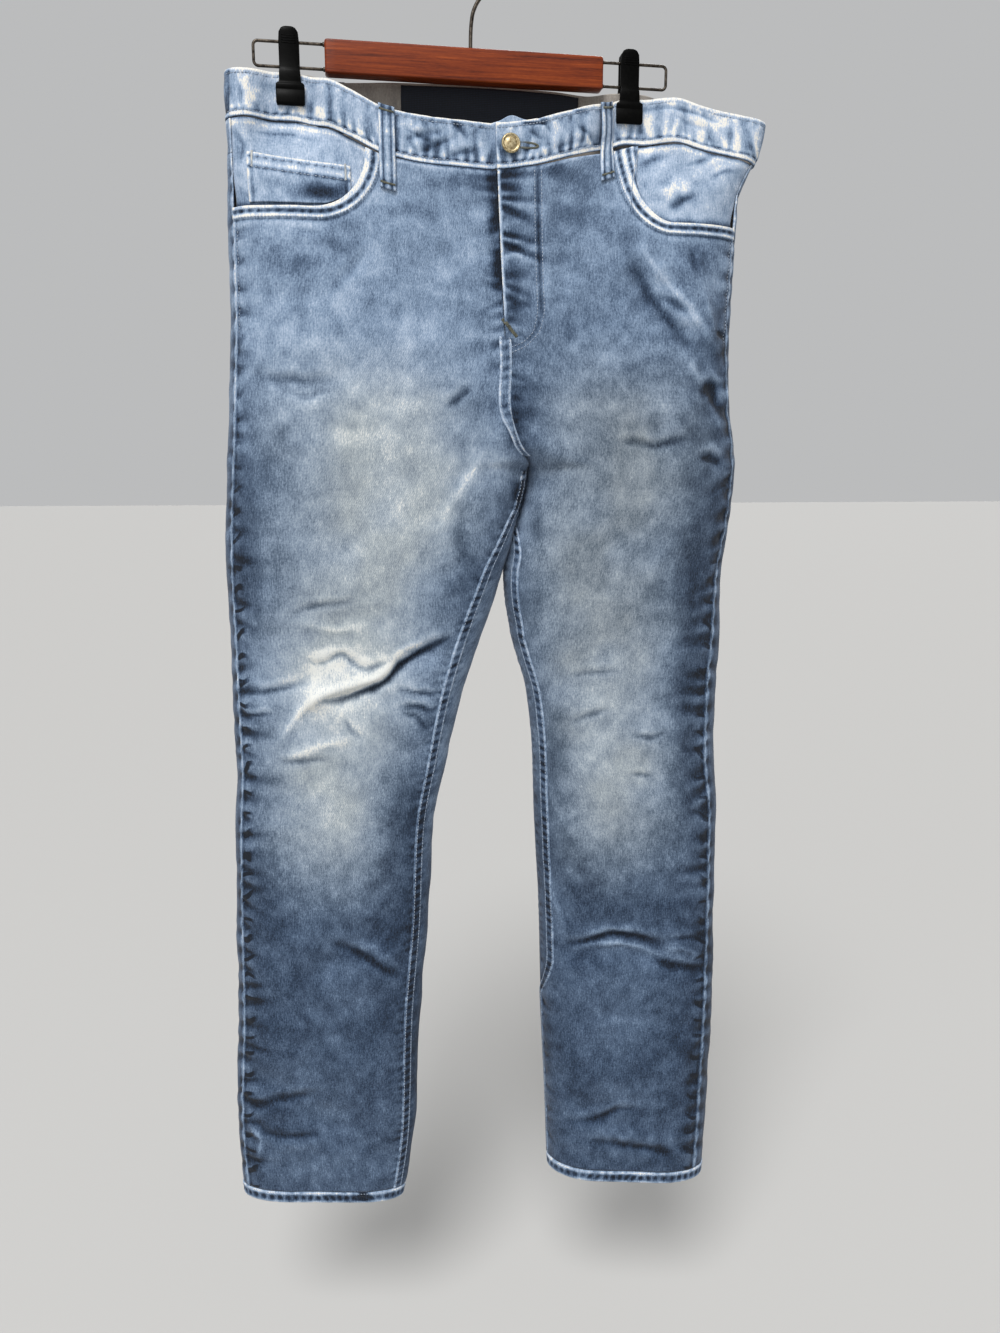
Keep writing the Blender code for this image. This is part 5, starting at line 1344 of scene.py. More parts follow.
def finishes() -> dict[str, bpy.types.Material]:
    """Every finish, built once, by what it is used for."""
    reverse_stops = ((0.0, "#4A4B4E"), (0.5, "#8E8780"), (1.0, "#B9B2A8"))
    named = {
        "denim": Denim("stonewashed_denim_twill"),
        "front_right": Denim("stonewashed_denim_right_front", outseam_pit_shade=0.55),
        "front_left": Denim("stonewashed_denim_left_front", outseam_pit_shade=0.26),
        "reverse": Denim("denim_reverse", reverse_stops, grain=0.8),
        "thread": CottonThread("faded_blue_thread", "#AEB9C8", "#7E8CA0"),
        "cream_thread": CottonThread("worn_cream_thread", "#D2D2CC", "#A3A8AC"),
        "dark_thread": CottonThread("olive_bartack_thread", "#6B6A58", "#3F4238"),
        "tape": WovenTape("navy_woven_cotton", "#0B1019", "#1A2233"),
        "wood": StainedWood("stained_lacquered_beech"),
        "wire": Metal("dull_plated_steel_wire", "#2B2622", "#5C554D", 0.42, 300.0),
        "brass": Metal("tarnished_brass", "#84714F", "#D9CAA4", 0.44, 420.0),
        "plastic": MouldedPlastic("moulded_black_polystyrene"),
        "floor": PlainPaint("pale_floor_paint", "#B4B3B1"),
    }
    return {use: finish.material() for use, finish in named.items()}


def make_mesh(
    name: str,
    points: Array,
    faces: list[Array],
    finishes: list[bpy.types.Material],
    layers: dict[str, Array] | None = None,
    uv: Array | None = None,
    slots: list[int] | None = None,
) -> bpy.types.Object:
    """A mesh object from arrays, with its faces turned outwards.

    Args:
        name: the object's name.
        points: vertex places, one a row.
        faces: blocks of faces of equal size, each an array of vertex numbers.
        finishes: its materials.
        layers: float attributes by name, one value a vertex.
        uv: flat coordinates in metres, one row a vertex.
        slots: the material number of each block.

    Returns:
        The linked object.
    """
    points = np.asarray(points, dtype=float).reshape(-1, 3)
    if signed_volume(points, faces) < 0:
        faces = [block[:, ::-1] for block in faces]
    mesh = bpy.data.meshes.new(name)
    mesh.vertices.add(len(points))
    mesh.vertices.foreach_set("co", points.astype(np.float32).ravel())
    corners = np.concatenate([block.ravel() for block in faces]).astype(np.int32)
    sizes = np.concatenate([np.full(len(block), block.shape[1]) for block in faces])
    mesh.loops.add(len(corners))
    mesh.loops.foreach_set("vertex_index", corners)
    mesh.polygons.add(len(sizes))
    starts = np.concatenate([[0], np.cumsum(sizes)[:-1]]).astype(np.int32)
    mesh.polygons.foreach_set("loop_start", starts)
    mesh.polygons.foreach_set("loop_total", sizes.astype(np.int32))
    numbers = slots or [0] * len(faces)
    each = np.concatenate([np.full(len(b), n) for b, n in zip(faces, numbers)])
    for finish in finishes:
        mesh.materials.append(finish)
    mesh.polygons.foreach_set("material_index", each.astype(np.int32))
    mesh.update(calc_edges=True)
    mesh.polygons.foreach_set("use_smooth", np.ones(len(sizes), dtype=bool))
    flat = uv if uv is not None else points[:, [0, 2]]
    layer = mesh.uv_layers.new(name="cloth")
    layer.data.foreach_set("uv", flat[corners].astype(np.float32).ravel())
    for key, values in (layers or {}).items():
        made = mesh.attributes.new(key, "FLOAT", "POINT")
        made.data.foreach_set("value", np.asarray(values, dtype=np.float32).ravel())
    mesh.validate()
    obj = bpy.data.objects.new(name, mesh)
    bpy.context.scene.collection.objects.link(obj)
    return obj


@dataclass
class Shell:
    """A wall of cloth between two grids of points, closed round its edges."""

    name: str
    outer: Array
    inner: Array
    tone: Array
    flat: Array
    finish: bpy.types.Material
    back: bpy.types.Material
    ring: bool = False
    worn: Array | None = None

    def build(self) -> bpy.types.Object:
        """Joins the two grids by a rim, and gives each side its finish."""
        rows, cols = self.outer.shape[:2]
        count = rows * cols
        points = np.concatenate([self.outer.reshape(-1, 3), self.inner.reshape(-1, 3)])
        front = grid_faces(rows, cols, 0, self.ring)
        behind = grid_faces(rows, cols, count, self.ring)[:, ::-1]
        edge = []
        steps = cols if self.ring else cols - 1
        j = np.arange(steps)
        k = (j + 1) % cols
        edge.append(np.stack([k, j, j + count, k + count], -1))
        low = (rows - 1) * cols
        edge.append(np.stack([low + j, low + k, low + k + count, low + j + count], -1))
        if not self.ring:
            i = np.arange(rows - 1)
            a, b = i * cols, (i + 1) * cols
            edge.append(np.stack([a, b, b + count, a + count], -1))
            a, b = a + cols - 1, b + cols - 1
            edge.append(np.stack([b, a, a + count, b + count], -1))
        rim = np.concatenate(edge)
        tone = np.concatenate([self.tone.ravel(), 0.55 + 0.35 * (self.tone.ravel() - 0.5)])
        flat = np.concatenate([self.flat.reshape(-1, 2)] * 2)
        worn = np.zeros(count) if self.worn is None else self.worn.ravel()
        return make_mesh(
            self.name, points, [front, rim, behind], [self.finish, self.back],
            {"tone": tone, "worn": np.concatenate([worn, 0 * worn])}, flat, [0, 0, 1],
        )


def crowded_share(count: int, crowd: float, edge: float, middle: float = -1.0) -> Array:
    """Shares from 0 to 1, closer together near the ends: the running sum of uneven steps.

    Args:
        count: how many places.
        crowd: how many times closer they are at the ends.
        edge: how far in from the ends the crowding reaches, as a share.
        middle: another share where they are crowded, or below 0 for none.

    Returns:
        The rising shares.
    """
    t = np.linspace(0, 1, 400)
    near = bell(t / edge) + bell((1 - t) / edge)
    if middle >= 0:
        near = near + bell((t - middle) / edge)
    weight = 1 + (crowd - 1) * np.clip(near, 0, 1)
    run = np.concatenate([[0], np.cumsum((weight[1:] + weight[:-1]) / 2)])
    return np.interp(np.linspace(0, run[-1], count), run, t)


class Stitches:
    """Sewing thread: rows of short raised stitches, gathered into one mesh a thread colour."""

    pitch = 0.0031
    duty = 0.74
    radius = 0.00034

    def __init__(self, name: str, finish: bpy.types.Material) -> None:
        """Takes the piece's name and thread."""
        self.name = name
        self.finish = finish
        self.points: list[Array] = []
        self.count = 0

    def add(self, starts: Array, ends: Array, normals: Array, radius: float = 0.0) -> None:
        """Adds stitches: four-sided spindles whose ends dip into the cloth.

        Args:
            starts: first ends, one a row.
            ends: second ends.
            normals: outward directions there.
            radius: half the thread's width, or 0 for the usual one.
        """
        size = radius or self.radius
        run = ends - starts
        length = np.maximum(np.linalg.norm(run, axis=-1, keepdims=True), 1e-9)
        along = run / length
        side = np.cross(along, normals)
        side = side / np.maximum(np.linalg.norm(side, axis=-1, keepdims=True), 1e-9)
        rings = []
        for share, width, rise in ((0.0, 0.35, -0.9), (0.22, 1.0, 0.25), (0.78, 1.0, 0.25), (1.0, 0.35, -0.9)):
            middle = starts + run * share + normals * size * rise
            for turn_side, turn_up in ((1, 0), (0, 1), (-1, 0), (0, -1)):
                rings.append(middle + (side * turn_side + normals * turn_up) * size * width)
        self.points.append(np.stack(rings, axis=1))
        self.count += len(starts)

    def row(self, places: Array, normals: Array, pitch: float = 0.0, radius: float = 0.0) -> None:
        """Adds a row of stitches along a line of close places on the cloth.

        Args:
            places: points along the seam, closer together than a stitch.
            normals: outward directions at those points.
            pitch: length from one stitch to the next, or 0 for the usual one.
            radius: half the thread's width, or 0 for the usual one.
        """
        run = np.concatenate([[0], np.cumsum(np.linalg.norm(np.diff(places, axis=0), axis=1))])
        step = pitch or self.pitch
        count = int(run[-1] / step)
        if count < 1:
            return
        begin = (np.arange(count) + 0.15) * run[-1] / count
        finish = begin + step * self.duty

        def at(where: Array, values: Array) -> Array:
            """Values along the line."""
            return np.stack([np.interp(where, run, values[:, k]) for k in range(3)], axis=1)

        middle = at((begin + finish) / 2, normals)
        middle = middle / np.linalg.norm(middle, axis=1, keepdims=True)
        self.add(at(begin, places), at(finish, places), middle, radius)

    def build(self) -> bpy.types.Object:
        """Joins every stitch into one mesh."""
        points = np.concatenate(self.points)
        count = len(points)
        one = [grid_faces(4, 4, 0, True)]
        caps = np.array([[3, 2, 1, 0], [12, 13, 14, 15]])
        quads = np.concatenate([one[0], caps])
        faces = (quads[None] + 16 * np.arange(count)[:, None, None]).reshape(-1, 4)
        return make_mesh(self.name, points.reshape(-1, 3), [faces], [self.finish])


@dataclass
class Workshop:
    """What every sub-assembly shares: the materials, by name, and the threads."""

    made: dict[str, bpy.types.Material]
    blue: Stitches
    cream: Stitches
    tacks: Stitches

    def place(self, obj: bpy.types.Object, slot: str, *nodes: str) -> bpy.types.Object:
        """Rides a piece on the root and hides the CAD nodes that it stands for."""
        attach(obj, "root")
        if nodes:
            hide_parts(*nodes)
        log.info("%s: %d faces", obj.name, len(obj.data.polygons))
        return obj

    def cloth(
        self,
        shell: Shell,
        flat: tuple[float, float],
        nodes: tuple[str, ...],
        area: float | None = None,
        rests: tuple[str, ...] = (),
    ) -> bpy.types.Object:
        """Builds a shell of cloth and rides it on the root.

        Args:
            shell: the wall to build.
            flat: width and length of its cut; not used.
            nodes: the CAD nodes that it stands for.
            area: the cut's flat area, where it isn't a rectangle; not used.
            rests: what it hangs from; not used.

        Returns:
            The piece.
        """
        obj = self.place(shell.build(), "denim", *nodes)
        return obj


@dataclass
class LegPanels:
    """The front and back of one half."""

    leg: Leg
    row_step: float = 0.0023
    front_columns: int = 102
    back_columns: int = 62
    back_step: float = 0.0033

    def heights(self, top: Array, columns_at: Callable[[Array], Array], step: float) -> Array:
        """Rows of heights, from the panel's top edge to its hem.

        Args:
            top: height of each column's upper end.
            columns_at: gives the columns' q at a height.
            step: distance between rows.

        Returns:
            Heights, a row for each level.
        """
        leg = self.leg
        low = np.full_like(top, leg.hem[1])
        hem = leg.hem_z(leg.base(columns_at(low), low)[:, 0]) + HEM_HEIGHT + SEAM_GAP
        head = np.linspace(1, 0, int((top.max() - HIP_ROW_Z) / step) + 1)[:-1]
        above = HIP_ROW_Z + (top - HIP_ROW_Z) * head[:, None]
        levels = np.linspace(HIP_ROW_Z, HEM_BLEND_Z, int((HIP_ROW_Z - HEM_BLEND_Z) / step))
        tail = np.linspace(0, 1, int((HEM_BLEND_Z + 1.205) / step) + 1)[1:]
        below = HEM_BLEND_Z + (hem - HEM_BLEND_Z) * tail[:, None]
        return np.concatenate([above, np.repeat(levels[:, None], len(top), axis=1), below])

    def front(self, shop: Workshop) -> bpy.types.Object:
        """The front, whose top edge is the pocket opening and then the waistband's seam."""
        leg = self.leg
        share = crowded_share(self.front_columns, 2.6, 0.10, 0.46)
        start = leg.outseam(HIP_ROW_Z)
        x_top = leg.base(start + share * (1 - start), np.full_like(share, -0.200))[:, 0]

        def columns_at(z: Array) -> Array:
            """q of the columns, between the two seams."""
            first = leg.outseam(z) + leg.gap(z, True)
            last = leg.inseam(z) - leg.gap(z, True)
            return first + (last - first) * share

        z = self.heights(leg.pocket_z(x_top) - SEAM_GAP, columns_at, self.row_step)
        return self.panel(shop, f"front_{leg.side}", z, columns_at(z), Face.FRONT, 0.235)

    def back(self, shop: Workshop) -> bpy.types.Object:
        """The back, from the yoke's seam to the hem."""
        leg = self.leg
        x = yoke_reference(leg, self.back_columns)
        top = yoke_seam(x) - SEAM_GAP / 2

        def columns_at(z: Array) -> Array:
            """q of the columns, round the outer side to the centre back or the inseam."""
            return back_columns(leg, z, self.back_columns)

        z = self.heights(top, columns_at, self.back_step)
        return self.panel(shop, f"back_{leg.side}", z, columns_at(z), Face.BACK, 0.270)

    def panel(
        self, shop: Workshop, name: str, z: Array, q: Array, face: Face, width: float
    ) -> bpy.types.Object:
        """A panel's wall: the creased surface, and the same moved in by the cloth.

        Args:
            shop: what the sub-assemblies share.
            name: the piece and the node that it stands for.
            z: heights of the grid.
            q: places round the section.
            face: which sheet of the leg it is.
            width: its cut's width.

        Returns:
            The piece.
        """
        leg = self.leg
        lift, tone = leg.relief(q, z, face)
        out, _ = leg.seam_distances(q, z, face)
        outer, inner = leg.point(q, z, lift), leg.point(q, z, lift - CLOTH)
        flat = np.stack([out, z], axis=-1)
        front = face is Face.FRONT
        finish = shop.made[f"front_{leg.side}"] if front else shop.made["denim"]
        shell = Shell(name, outer, inner, tone, flat, finish, shop.made["reverse"],
                      worn=leg.worn(q, z, face))
        area = 0.205 if front else 0.235
        return shop.cloth(shell, (width + 0.02, 1.02), (name,), area)


def back_columns(leg: Leg, z: Array, count: int) -> Array:
    """q of the back's columns, from the outseam round to the centre back or the inseam."""
    first = leg.outseam(z) - leg.gap(z, False)
    last = np.where(z <= CROTCH_Z, leg.inseam(z) - 2, -1) + leg.gap(z, False)
    return first + (last - first) * crowded_share(count, 2.0, 0.12)


def yoke_seam(x: Array) -> Array:
    """Height of the seam between a yoke and the back below it, deepest at the centre back."""
    width = np.where(x < RIGHT.value("x_in", -0.2), 0.237, 0.242)
    share = np.clip(1 - np.abs(x - RIGHT.value("x_in", -0.2)) / width, 0, 1)
    drop = YOKE_SIDE + (YOKE_CENTRE - YOKE_SIDE) * share
    return waist_edge(x, False) - BAND_HEIGHT - drop


def yoke_reference(leg: Leg, count: int) -> Array:
    """x of the back's columns at the yoke, which sets the heights of the seams there."""
    z = np.full(count, -0.163)
    return leg.base(back_columns(leg, z, count), z)[:, 0]


@dataclass
class Yoke:
    """A back yoke between the waistband and the back."""

    leg: Leg
    columns: int = 70
    rows: int = 22

    def build(self, shop: Workshop) -> bpy.types.Object:
        """The yoke's wall, with puckers along both its seams."""
        leg = self.leg
        x = yoke_reference(leg, self.columns)
        top = waist_edge(x, False) - BAND_HEIGHT - YOKE_GAP
        bottom = yoke_seam(x) + SEAM_GAP / 2
        z = top + (bottom - top) * np.linspace(0, 1, self.rows)[:, None]
        q = back_columns(leg, z, self.columns)
        lift, tone = leg.relief(q, z, Face.BACK)
        pucker = Roping(-0.215, 0.30, 0.0085, 0.008, 0.0020, 0.0006, 0.16, 51)
        across = leg.base(q, z)[..., 0]
        for away in (z - bottom, top - z):
            more_lift, change = pucker.field(across, away)
            lift, tone = lift + more_lift, tone + change
        flat = np.stack([across, z], axis=-1)
        shell = Shell(
            f"yoke_{leg.side}", leg.point(q, z, lift), leg.point(q, z, lift - CLOTH),
            np.clip(tone, 0, 1), flat, shop.made["denim"], shop.made["reverse"],
        )
        return shop.cloth(shell, (0.275, 0.066), (f"yoke_{leg.side}",), 0.0125)


@dataclass
class Waistband:
    """The waistband in its four parts, with the underlap behind the buttoned end."""

    step: float = 0.0016
    rows: int = 34

    def drops(self) -> Array:
        """Distances of the rows below the top edge, closest at both edges."""
        return crowded_share(self.rows, 1.8, 0.12) * (BAND_HEIGHT - SEAM_GAP / 2)

    def grid(self, leg: Leg, q: Array, front: bool) -> Array:
        """Heights of the rows at these columns, found from the edge above each place."""
        drops = self.drops()[:, None]
        z = np.full((len(drops), len(q)), -0.130)
        for _ in range(4):
            z = waist_edge(leg.base(np.broadcast_to(q, z.shape), z)[..., 0], front) - drops
        return z

    def cloth_field(self, x: Array, z: Array, front: bool, seed: int) -> tuple[Array, Array]:
        """Height and tone: a rolled top edge, two stitched lines and a puckered lower seam.

        Args:
            x: x of the places.
            z: their heights.
            front: whether it is the front of the waist.
            seed: spreads the puckers.

        Returns:
            Height in metres, and tone.
        """
        drop = waist_edge(x, front) - z
        low = BAND_HEIGHT - drop
        tone = monotone(BAND_TONE_TABLE["x"], BAND_TONE_TABLE["tone"], x)
        tone = tone if front else 0.56 + 0.05 * cloud(x, z, 0.05, 61)
        ragged = cloud(x, drop, 0.0055, 62)
        lift, change = total_field(creases(BAND_CREASES if front else ()), x, z)
        tone = tone + change
        tone = tone + (0.56 + 0.14 * ragged) * bell(drop / 0.0014)
        lift = lift - 0.0007 * bell(drop / 0.0012)
        # Painted shade in the two stitch lines' grooves, in dashes.
        for place, shade in ((0.0040, 0.26), (0.0340, 0.42)):
            beat = 0.5 + 0.5 * np.sin(2 * math.pi * (x / 0.0074 + 0.3 * cloud(x, z, 0.02, 63)))
            lift = lift - 0.0004 * bell((drop - place) / 0.0012) * (0.4 + 0.6 * beat)
            tone = tone - shade * bell((drop - place) / 0.0011) * (0.25 + 0.75 * beat)
        # Worn pale lines near the lower edge, and painted shade along the lower seam itself.
        tone = tone + (0.34 + 0.10 * ragged) * bell((low - 0.0022) / 0.0013)
        tone = tone - 0.25 * bell(low / 0.0008) + 0.12 * bell((low - 0.0082) / 0.0018)
        for away, reach, shade in ((low - 0.0040, 0.016, 0.70), (drop - 0.0046, 0.007, 0.34)):
            pucker = Roping(-0.215, 0.295, 0.0086, reach, 0.0025, 0.0012, shade, seed)
            more_lift, more_tone = pucker.field(x, away)
            lift, tone = lift + more_lift, tone + more_tone
        lift = lift + 0.0006 * cloud(x, z, 0.018, 64)
        tone = tone + 0.12 * cloud(x, z, 0.011, 65) + 0.08 * cloud(x, z, 0.0048, 67)
        return lift, np.clip(tone, 0.05, 1)

    def shell(
        self, shop: Workshop, leg: Leg, name: str, ends: tuple[float, float], front: bool
    ) -> None:
        """One part of the waistband between two values of q.

        Args:
            shop: what the sub-assemblies share.
            leg: the half that it is on.
            name: its name and the node's.
            ends: q of its two ends.
            front: whether it is on the front.
        """
        z_mid = np.full(2, -0.130)
        length = abs(ends[1] - ends[0]) * float(leg.lengths(z_mid, front)["total"][0])
        q = np.linspace(ends[0], ends[1], int(length / self.step) + 2)
        z = self.grid(leg, q, front)
        q = np.broadcast_to(q, z.shape)
        x = leg.base(q, z)[..., 0]
        lift, tone = self.cloth_field(x, z, front, 66 + len(name))
        rise = BAND_LIFT + 0 * x
        if front and leg is LEFT:
            rise = rise + BAND_RAISE * (1 - smoothstep((x - UNDERLAP_END_X) / 0.030))
            tone = tone + 0.40 * bell((x - leg.value("x_in", z)) / 0.0020)
        if front and leg is RIGHT:
            from_centre = np.abs(x - leg.value("x_in", z))
            rise = rise - BAND_RAISE * (1 - smoothstep(from_centre / 0.040))
        outer = leg.point(q, z, rise + lift)
        inner = leg.point(q, z, rise + 0.6 * lift - BAND_CLOTH)
        if front and leg is RIGHT:
            x_tab = np.linspace(UNDERLAP_X, UNDERLAP_END_X, 16)
            z_tab = waist_edge(x_tab, True) - self.drops()[:, None]
            z_tab = z_tab + 0.0060 * bell((x_tab - 0.036) / 0.010)
            x_tab = np.broadcast_to(x_tab, z_tab.shape)
            tab = BAND_LIFT - UNDERLAP_DROP
            outer = np.concatenate([outer, on_face(x_tab, z_tab, tab, True)], axis=1)
            inner = np.concatenate([inner, on_face(x_tab, z_tab, tab - BAND_CLOTH, True)], axis=1)
            x = np.concatenate([x, x_tab], axis=1)
            z = np.concatenate([z, z_tab], axis=1)
            tone = np.concatenate([tone, np.full(x_tab.shape, 0.72)], axis=1)
            length += 0.034
        flat = np.stack([x, z], axis=-1)
        lining = shop.made["denim"] if front else shop.made["reverse"]
        made = Shell(name, outer, inner, tone, flat, shop.made["denim"], lining)
        shop.cloth(made, (length, BAND_HEIGHT), (name,))

    def build(self, shop: Workshop) -> None:
        """All four parts."""
        for leg in (RIGHT, LEFT):
            z = np.array(-0.130)
            seam = float(leg.outseam(z))
            gap = float(leg.gap(z, True))
            last = 0.985 if leg is RIGHT else 1.0
            self.shell(shop, leg, f"waistband_front_{leg.side}", (seam + gap, last), True)
            gap = float(leg.gap(z, False))
            self.shell(shop, leg, f"waistband_back_{leg.side}", (seam - gap, gap - 1), False)


@dataclass
class PocketFacing:
    """The facing that shows in a front pocket opening."""

    leg: Leg
    columns: int = 60
    rows: int = 44

    def lift(self, x: Array, z: Array) -> Array:
        """How deep it lies: nearly flush well inside the opening, below the front at its edge."""
        leg = self.leg
        deep = -CLOTH - FACING_GAP
        above = smoothstep((z - leg.pocket_z(x) - 0.004) / 0.030)
        beside = smoothstep(((x - leg.pocket["top_x"]) * leg.sign - 0.006) / 0.030)
        return deep + (-0.0003 - deep) * above * beside

    def build(self, shop: Workshop) -> None:
        """The facing's wall, dimpled by washing."""
        leg = self.leg
        end = leg.pocket["top_x"] - leg.sign * FACING_UNDER
        start = float(leg.outseam(np.array(-0.163)))
        last = float(leg.q_at(np.array(end), np.array(-0.163)))
        share = np.linspace(0, 1, self.columns)
        x = leg.base(start + (last - start) * share, np.full(self.columns, -0.163))[:, 0]
        top = waist_edge(x, True) - BAND_HEIGHT - YOKE_GAP
        bottom = np.full(self.columns, leg.pocket["low_z"] - FACING_UNDER)
        z = top + (bottom - top) * np.linspace(0, 1, self.rows)[:, None]
        first = leg.outseam(z) + 3 * leg.gap(z, True)
        q = first + (leg.q_at(end, z) - first) * share
        across = leg.base(q, z)[..., 0]
        dimple = cloud(across, z, 0.0065, 81)
        tone = 0.74 + 0.09 * dimple + 0.07 * cloud(across, z, 0.018, 82)
        # Painted shade where the facing runs under the pocket opening's edge.
        edge = np.clip(z - leg.pocket_z(across), -0.01, 1)
        tone = tone - 0.50 * bell(edge / 0.0045)
        crease_lift, change = total_field(creases(FACING_CREASES), across, z)
        tone = tone + change
        # Painted shade in a line just under the waistband, and a worn pale line below it.
        below = top - z
        tone = tone - 0.40 * bell(below / 0.0012) + 0.18 * bell((below - 0.0034) / 0.0018)
        wave = 0.0003 * dimple + 0.4 * crease_lift
        lift = self.lift(across, z)
        flat = np.stack([across, z], axis=-1)
        outer = leg.point(q, z, lift + wave)
        inner = leg.point(q, z, lift - TRIM_CLOTH)
        name = f"pocket_facing_{leg.side}"
        shell = Shell(name, outer, inner, tone, flat, shop.made["denim"], shop.made["reverse"])
        shop.cloth(shell, (0.150, 0.092), (name,), 0.0115)


@dataclass
class CoinPocket:
    """The small pocket on the right facing, with its top hem stitched twice."""

    columns: int = 60
    rows: int = 34

    def build(self, shop: Workshop) -> None:
        """The pocket's wall and its thread."""
        facing = PocketFacing(RIGHT)
        across = np.linspace(0, 1, self.columns)
        x = COIN_X[0] + (COIN_X[1] - COIN_X[0]) * across
        top = COIN_TOP - COIN_TOP_FALL * across
        bottom = np.maximum(COIN_BOTTOM, RIGHT.pocket_z(x) + 0.003)
        z = top + (bottom - top) * np.linspace(0, 1, self.rows)[:, None]
        x = np.broadcast_to(x, z.shape)
        drop = top - z
        side = np.minimum(x - COIN_X[0], COIN_X[1] - x)
        beat = 0.5 + 0.5 * np.sin(2 * math.pi * x / 0.0072)
        tone = 0.72 + 0.10 * cloud(x, z, 0.007, 83)
        # Pale worn edges; the dark dashes along both stitch rows and the dark lines inside the sides are
        # painted shade in the stitched grooves.
        tone = tone + 0.30 * bell(drop / 0.0016) - 0.40 * bell((drop - 0.0036) / 0.0012) * beat
        tone = tone - 0.46 * bell((drop - 0.0125) / 0.0014) * (0.35 + 0.65 * beat)
        tone = tone + 0.20 * bell((drop - 0.0085) / 0.0022)
        tone = tone + 0.30 * bell(side / 0.0016) - 0.30 * bell((side - 0.0038) / 0.0012)
        # Painted shade in a hollow of the pocket.
        hollow_shade = bell((x + 0.128) / 0.026) * bell((z + 0.210) / 0.0075)
        tone = tone - 0.72 * hollow_shade
        fold = 0.0003 * (1 - smoothstep((drop - 0.0120) / 0.002))
        lift = facing.lift(x, z) + 0.0008 + TRIM_CLOTH
        wave = fold - 0.0002 * bell((drop - 0.0125) / 0.001) + 0.0002 * cloud(x, z, 0.008, 84)
        outer = on_face(x, z, lift + wave, True)
        inner = on_face(x, z, lift - TRIM_CLOTH, True)
        flat = np.stack([x, z], axis=-1)
        shell = Shell("coin_pocket", outer, inner, np.clip(tone, 0, 1), flat,
                      shop.made["denim"], shop.made["reverse"])
        shop.cloth(shell, (0.090, 0.046), ("coin_pocket",), 0.0038)
        ahead = np.array([0.0, -1.0, 0.0])
        for inset in (0.0034, 0.0125):
            line_x = np.linspace(COIN_X[0] + 0.003, COIN_X[1] - 0.003, 60)
            line_z = COIN_TOP - COIN_TOP_FALL * (line_x - COIN_X[0]) / (COIN_X[1] - COIN_X[0]) - inset
            height = facing.lift(line_x, line_z) + 0.0008 + TRIM_CLOTH + 0.0002
            places = on_face(line_x, line_z, height, True)
            shop.blue.row(places, np.broadcast_to(ahead, places.shape))
        for x_tack in (COIN_X[0] + 0.004, COIN_X[1] - 0.004):
            z_tack = np.linspace(0.001, -0.012, 8) + COIN_TOP
            z_tack = z_tack - COIN_TOP_FALL * (x_tack - COIN_X[0]) / (COIN_X[1] - COIN_X[0])
            line = np.full(8, x_tack)
            height = facing.lift(line, z_tack) + 0.0008 + TRIM_CLOTH + 0.0003
            places = on_face(line, z_tack, height, True)
            bartack(shop.cream, places, np.broadcast_to(ahead, places.shape), 0.0022)


def bartack(thread: Stitches, places: Array, normals: Array, width: float) -> None:
    """A dense bar of thread: zigzag stitches from side to side along a short line.

    Args:
        thread: the thread that it is sewn with.
        places: points along the bar.
        normals: outward directions there.
        width: the bar's width.
    """
    run = np.concatenate([[0], np.cumsum(np.linalg.norm(np.diff(places, axis=0), axis=1))])
    count = max(int(run[-1] / 0.00055), 4)
    at = np.linspace(0, run[-1], count)
    middle = np.stack([np.interp(at, run, places[:, k]) for k in range(3)], axis=1)
    out = np.stack([np.interp(at, run, normals[:, k]) for k in range(3)], axis=1)
    out = out / np.linalg.norm(out, axis=1, keepdims=True)
    along = np.gradient(middle, axis=0)
    side = np.cross(along, out)
    side = side / np.linalg.norm(side, axis=1, keepdims=True)
    thread.add(middle - side * width / 2, middle + side * width / 2, out, 0.00036)


@dataclass
class FlyLayers:
    """The layers behind the fly: facing, zip tape and shield."""

    rows: int = 70
    columns: int = 16

    def build(self, shop: Workshop) -> None:
        """Three strips one behind another; little of them shows."""
        table = (
            ("fly_facing", 0.0010, FLY_WIDTH, 0.0001, 0.0010, 0.6, 0.50),
            ("zip_tape", -0.0130, 0.0150, -0.0020, 0.0008, 0.0, 0.15),
            ("fly_shield", -0.0100, 0.0380, -0.0032, 0.0012, 0.0, 0.45),
        )
        down = np.linspace(0, 1, self.rows)[:, None]
        top = float(waist_edge(np.array(0.030), True)) - BAND_HEIGHT - 0.001
        z = top + (FLY_END_Z - top) * down
        for name, first, last, lift, thick, narrow, tone in table:
            taper = 1 - narrow * np.clip((down - 0.6) / 0.4, 0, 1) ** 2
            share = np.linspace(0, 1, self.columns)
            x = RIGHT.value("x_in", z) + first + (last - first) * taper * share
            level = np.broadcast_to(z, x.shape)
            outer = on_face(x, level, lift, True)
            inner = on_face(x, level, lift - thick, True)
            grain = tone + 0.05 * cloud(x, level, 0.008, 85)
            tape = name == "zip_tape"
            finish = shop.made["tape"] if tape else shop.made["denim"]
            shell = Shell(name, outer, inner, grain, np.stack([x, level], -1), finish, finish)
            obj = shop.place(shell.build(), "dark_tape" if tape else "denim", name)


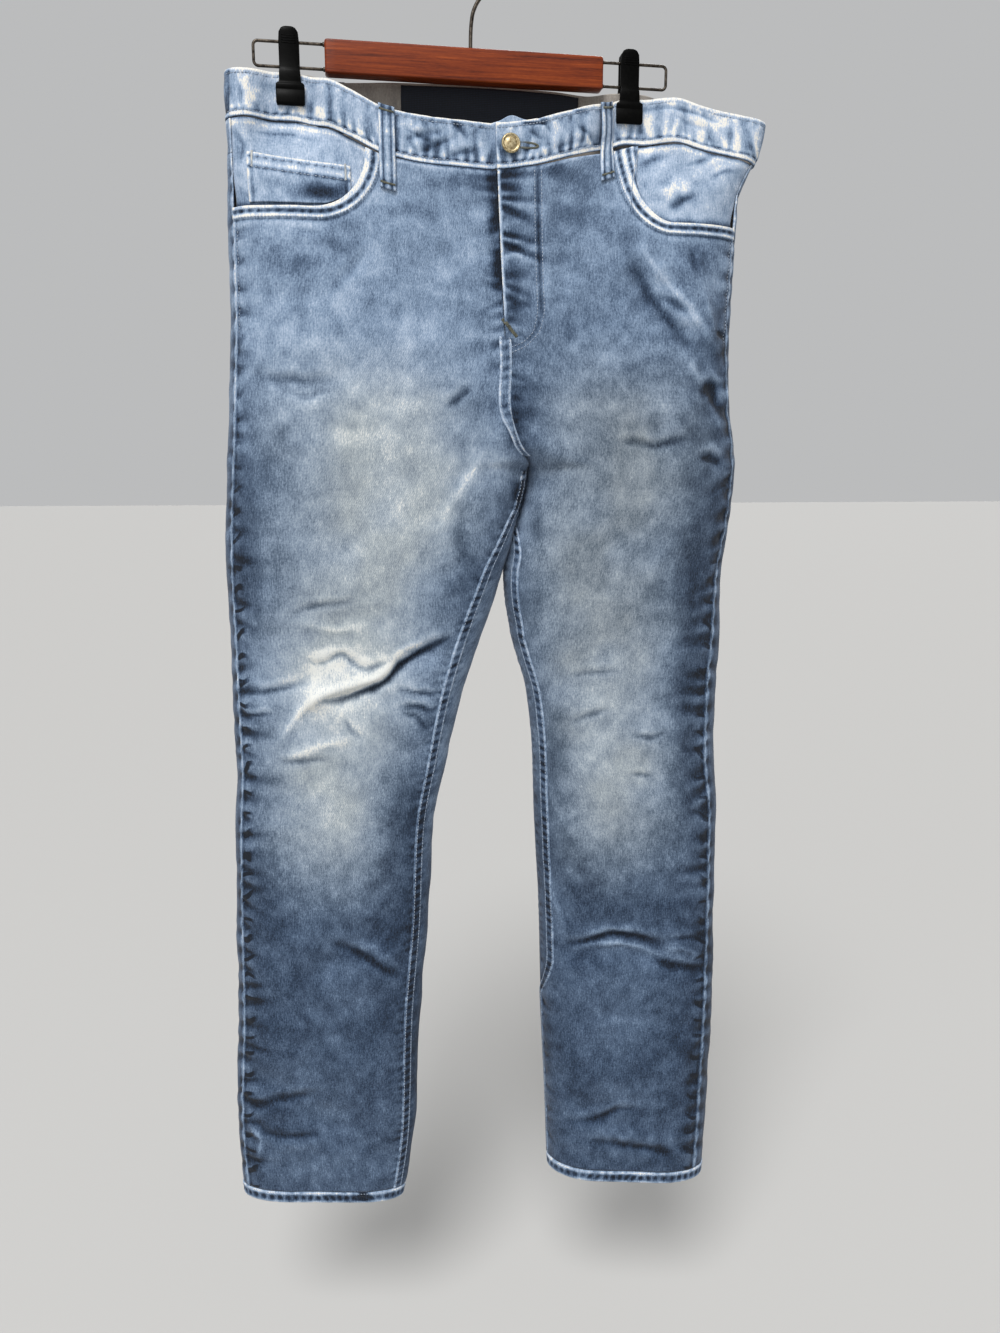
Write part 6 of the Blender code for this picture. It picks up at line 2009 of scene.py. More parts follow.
@dataclass
class BackPocket:
    """A plain patch pocket on a back, pointed below, its edges stitched twice."""

    leg: Leg
    columns: int = 74
    rows: int = 74

    def outline_point(self, share_x: Array, share_z: Array) -> tuple[Array, Array]:
        """x and z of a place on the pocket, by its shares across and down."""
        first, last = BACK_POCKET_X[self.leg.side]
        point = BACK_POCKET_POINT * (1 - np.abs(2 * share_x - 1))
        z = BACK_POCKET_TOP + (BACK_POCKET_SIDE - point - BACK_POCKET_TOP) * share_z
        x = first + (last - first) * share_x
        middle = (first + last) / 2
        return x + (middle - x) * BACK_POCKET_TAPER * share_z, z

    def build(self, shop: Workshop) -> None:
        """The pocket's wall, its thread and its corner tacks."""
        across, down = np.meshgrid(
            crowded_share(self.columns, 1.8, 0.08), crowded_share(self.rows, 1.8, 0.08)
        )
        x, z = self.outline_point(across, down)
        width, height = 0.150, 0.140
        edge = np.minimum(np.minimum(across, 1 - across) * width, (1 - down) * height)
        drop = down * height
        beat = 0.5 + 0.5 * np.sin(2 * math.pi * (x + z) / 0.0076 + cloud(x, z, 0.02, 91))
        below, tone = skin_face(x, z, 0.0, False)
        form = on_face(x, z, 0.0, False)
        follow = np.sum((below - form) * np.array([0.0, 1.0, 0.0]), axis=-1)
        tone = 0.55 + 0.12 * bell((across - 0.5) / 0.4) + 0.09 * cloud(x, z, 0.02, 92)
        ragged = cloud(x, z, 0.006, 94)
        pale = 0.36 + 0.14 * ragged
        tone = tone + pale * bell(edge / 0.0018) + pale * bell(drop / 0.0018)
        # The dark dashes along the stitch rows are painted shade in the stitched grooves.
        tone = tone - 0.42 * bell((edge - 0.0034) / 0.0013) * (0.25 + 0.75 * beat)
        tone = tone - 0.34 * bell((edge - 0.0095) / 0.0014) * (0.25 + 0.75 * beat)
        tone = tone + 0.5 * pale * bell((edge - 0.0064) / 0.0018)
        tone = tone - 0.40 * bell((drop - 0.0115) / 0.0014) * (0.25 + 0.75 * beat)
        wave = 0.0003 * cloud(x, z, 0.016, 93) - 0.00035 * bell((edge - 0.0095) / 0.0014)
        wave = wave + 0.0004 * (1 - smoothstep((drop - 0.0110) / 0.002))
        lift = 0.0013 + TRIM_CLOTH
        offset = np.zeros(x.shape + (3,))
        offset[..., 1] = follow
        outer = on_face(x, z, lift + wave, False) + offset
        inner = on_face(x, z, 0.0013 - 0.0006, False) + offset
        flat = np.stack([x, z], axis=-1)
        name = f"back_pocket_{self.leg.side}"
        shell = Shell(name, outer, inner, np.clip(tone, 0, 1), flat,
                      shop.made["denim"], shop.made["reverse"])
        shop.cloth(shell, (0.150, 0.156), (name,), 0.0205)
        out = np.array([0.0, 1.0, 0.0])
        self.thread(shop, out)

    def thread(self, shop: Workshop, out: Array) -> None:
        """Two rows round the sides and point, two along the top hem, and the corner tacks."""
        for inset in (0.0032, 0.0095):
            a = inset / 0.150
            corners = np.array([(a, 0.0), (a, 1 - a), (0.5, 1 - 1.1 * a), (1 - a, 1 - a), (1 - a, 0.0)])
            line = densify(corners, 240)
            x, z = self.outline_point(line[:, 0], line[:, 1])
            self.sew(shop, x, z, out)
        for inset in (0.0030, 0.0115):
            share = np.linspace(0.01, 0.99, 80)
            x, z = self.outline_point(share, np.full(80, inset / 0.140))
            self.sew(shop, x, z, out)
        for corner in (0.022, 0.978):
            x, z = self.outline_point(np.full(6, corner), np.linspace(0.0, 0.075, 6))
            places, _ = skin_face(x, z, 0.0013 + TRIM_CLOTH + 0.0004, False)
            bartack(shop.cream, places, np.broadcast_to(out, places.shape), 0.0024)

    def sew(self, shop: Workshop, x: Array, z: Array, out: Array) -> None:
        """A row of blue thread on the pocket."""
        places, _ = skin_face(x, z, 0.0013 + TRIM_CLOTH + 0.0001, False)
        shop.blue.row(places, np.broadcast_to(out, places.shape))


def densify(corners: Array, count: int) -> Array:
    """Places spread evenly along a polyline."""
    run = np.concatenate([[0], np.cumsum(np.linalg.norm(np.diff(corners, axis=0), axis=1))])
    at = np.linspace(0, run[-1], count)
    return np.stack([np.interp(at, run, corners[:, k]) for k in range(corners.shape[1])], axis=1)


@dataclass
class BeltLoop:
    """A belt loop, tacked above and below the waistband and standing off between."""

    name: str
    x: float
    front: bool
    columns: int = 19
    rows: int = 46

    def build(self, shop: Workshop) -> None:
        """The loop's wall: three lengthwise ridges, worn pale, and tacks at both ends."""
        path = columns(LOOP_PATH_COLUMNS, LOOP_PATH)
        drop = np.linspace(LOOP_PATH[0][0], LOOP_PATH[-1][0], self.rows)
        rise = monotone(path["drop"], path["lift"], drop)[:, None]
        share = np.linspace(-1, 1, self.columns)
        x = self.x + BELT_LOOP_WIDTH / 2 * share
        z = waist_edge(x, self.front) - drop[:, None]
        x = np.broadcast_to(x, z.shape)
        ridge = 0.5 + 0.5 * np.cos(3 * math.pi * share)
        profile = 0.00035 * ridge - 0.0007 * np.abs(share) ** 6
        slub = cloud(x, z, 0.0035, 95)
        ends = bell((drop[:, None] - 0.003) / 0.004) + bell((drop[:, None] - 0.064) / 0.004)
        aside = np.abs(share)
        tone = 0.62 + 0.34 * bell((aside - 0.84) / 0.14) + 0.20 * bell(share / 0.20)
        # Painted shade in the grooves between the pale ridges.
        tone = tone - 0.44 * bell((aside - 0.50) / 0.12) * (0.75 + 0.35 * slub)
        tone = tone + 0.12 * slub - 0.30 * ends
        lift = rise + profile + 0.0001 * slub - 0.0005 * ends
        outer = on_face(x, z, lift, self.front)
        inner = on_face(x, z, rise - BELT_LOOP_CLOTH, self.front)
        flat = np.stack([x, z], axis=-1)
        shell = Shell(self.name, outer, inner, np.clip(tone, 0, 1), flat,
                      shop.made["denim"], shop.made["denim"])
        shop.cloth(shell, (BELT_LOOP_WIDTH, 0.072), (self.name,))
        out = np.array([0.0, -1.0 if self.front else 1.0, 0.0])
        for at in (0.0035, 0.0635):
            x_bar = np.linspace(self.x - 0.006, self.x + 0.006, 8)
            z_bar = waist_edge(x_bar, self.front) - at
            height = float(monotone(path["drop"], path["lift"], np.array(at)))
            places = on_face(x_bar, z_bar, height, self.front)
            bartack(shop.tacks, places, np.broadcast_to(out, places.shape), 0.0020)


@dataclass
class Hem:
    """A turned hem, a closed ring below the leg's panels."""

    leg: Leg
    columns: int = 230
    rows: int = 12

    def build(self, shop: Workshop) -> None:
        """The ring, with a frayed upper edge, ladder-like puckers and a rolled lower edge."""
        leg = self.leg
        q = -1 + 2 * np.arange(self.columns) / self.columns
        down = np.linspace(1, 0, self.rows)[:, None]
        z = np.full((self.rows, self.columns), leg.hem[0])
        for _ in range(3):
            x = leg.base(np.broadcast_to(q, z.shape), z)[..., 0]
            z = leg.hem_z(x) + (HEM_HEIGHT - SEAM_GAP / 2) * down
        q = np.broadcast_to(q, z.shape)
        ahead = leg.lengths(z, True)["total"]
        behind = leg.lengths(z, False)["total"]
        run = np.where(q >= 0, q * ahead, q * behind)
        height = HEM_HEIGHT * down + 0 * z
        phase = run / 0.0074 + 0.5 * cloud(run, height, 0.02, 96)
        beat = 0.5 + 0.5 * np.sin(2 * math.pi * (phase + 22 * height))
        base = 0.44
        fray = cloud(run, height, 0.0042, 99)
        tone = base + 0.14 * cloud(run, height, 0.010, 97)
        tone = tone + (0.46 + 0.34 * fray) * bell((HEM_HEIGHT - 0.0012 - height) / 0.0016)
        # Painted shade in the pits of the puckers across the hem's middle.
        tone = tone - (0.58 + 0.20 * cloud(run, 0 * run, 0.016, 98)) * beat * bell((height - 0.0058) / 0.0030)
        # Over 12 mm of the right hem's front the tone is painted dark: a painted shadow in a gap of the hem.
        gap_shadow = bell((x + 0.122) / 0.0055) * (q > 0) * (leg is RIGHT)
        tone = tone - 0.75 * gap_shadow * smoothstep((height - 0.0015) / 0.002)
        tone = tone + (0.34 + 0.20 * fray) * bell((height - 0.0006) / 0.0016)
        wave = 0.0004 * bell((height - 0.0095) / 0.002) - 0.0011 * beat * bell((height - 0.006) / 0.003)
        wave = wave - 0.0005 * bell(height / 0.0008)
        outer = leg.point(q, z, 0.0007 + wave)
        inner = leg.point(q, z, -0.0019 + 0 * wave)
        flat = np.stack([run, z], axis=-1)
        name = f"hem_{leg.side}"
        shell = Shell(name, outer, inner, np.clip(tone, 0, 1), flat,
                      shop.made["denim"], shop.made["reverse"], ring=True)
        shop.cloth(shell, (0.385, HEM_HEIGHT), (name,))


@dataclass
class SeamStrip:
    """A flat-felled seam: a raised strip over a seam, sewn twice, with ladder-like puckers.

    place gives, for an offset across and a share along, the points and the tone below.
    """

    name: str
    place: Callable[[Array, Array, Array], tuple[Array, Array]]
    length: float
    width: float = 0.0115
    seed: int = 1
    shade: float = 0.58
    crest: float = 0.34

    def build(self, shop: Workshop, normal: Callable[[Array, Array], Array]) -> bpy.types.Object:
        """The strip's wall: a low plateau with pale edges, cut by dark dashes 8 mm apart.

        Args:
            shop: what the sub-assemblies share.
            normal: gives outward directions for an offset and a share.

        Returns:
            The piece.
        """
        rows = int(self.length / 0.0012)
        share = np.linspace(0, 1, rows)[:, None]
        half = self.width / 2
        across = np.linspace(-1, 1, 13)[None, :] * half
        across, share = np.broadcast_arrays(across, share)
        run = share * self.length
        edge = half - np.abs(across)
        step = 0.0083
        phase = run / step + 0.32 * cloud(run, 0 * run, 0.03, self.seed)
        slant = 26 * across
        beat = np.clip(0.5 + 0.5 * np.sin(2 * math.pi * (phase + slant)), 0, 1) ** 1.3
        power = 0.62 + 0.38 * cloud(run, 0 * run, 0.011, self.seed + 1)
        pit = beat * power * bell(across / (0.44 * self.width))
        lift = 0.0001 + 0.00075 * smoothstep(edge / 0.0012) - 0.0006 * pit
        below = np.full_like(lift, 0.00005)
        outer, tone = self.place(across, share, lift)
        inner, _ = self.place(across, share, below)
        ragged = cloud(run, across, 0.0045, self.seed + 2)
        # Painted shade in the pits between the puckers, and pale worn edges.
        tone = tone - self.shade * pit
        tone = tone + (self.crest + 0.09 * ragged) * bell((edge - 0.0012) / 0.0013)
        flat = np.stack([across, run], axis=-1)
        shell = Shell(self.name, outer, inner, np.clip(tone, 0, 1), flat,
                      shop.made["denim"], shop.made["denim"])
        obj = shop.place(shell.build(), "denim")
        for side in (-1, 1):
            fine = np.linspace(0, 1, max(int(self.length / 0.0015), 12))
            offset = np.full_like(fine, side * (half - 0.0022))
            places, _ = self.place(offset, fine, np.full_like(fine, 0.0009))
            shop.blue.row(places, normal(offset, fine))
        return obj


@dataclass
class Seams:
    """Every felled seam and plain row of stitching on the legs, rise and yokes."""

    def inseam(self, shop: Workshop, leg: Leg) -> None:
        """The felled inseam of one leg, from the crotch to the hem."""
        top, low = CROTCH_Z - 0.004, leg.hem[1] + HEM_HEIGHT + 0.001

        def spot(across: Array, share: Array) -> tuple[Array, Array]:
            """q and z of a place on the strip, across measured round the cloth."""
            z = top + (low - top) * share
            ahead = leg.lengths(z, True)["total"]
            behind = leg.lengths(z, False)["total"]
            shown = smoothstep((-0.500 - z) / 0.035) * (1 - smoothstep((-0.955 - z) / 0.05))
            inset = 0.0075 * shown if leg is LEFT else np.maximum(leg.value("seam_in", z), 0.0066)
            middle = leg.q_inside(inset, z, outer=False)
            room = (1 - middle) * ahead
            past = np.clip(across - room, 0, None)
            return middle + (across - past) / ahead + past / behind, z

        def place(across: Array, share: Array, lift: Array) -> tuple[Array, Array]:
            """Points and tone of the strip."""
            q, z = spot(across, share)
            clipped = np.minimum(q, leg.inseam(z))
            rise, tone = leg.relief(clipped, z, Face.FRONT)
            proud = 0.0005 * bell((z + 0.490) / 0.050)
            return leg.point(q, z, np.clip(rise, -0.001, 0.0035) + lift + proud), tone

        def normal(across: Array, share: Array) -> Array:
            """Outward directions on the strip."""
            q, z = spot(across, share)
            return leg.normal(q, z)

        SeamStrip(f"inseam_{leg.side}", place, top - low, seed=100 + leg.sign).build(shop, normal)

    def centre(self, shop: Workshop, front: bool) -> None:
        """The felled centre seam, in front from the fly's end and behind from the waist."""
        start = FLY_END_Z - 0.012 if front else float(yoke_seam(np.array(0.025))) + 0.050
        end = CROTCH_Z + 0.010

        def spot(across: Array, share: Array) -> tuple[Array, Array]:
            """x and z of a place on the strip."""
            z = start + (end - start) * share
            middle = RIGHT.value("x_in", z)
            if front:
                middle = middle - 0.0048 * bell((z + 0.392) / 0.028)
            return middle + across, z

        def place(across: Array, share: Array, lift: Array) -> tuple[Array, Array]:
            """Points and tone of the strip."""
            x, z = spot(across, share)
            return on_face(x, z, lift, front) , 0.50 + 0.05 * cloud(x, z, 0.01, 111)

        def normal(across: Array, share: Array) -> Array:
            """Outward directions on the strip."""
            x, z = spot(across, share)
            flat = np.zeros(x.shape + (3,))
            flat[..., 1] = -1.0 if front else 1.0
            return flat

        name = "centre_front_seam" if front else "centre_back_seam"
        shade = 0.30 if front else 0.42
        SeamStrip(name, place, start - end, seed=120 + int(front), shade=shade).build(shop, normal)

    def yoke(self, shop: Workshop, leg: Leg) -> None:
        """The felled seam below one yoke."""
        x_first = float(leg.value("x_out", np.array(-0.2))) - leg.sign * 0.0045
        x_last = float(leg.value("x_in", np.array(-0.2))) + leg.sign * 0.006

        def spot(across: Array, share: Array) -> tuple[Array, Array]:
            """x and z of a place on the strip."""
            x = x_first + (x_last - x_first) * share
            return x, yoke_seam(x) + across

        def place(across: Array, share: Array, lift: Array) -> tuple[Array, Array]:
            """Points and tone of the strip."""
            x, z = spot(across, share)
            points, tone = skin_face(x, z, lift, False)
            return points, tone

        def normal(across: Array, share: Array) -> Array:
            """Outward directions on the strip."""
            x, _ = spot(across, share)
            flat = np.zeros(x.shape + (3,))
            flat[..., 1] = 1.0
            return flat

        length = abs(x_last - x_first)
        strip = SeamStrip(f"yoke_seam_{leg.side}", place, length, seed=130 + leg.sign, shade=0.40)
        strip.build(shop, normal)

    def rows(self, shop: Workshop) -> None:
        """Plain rows of thread: outseams, pocket edges, fly, waistband and hems."""
        for leg in (RIGHT, LEFT):
            z = np.linspace(-0.236, -1.196, 700)
            q = leg.outseam(z) + 0.0052 / leg.lengths(z, True)["total"]
            places, _ = leg.skin(q, z, 0.0001, Face.FRONT)
            top = z > -0.330
            shop.blue.row(places[top], leg.normal(q, z)[top])
            path = densify(leg.pocket_path()[:-1], 200)
            for inset in (0.0030, 0.0098):
                step = np.gradient(path, axis=0)
                step = step / np.linalg.norm(step, axis=1, keepdims=True)
                inward = np.stack([step[:, 1], -step[:, 0]], axis=1) * -leg.sign
                line = path + inward * inset
                keep = np.abs(line[:, 0]) < abs(leg.value("x_out", -0.23)) - 0.006
                places, _ = skin_face(line[keep, 0], line[keep, 1], 0.0001, True)
                q = leg.q_at(line[keep, 0], line[keep, 1], True)
                shop.blue.row(places, leg.normal(q, line[keep, 1]))
            q = np.linspace(-1, 1, 500)
            x = leg.base(q, np.full(500, leg.hem[0]))[:, 0]
            z_line = leg.hem_z(x) + 0.0112
            places = leg.point(q, z_line, 0.0009)
            shop.blue.row(places, leg.normal(q, z_line))
        self.fly(shop)
        self.band(shop)

    def fly(self, shop: Workshop) -> None:
        """The fly's curved double row, its tack, and the row along its edge."""
        for inset in (0.0, 0.0062):
            path = soften(np.array([
                (62.5 - inset * 1000, -186), (62.5 - inset * 1000, -230),
                (63.5 - inset * 1000, -280), (64.5 - inset * 1000, -308),
                (60 - inset * 900, -326), (48 - inset * 500, -338 + inset * 500),
                (34, -344 + inset * 800),
            ]) * MM, 90)
            places, _ = skin_face(path[:, 0], path[:, 1], 0.0001, True)
            q = LEFT.q_at(path[:, 0], path[:, 1], True)
            shop.blue.row(places, LEFT.normal(q, path[:, 1]))
        line = densify(np.array([(0.0262, -0.3150), (0.0390, -0.3300)]), 10)
        places, _ = skin_face(line[:, 0], line[:, 1], 0.0003, True)
        q = LEFT.q_at(line[:, 0], line[:, 1], True)
        bartack(shop.tacks, places, LEFT.normal(q, line[:, 1]), 0.0034)

    def band(self, shop: Workshop) -> None:
        """Rows along the top and bottom of the waistband, all round."""
        for front in (True, False):
            for drop in (0.0042, 0.0345):
                x = np.linspace(-0.2095, 0.2820, 520)
                z = waist_edge(x, front) - drop
                x_in = RIGHT.value("x_in", z)
                raised = BAND_RAISE * (1 - smoothstep((x - UNDERLAP_END_X) / 0.030)) if front else 0
                for leg, here in ((RIGHT, x < x_in - 0.001), (LEFT, x > x_in + 0.001)):
                    if front and leg is RIGHT:
                        sunk = -BAND_RAISE * (1 - smoothstep(np.abs(x - x_in) / 0.040))
                    else:
                        sunk = raised + 0 * x
                    q = leg.q_at(x, z, front)
                    places = leg.point(q, z, BAND_LIFT + sunk - 0.0001)
                    shop.blue.row(places[here], leg.normal(q, z)[here])


@dataclass
class InnerLabel:
    """The wide bare label on the inner face of the waistband's back."""

    columns: int = 70
    rows: int = 20

    def build(self, shop: Workshop) -> None:
        """The label's wall, plain all over, slightly rippled."""
        x = np.linspace(*LABEL_X, self.columns)
        drop = np.linspace(0.002, 0.038, self.rows)[:, None]
        lift = BAND_LIFT - BAND_CLOTH - 0.0008
        z = waist_edge(x, False) - drop
        x = np.broadcast_to(x, z.shape)
        wave = 0.00025 * cloud(x, z, 0.02, 98)
        outer = on_face(x, z, lift + wave, False)
        inner = on_face(x, z, lift - 0.0010 + wave, False)
        tone = np.full(x.shape, 0.5)
        tape = shop.made["tape"]
        shell = Shell("inner_label", outer, inner, tone, np.stack([x, z], -1), tape, tape)
        obj = shop.place(shell.build(), "dark_tape", "inner_label")


BUTTON_PROFILE = (
    (0.0, 0.0), (0.0045, 0.0), (0.0047, 0.0006), (0.0074, 0.0010), (0.0083, 0.0015),
    (0.0086, 0.0022), (0.0084, 0.0030), (0.0078, 0.0036), (0.0072, 0.0037), (0.0067, 0.0033),
    (0.0064, 0.0027), (0.0058, 0.0025), (0.0052, 0.0027), (0.0049, 0.0031), (0.0042, 0.0034),
    (0.0028, 0.0036), (0.0012, 0.0037), (0.0, 0.0037),
)


@dataclass
class WaistButton:
    """A turned tack button on the overlap, with the keyhole worked in thread beside it."""

    sides: int = 56

    def build(self, shop: Workshop) -> None:
        """Turns the profile about the cloth's normal, then works the buttonhole."""
        z = float(waist_edge(np.array(BUTTON_X), True)) - BUTTON_DROP
        lift = BAND_LIFT + BAND_RAISE + 0.0004
        seat = on_face(BUTTON_X, z, lift, True)
        ahead = on_face(BUTTON_X, z, lift + 0.01, True) - seat
        ahead = ahead / np.linalg.norm(ahead)
        side = np.cross(ahead, (0.0, 0.0, 1.0))
        side = side / np.linalg.norm(side)
        up = np.cross(side, ahead)
        profile = np.array(BUTTON_PROFILE)
        turn = 2 * math.pi * np.arange(self.sides) / self.sides
        radius, height = profile[1:-1, 0][:, None], profile[1:-1, 1][:, None]
        rings = (
            seat
            + (radius * np.cos(turn))[..., None] * side
            + (radius * np.sin(turn))[..., None] * up
            + (height + 0 * turn)[..., None] * ahead
        )
        count = len(profile) - 2
        points = np.concatenate([rings.reshape(-1, 3), [seat, seat + ahead * profile[-1, 1]]])
        j = np.arange(self.sides)
        k = (j + 1) % self.sides
        low, high = count * self.sides, count * self.sides + 1
        last = (count - 1) * self.sides
        under = np.stack([k, j, np.full_like(j, low)], -1)
        over = np.stack([last + j, last + k, np.full_like(j, high)], -1)
        wall = grid_faces(count, self.sides, 0, True)
        button = make_mesh("waist_button", points, [wall, np.concatenate([under, over])],
                           [shop.made["brass"]])
        shop.place(button, "button_metal", "waist_button")
        self.buttonhole(shop, z)

    def buttonhole(self, shop: Workshop, z: float) -> None:
        """A ring of close stitches across the edge of a keyhole slot, from the button outwards."""
        turn = np.linspace(0, 2 * math.pi, 74)[:-1]
        x = BUTTON_X + 0.0125 + 0.0115 * np.cos(turn)
        height = z + 0.0012 * np.sin(turn) * (1.0 + 0.3 * np.cos(turn))
        wide_x = BUTTON_X + 0.0125 + 0.0136 * np.cos(turn)
        wide_z = z + 0.0036 * np.sin(turn)
        lift = BAND_LIFT + BAND_RAISE + 0.0002
        start, end = on_face(x, height, lift, True), on_face(wide_x, wide_z, lift, True)
        out = np.broadcast_to(np.array([0.0, -1.0, 0.0]), start.shape)
        shop.tacks.add(start, end, out, 0.00042)


def tube(points: Array, radius: float, sides: int) -> tuple[Array, list[Array]]:
    """A round wire along a line: a circle carried by parallel transport, closed at both ends.

    Args:
        points: the line's points.
        radius: the wire's radius.
        sides: faces round it.

    Returns:
        Its vertices and face blocks.
    """
    points = np.asarray(points, dtype=float)
    along = np.gradient(points, axis=0)
    along = along / np.linalg.norm(along, axis=1, keepdims=True)
    side = np.cross(along, np.array([0.0, 1.0, 0.0]))
    side = side / np.maximum(np.linalg.norm(side, axis=1, keepdims=True), 1e-9)
    up = np.cross(side, along)
    turn = 2 * math.pi * np.arange(sides) / sides
    ring = np.cos(turn)[None, :, None] * side[:, None] + np.sin(turn)[None, :, None] * up[:, None]
    vertices = (points[:, None] + radius * ring).reshape(-1, 3)
    count = len(points)
    ends = np.concatenate([vertices, points[:1] - along[:1] * radius * 0.3,
                           points[-1:] + along[-1:] * radius * 0.3])
    j = np.arange(sides)
    k = (j + 1) % sides
    last = (count - 1) * sides
    caps = np.concatenate([
        np.stack([k, j, np.full_like(j, count * sides)], -1),
        np.stack([last + j, last + k, np.full_like(j, count * sides + 1)], -1),
    ])
    return ends, [grid_faces(count, sides, 0, True), caps]


def rounded_ring(half_x: float, low: float, high: float, ease: float, count: int = 5) -> Array:
    """A rectangle with quarter-circle corners, as a closed line of x and y."""
    corners = ((half_x, high, 0), (-half_x, high, 90), (-half_x, low, 180), (half_x, low, 270))
    line = []
    for x, y, first in corners:
        turn = np.radians(first + 90 * np.linspace(0, 1, count))
        centre_x, centre_y = x - math.copysign(ease, x), y - math.copysign(ease, y - (low + high) / 2)
        line.append(np.stack([centre_x + ease * np.cos(turn), centre_y + ease * np.sin(turn)], 1))
    return np.concatenate(line)


@dataclass
class Hanger:
    """The wooden bar, its hook and its two wire loops."""

    wire_sides: int = 16

    def build(self, shop: Workshop) -> None:
        """Builds and dresses each piece."""
        self.bar(shop)
        self.hook(shop)
        for sign, side in ((-1, "right"), (1, "left")):
            self.loop(shop, sign, side)
            self.ferrule(shop, sign, side)

    def bar(self, shop: Workshop) -> None:
        """The bar: a rounded rectangle carried along X, drawn in at both ends."""
        ease = 0.0018
        ring = rounded_ring(BAR_DEPTH / 2, -BAR_HEIGHT / 2, BAR_HEIGHT / 2, ease)
        half = BAR_LENGTH / 2
        stations = ((-half, 0.82), (-half + 0.0003, 0.90), (-half + 0.0012, 0.975), (-half + 0.0026, 1.0))
        inner = [(x, 1.0) for x in np.linspace(-half + 0.01, half - 0.01, 24)]
        rows = (*stations, *inner, *((-x, s) for x, s in stations[::-1]))
        middle = BAR_TOP - BAR_HEIGHT / 2
        rings = []
        for x, scale in rows:
            shrink = np.sign(ring) * (1 - scale) * 0.010
            line = ring - shrink
            rings.append(np.stack([np.full(len(line), x), line[:, 0], line[:, 1] + middle], 1))
        points = np.array(rings)
        count, size = points.shape[:2]
        wall = grid_faces(count, size, 0, True)
        ends = np.stack([np.arange(size)[::-1], (count - 1) * size + np.arange(size)])
        obj = make_mesh("hanger_bar", points.reshape(-1, 3), [wall, ends], [shop.made["wood"]])
        self.flatten_ends(obj)
        shop.place(obj, "wood", "hanger_bar")

    def flatten_ends(self, obj: bpy.types.Object) -> None:
        """Shades the two end faces flat."""
        for polygon in obj.data.polygons:
            if polygon.loop_total > 4:
                polygon.use_smooth = False

    def hook(self, shop: Workshop) -> None:
        """The hook: an S from the bar's top into three quarters of a circle."""
        centre = HOOK_WIRE - HOOK_RADIUS
        stem = np.array([(0.0040, BAR_TOP + 0.0003), (0.0041, -0.070), (0.0046, -0.060),
                         (0.0060, -0.050), (0.0092, -0.0425)])
        turn = np.radians(np.linspace(-52, 205, 80))
        bend = np.stack([HOOK_RADIUS * np.cos(turn), centre + HOOK_RADIUS * np.sin(turn)], 1)
        line = np.concatenate([soften(np.concatenate([stem, bend[:1]]), 24)[:-1], bend])
        points = np.stack([line[:, 0], 0 * line[:, 0], line[:, 1]], axis=1)
        vertices, faces = tube(points, HOOK_WIRE, self.wire_sides)
        obj = make_mesh("hanger_hook", vertices, faces, [shop.made["wire"]])
        shop.place(obj, "wire", "hanger_hook")

    def loop(self, shop: Workshop, sign: int, side: str) -> None:
        """A flat loop that runs out from the bar's end and back, with round corners."""
        end = sign * (BAR_LENGTH / 2 + 0.0003)
        far = sign * (BAR_LENGTH / 2 + LOOP_REACH)
        straight = np.linspace(end, far - sign * LOOP_CORNER, 14)[:-1]
        line = [np.stack([straight, np.full(13, LOOP_TOP)], 1)]
        for corner, first in ((LOOP_TOP - LOOP_CORNER, 90), (LOOP_BOTTOM + LOOP_CORNER, 0)):
            turn = np.radians(first - 90 * np.linspace(0, 1, 10))
            x = far - sign * LOOP_CORNER + sign * LOOP_CORNER * np.cos(turn)
            line.append(np.stack([x, corner + LOOP_CORNER * np.sin(turn)], 1))
        line.append(np.stack([straight[::-1], np.full(13, LOOP_BOTTOM)], 1))
        path = np.concatenate(line)
        points = np.stack([path[:, 0], 0 * path[:, 0], path[:, 1]], axis=1)
        vertices, faces = tube(points, LOOP_WIRE, self.wire_sides)
        obj = make_mesh(f"wire_loop_{side}", vertices, faces, [shop.made["wire"]])
        shop.place(obj, "wire", f"wire_loop_{side}")

    def ferrule(self, shop: Workshop, sign: int, side: str) -> None:
        """Small collars where the wires enter the bar's end."""
        blocks, faces, start = [], [], 0
        for z in (LOOP_TOP, LOOP_BOTTOM):
            x = sign * (BAR_LENGTH / 2 + np.array([-0.0004, 0.0014]))
            points = np.stack([x, 0 * x, np.full(2, z)], axis=1)
            vertices, parts = tube(points, LOOP_WIRE * 1.5, self.wire_sides)
            blocks.append(vertices)
            faces += [part + start for part in parts]
            start += len(vertices)
        obj = make_mesh(f"wire_collars_{side}", np.concatenate(blocks), faces, [shop.made["wire"]])
        shop.place(obj, "wire")


CLIP_COLUMNS = ("z", "half_width", "near", "far")
CLIP_ROWS = (
    (-0.0720, 0.0030, 0.0030, 0.0050),
    (-0.0725, 0.0048, 0.0027, 0.0053),
    (-0.0735, 0.0064, 0.0023, 0.0055),
    (-0.0765, 0.0083, 0.0018, 0.0053),
    (-0.0830, 0.0088, 0.0018, 0.0050),
    (-0.0920, 0.0088, 0.0018, 0.0049),
    (-0.1040, 0.0088, 0.0018, 0.0050),
    (-0.1065, 0.0089, 0.0034, 0.0058),
    (-0.1080, 0.0091, 0.0034, 0.0064),
    (-0.1150, 0.0094, 0.0034, 0.0064),
    (-0.1165, 0.0098, 0.0034, 0.0062),
    (-0.1175, 0.0116, 0.0034, 0.0068),
    (-0.1185, 0.0123, 0.0034, 0.0072),
    (-0.1220, 0.0124, 0.0034, 0.0073),
    (-0.1224, 0.0124, 0.0034, 0.0069),
    (-0.1230, 0.0124, 0.0034, 0.0069),
    (-0.1234, 0.0124, 0.0034, 0.0073),
    (-0.1325, 0.0124, 0.0034, 0.0072),
    (-0.1342, 0.0122, 0.0034, 0.0070),
    (-0.1350, 0.0116, 0.0036, 0.0064),
)


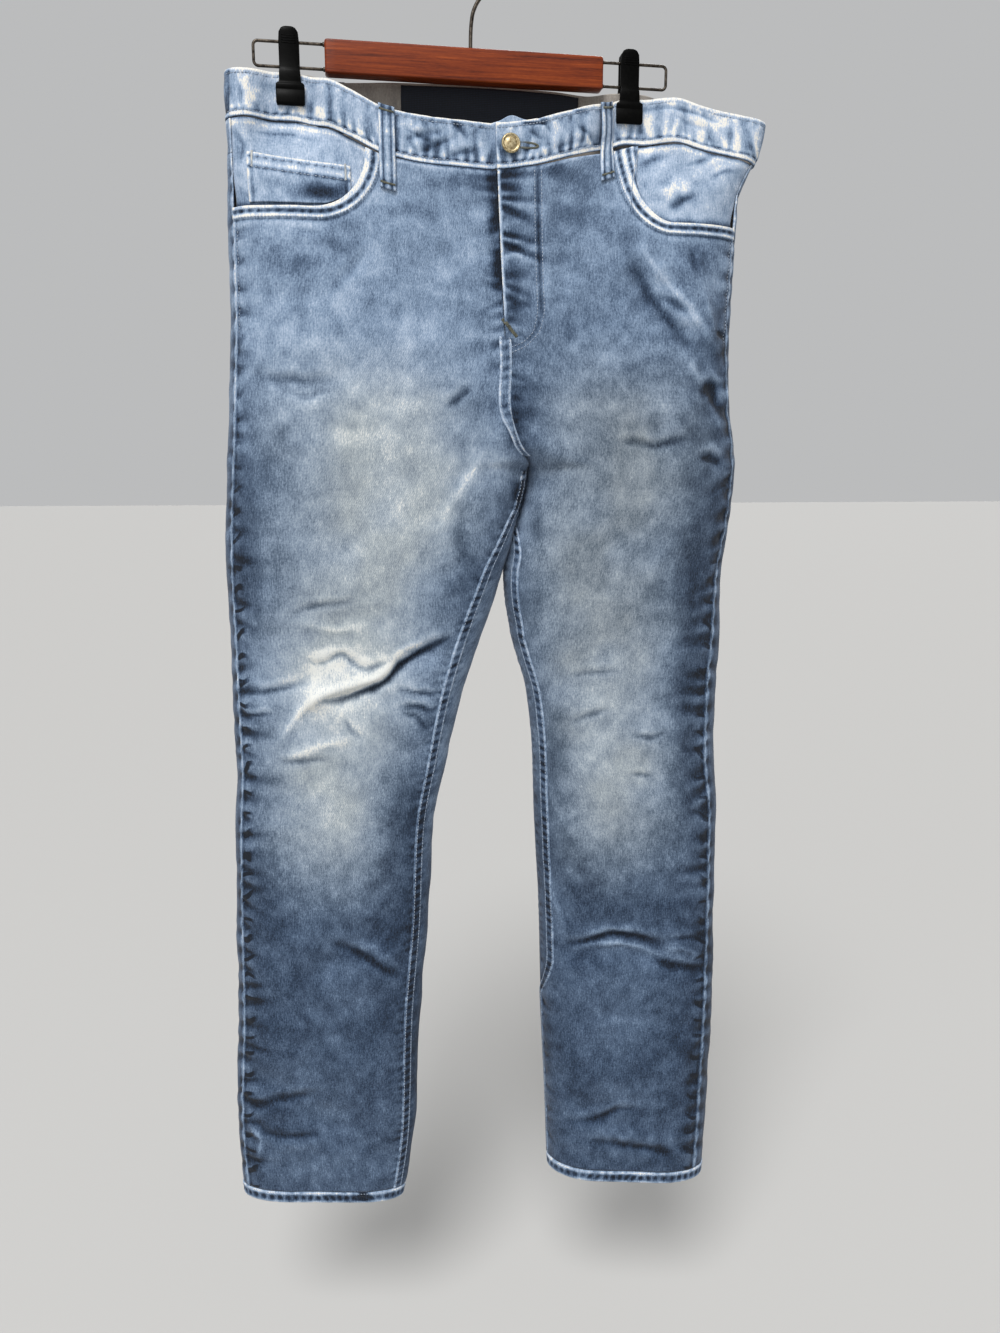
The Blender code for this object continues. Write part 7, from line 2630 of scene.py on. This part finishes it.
@dataclass
class Clip:
    """One spring clip on a wire loop: two jaws, a pivot and a coiled spring."""

    side: str
    x: float

    def build(self, shop: Workshop) -> None:
        """Builds both jaws and the spring."""
        for front in (True, False):
            self.jaw(shop, front)
        self.spring(shop)

    def jaw(self, shop: Workshop, front: bool) -> None:
        """A jaw: a rounded rectangle carried down the clip, wide at the pad."""
        side = -1 if front else 1
        rings = []
        for row in CLIP_ROWS:
            r = dict(zip(CLIP_COLUMNS, row))
            depth = r["far"] - r["near"]
            ease = min(0.0009, depth * 0.45)
            line = rounded_ring(r["half_width"], r["near"], r["far"], ease, 4)
            rings.append(np.stack([
                self.x + line[:, 0], side * line[:, 1], np.full(len(line), r["z"])
            ], axis=1))
        points = np.array(rings)
        count, size = points.shape[:2]
        wall = grid_faces(count, size, 0, True)
        ends = np.stack([np.arange(size)[::-1], (count - 1) * size + np.arange(size)])
        name = f"clip_{'front' if front else 'back'}_jaw_{self.side}"
        obj = make_mesh(name, points.reshape(-1, 3), [wall, ends], [shop.made["plastic"]])
        shop.place(obj, "clip_plastic", name)
        ribs, faces, start = [], [], 0
        for z in (-0.0790, -0.0810, -0.0830, -0.0850):
            x = self.x + np.linspace(-0.0060, 0.0060, 7)
            line = np.stack([x, np.full(7, side * 0.0050), np.full(7, z)], axis=1)
            vertices, parts = tube(line, 0.00045, 8)
            ribs.append(vertices)
            faces += [part + start for part in parts]
            start += len(vertices)
        name = f"clip_grip_{'front' if front else 'back'}_{self.side}"
        obj = make_mesh(name, np.concatenate(ribs), faces, [shop.made["plastic"]])
        shop.place(obj, "clip_plastic")

    def spring(self, shop: Workshop) -> None:
        """A coil of steel wire round the pivot, with both ends bent out."""
        turn = np.linspace(0, 2 * math.pi * 7, 150)
        x = self.x + np.linspace(-0.0070, 0.0070, 150)
        line = np.stack([x, 0.00105 * np.cos(turn), -0.093 + 0.00105 * np.sin(turn)], axis=1)
        vertices, faces = tube(line, 0.00042, 8)
        obj = make_mesh(f"clip_spring_{self.side}", vertices, faces, [shop.made["wire"]])
        shop.place(obj, "wire", f"clip_spring_{self.side}")


@dataclass
class Studio:
    """The plain floor, the soft light and the camera at the photo's angle."""

    floor_z: float = -1.42
    camera_at: tuple[float, float, float] = (-0.124, -0.977, -0.450)
    yaw: float = 9.0
    pitch: float = 11.0
    focal_px: float = 1002.0
    frame_height: float = 1333.0

    def build(self, finish: bpy.types.Material) -> None:
        """Builds the floor, the lights, the world and the camera."""
        bpy.ops.mesh.primitive_plane_add(size=60, location=(0, 0, self.floor_z))
        floor = bpy.context.object
        floor.name = "floor"
        floor.data.materials.append(finish)
        self.sun("key", 2.4, 54.0, -24.0, 24.0)
        self.sun("rear", 1.1, 38.0, 158.0, 25.0)
        self.lamp("softbox", (-0.8, -1.7, 0.5), (0.02, 0.0, -0.35), 1.4, 9.0)
        world = bpy.data.worlds.new("studio_air")
        world.use_nodes = True
        background = world.node_tree.nodes["Background"]
        background.inputs["Color"].default_value = linear("#F6F7F8")
        background.inputs["Strength"].default_value = 0.54
        bpy.context.scene.world = world
        bpy.context.scene.view_settings.view_transform = "Standard"
        self.camera()

    def sun(self, name: str, power: float, height: float, side: float, spread: float) -> None:
        """A wide soft sun, so that the floor is lit evenly to the horizon.

        Args:
            name: the light's name.
            power: its strength.
            height: degrees over the horizon.
            side: degrees to the right of the front, seen from the camera.
            spread: its width in degrees, which softens its shadows.
        """
        data = bpy.data.lights.new(name, "SUN")
        data.energy = power
        data.angle = math.radians(spread)
        obj = bpy.data.objects.new(name, data)
        obj.rotation_euler = (math.radians(90 - height), 0.0, math.radians(side))
        bpy.context.scene.collection.objects.link(obj)

    def lamp(
        self, name: str, at: tuple, aim: tuple, size: float, power: float
    ) -> None:
        """A large square lamp that looks at a point."""
        data = bpy.data.lights.new(name, "AREA")
        data.shape = "SQUARE"
        data.size = size
        data.energy = power
        obj = bpy.data.objects.new(name, data)
        obj.location = at
        away = np.array(at) - np.array(aim)
        flat = math.hypot(away[0], away[1])
        obj.rotation_euler = (math.atan2(flat, away[2]), 0.0, math.atan2(away[0], -away[1]))
        bpy.context.scene.collection.objects.link(obj)

    def camera(self) -> None:
        """A camera whose focal length in pixels is that worked out from the photo."""
        data = bpy.data.cameras.new("camera")
        data.sensor_width = 36.0
        data.lens = 36.0 * self.focal_px / self.frame_height
        data.clip_start = 0.02
        obj = bpy.data.objects.new("camera", data)
        obj.location = self.camera_at
        obj.rotation_euler = (math.radians(90 - self.pitch), 0.0, math.radians(-self.yaw))
        bpy.context.scene.collection.objects.link(obj)
        bpy.context.scene.camera = obj


def main() -> None:
    """Builds the jeans, the hanger and the studio, in that order."""
    logging.basicConfig(level=logging.INFO, format="%(message)s", stream=sys.stdout)
    made = finishes()
    shop = Workshop(
        made,
        Stitches("blue_stitching", made["thread"]),
        Stitches("cream_stitching", made["cream_thread"]),
        Stitches("tack_stitching", made["dark_thread"]),
    )
    for leg in (RIGHT, LEFT):
        panels = LegPanels(leg)
        panels.front(shop)
        panels.back(shop)
        Yoke(leg).build(shop)
        PocketFacing(leg).build(shop)
        BackPocket(leg).build(shop)
        Hem(leg).build(shop)
    Waistband().build(shop)
    CoinPocket().build(shop)
    FlyLayers().build(shop)
    for name, x, front in BELT_LOOPS:
        BeltLoop(name, x, front).build(shop)
    InnerLabel().build(shop)
    WaistButton().build(shop)
    seams = Seams()
    for leg in (RIGHT, LEFT):
        seams.inseam(shop, leg)
        seams.yoke(shop, leg)
    seams.centre(shop, True)
    seams.centre(shop, False)
    seams.rows(shop)
    for thread in (shop.blue, shop.cream, shop.tacks):
        shop.place(thread.build(), "denim")
    Hanger().build(shop)
    for side, x in (("right", CLIP_X[0]), ("left", CLIP_X[1])):
        Clip(side, x).build(shop)
    Studio().build(made["floor"])


if __name__ == "__main__":
    main()
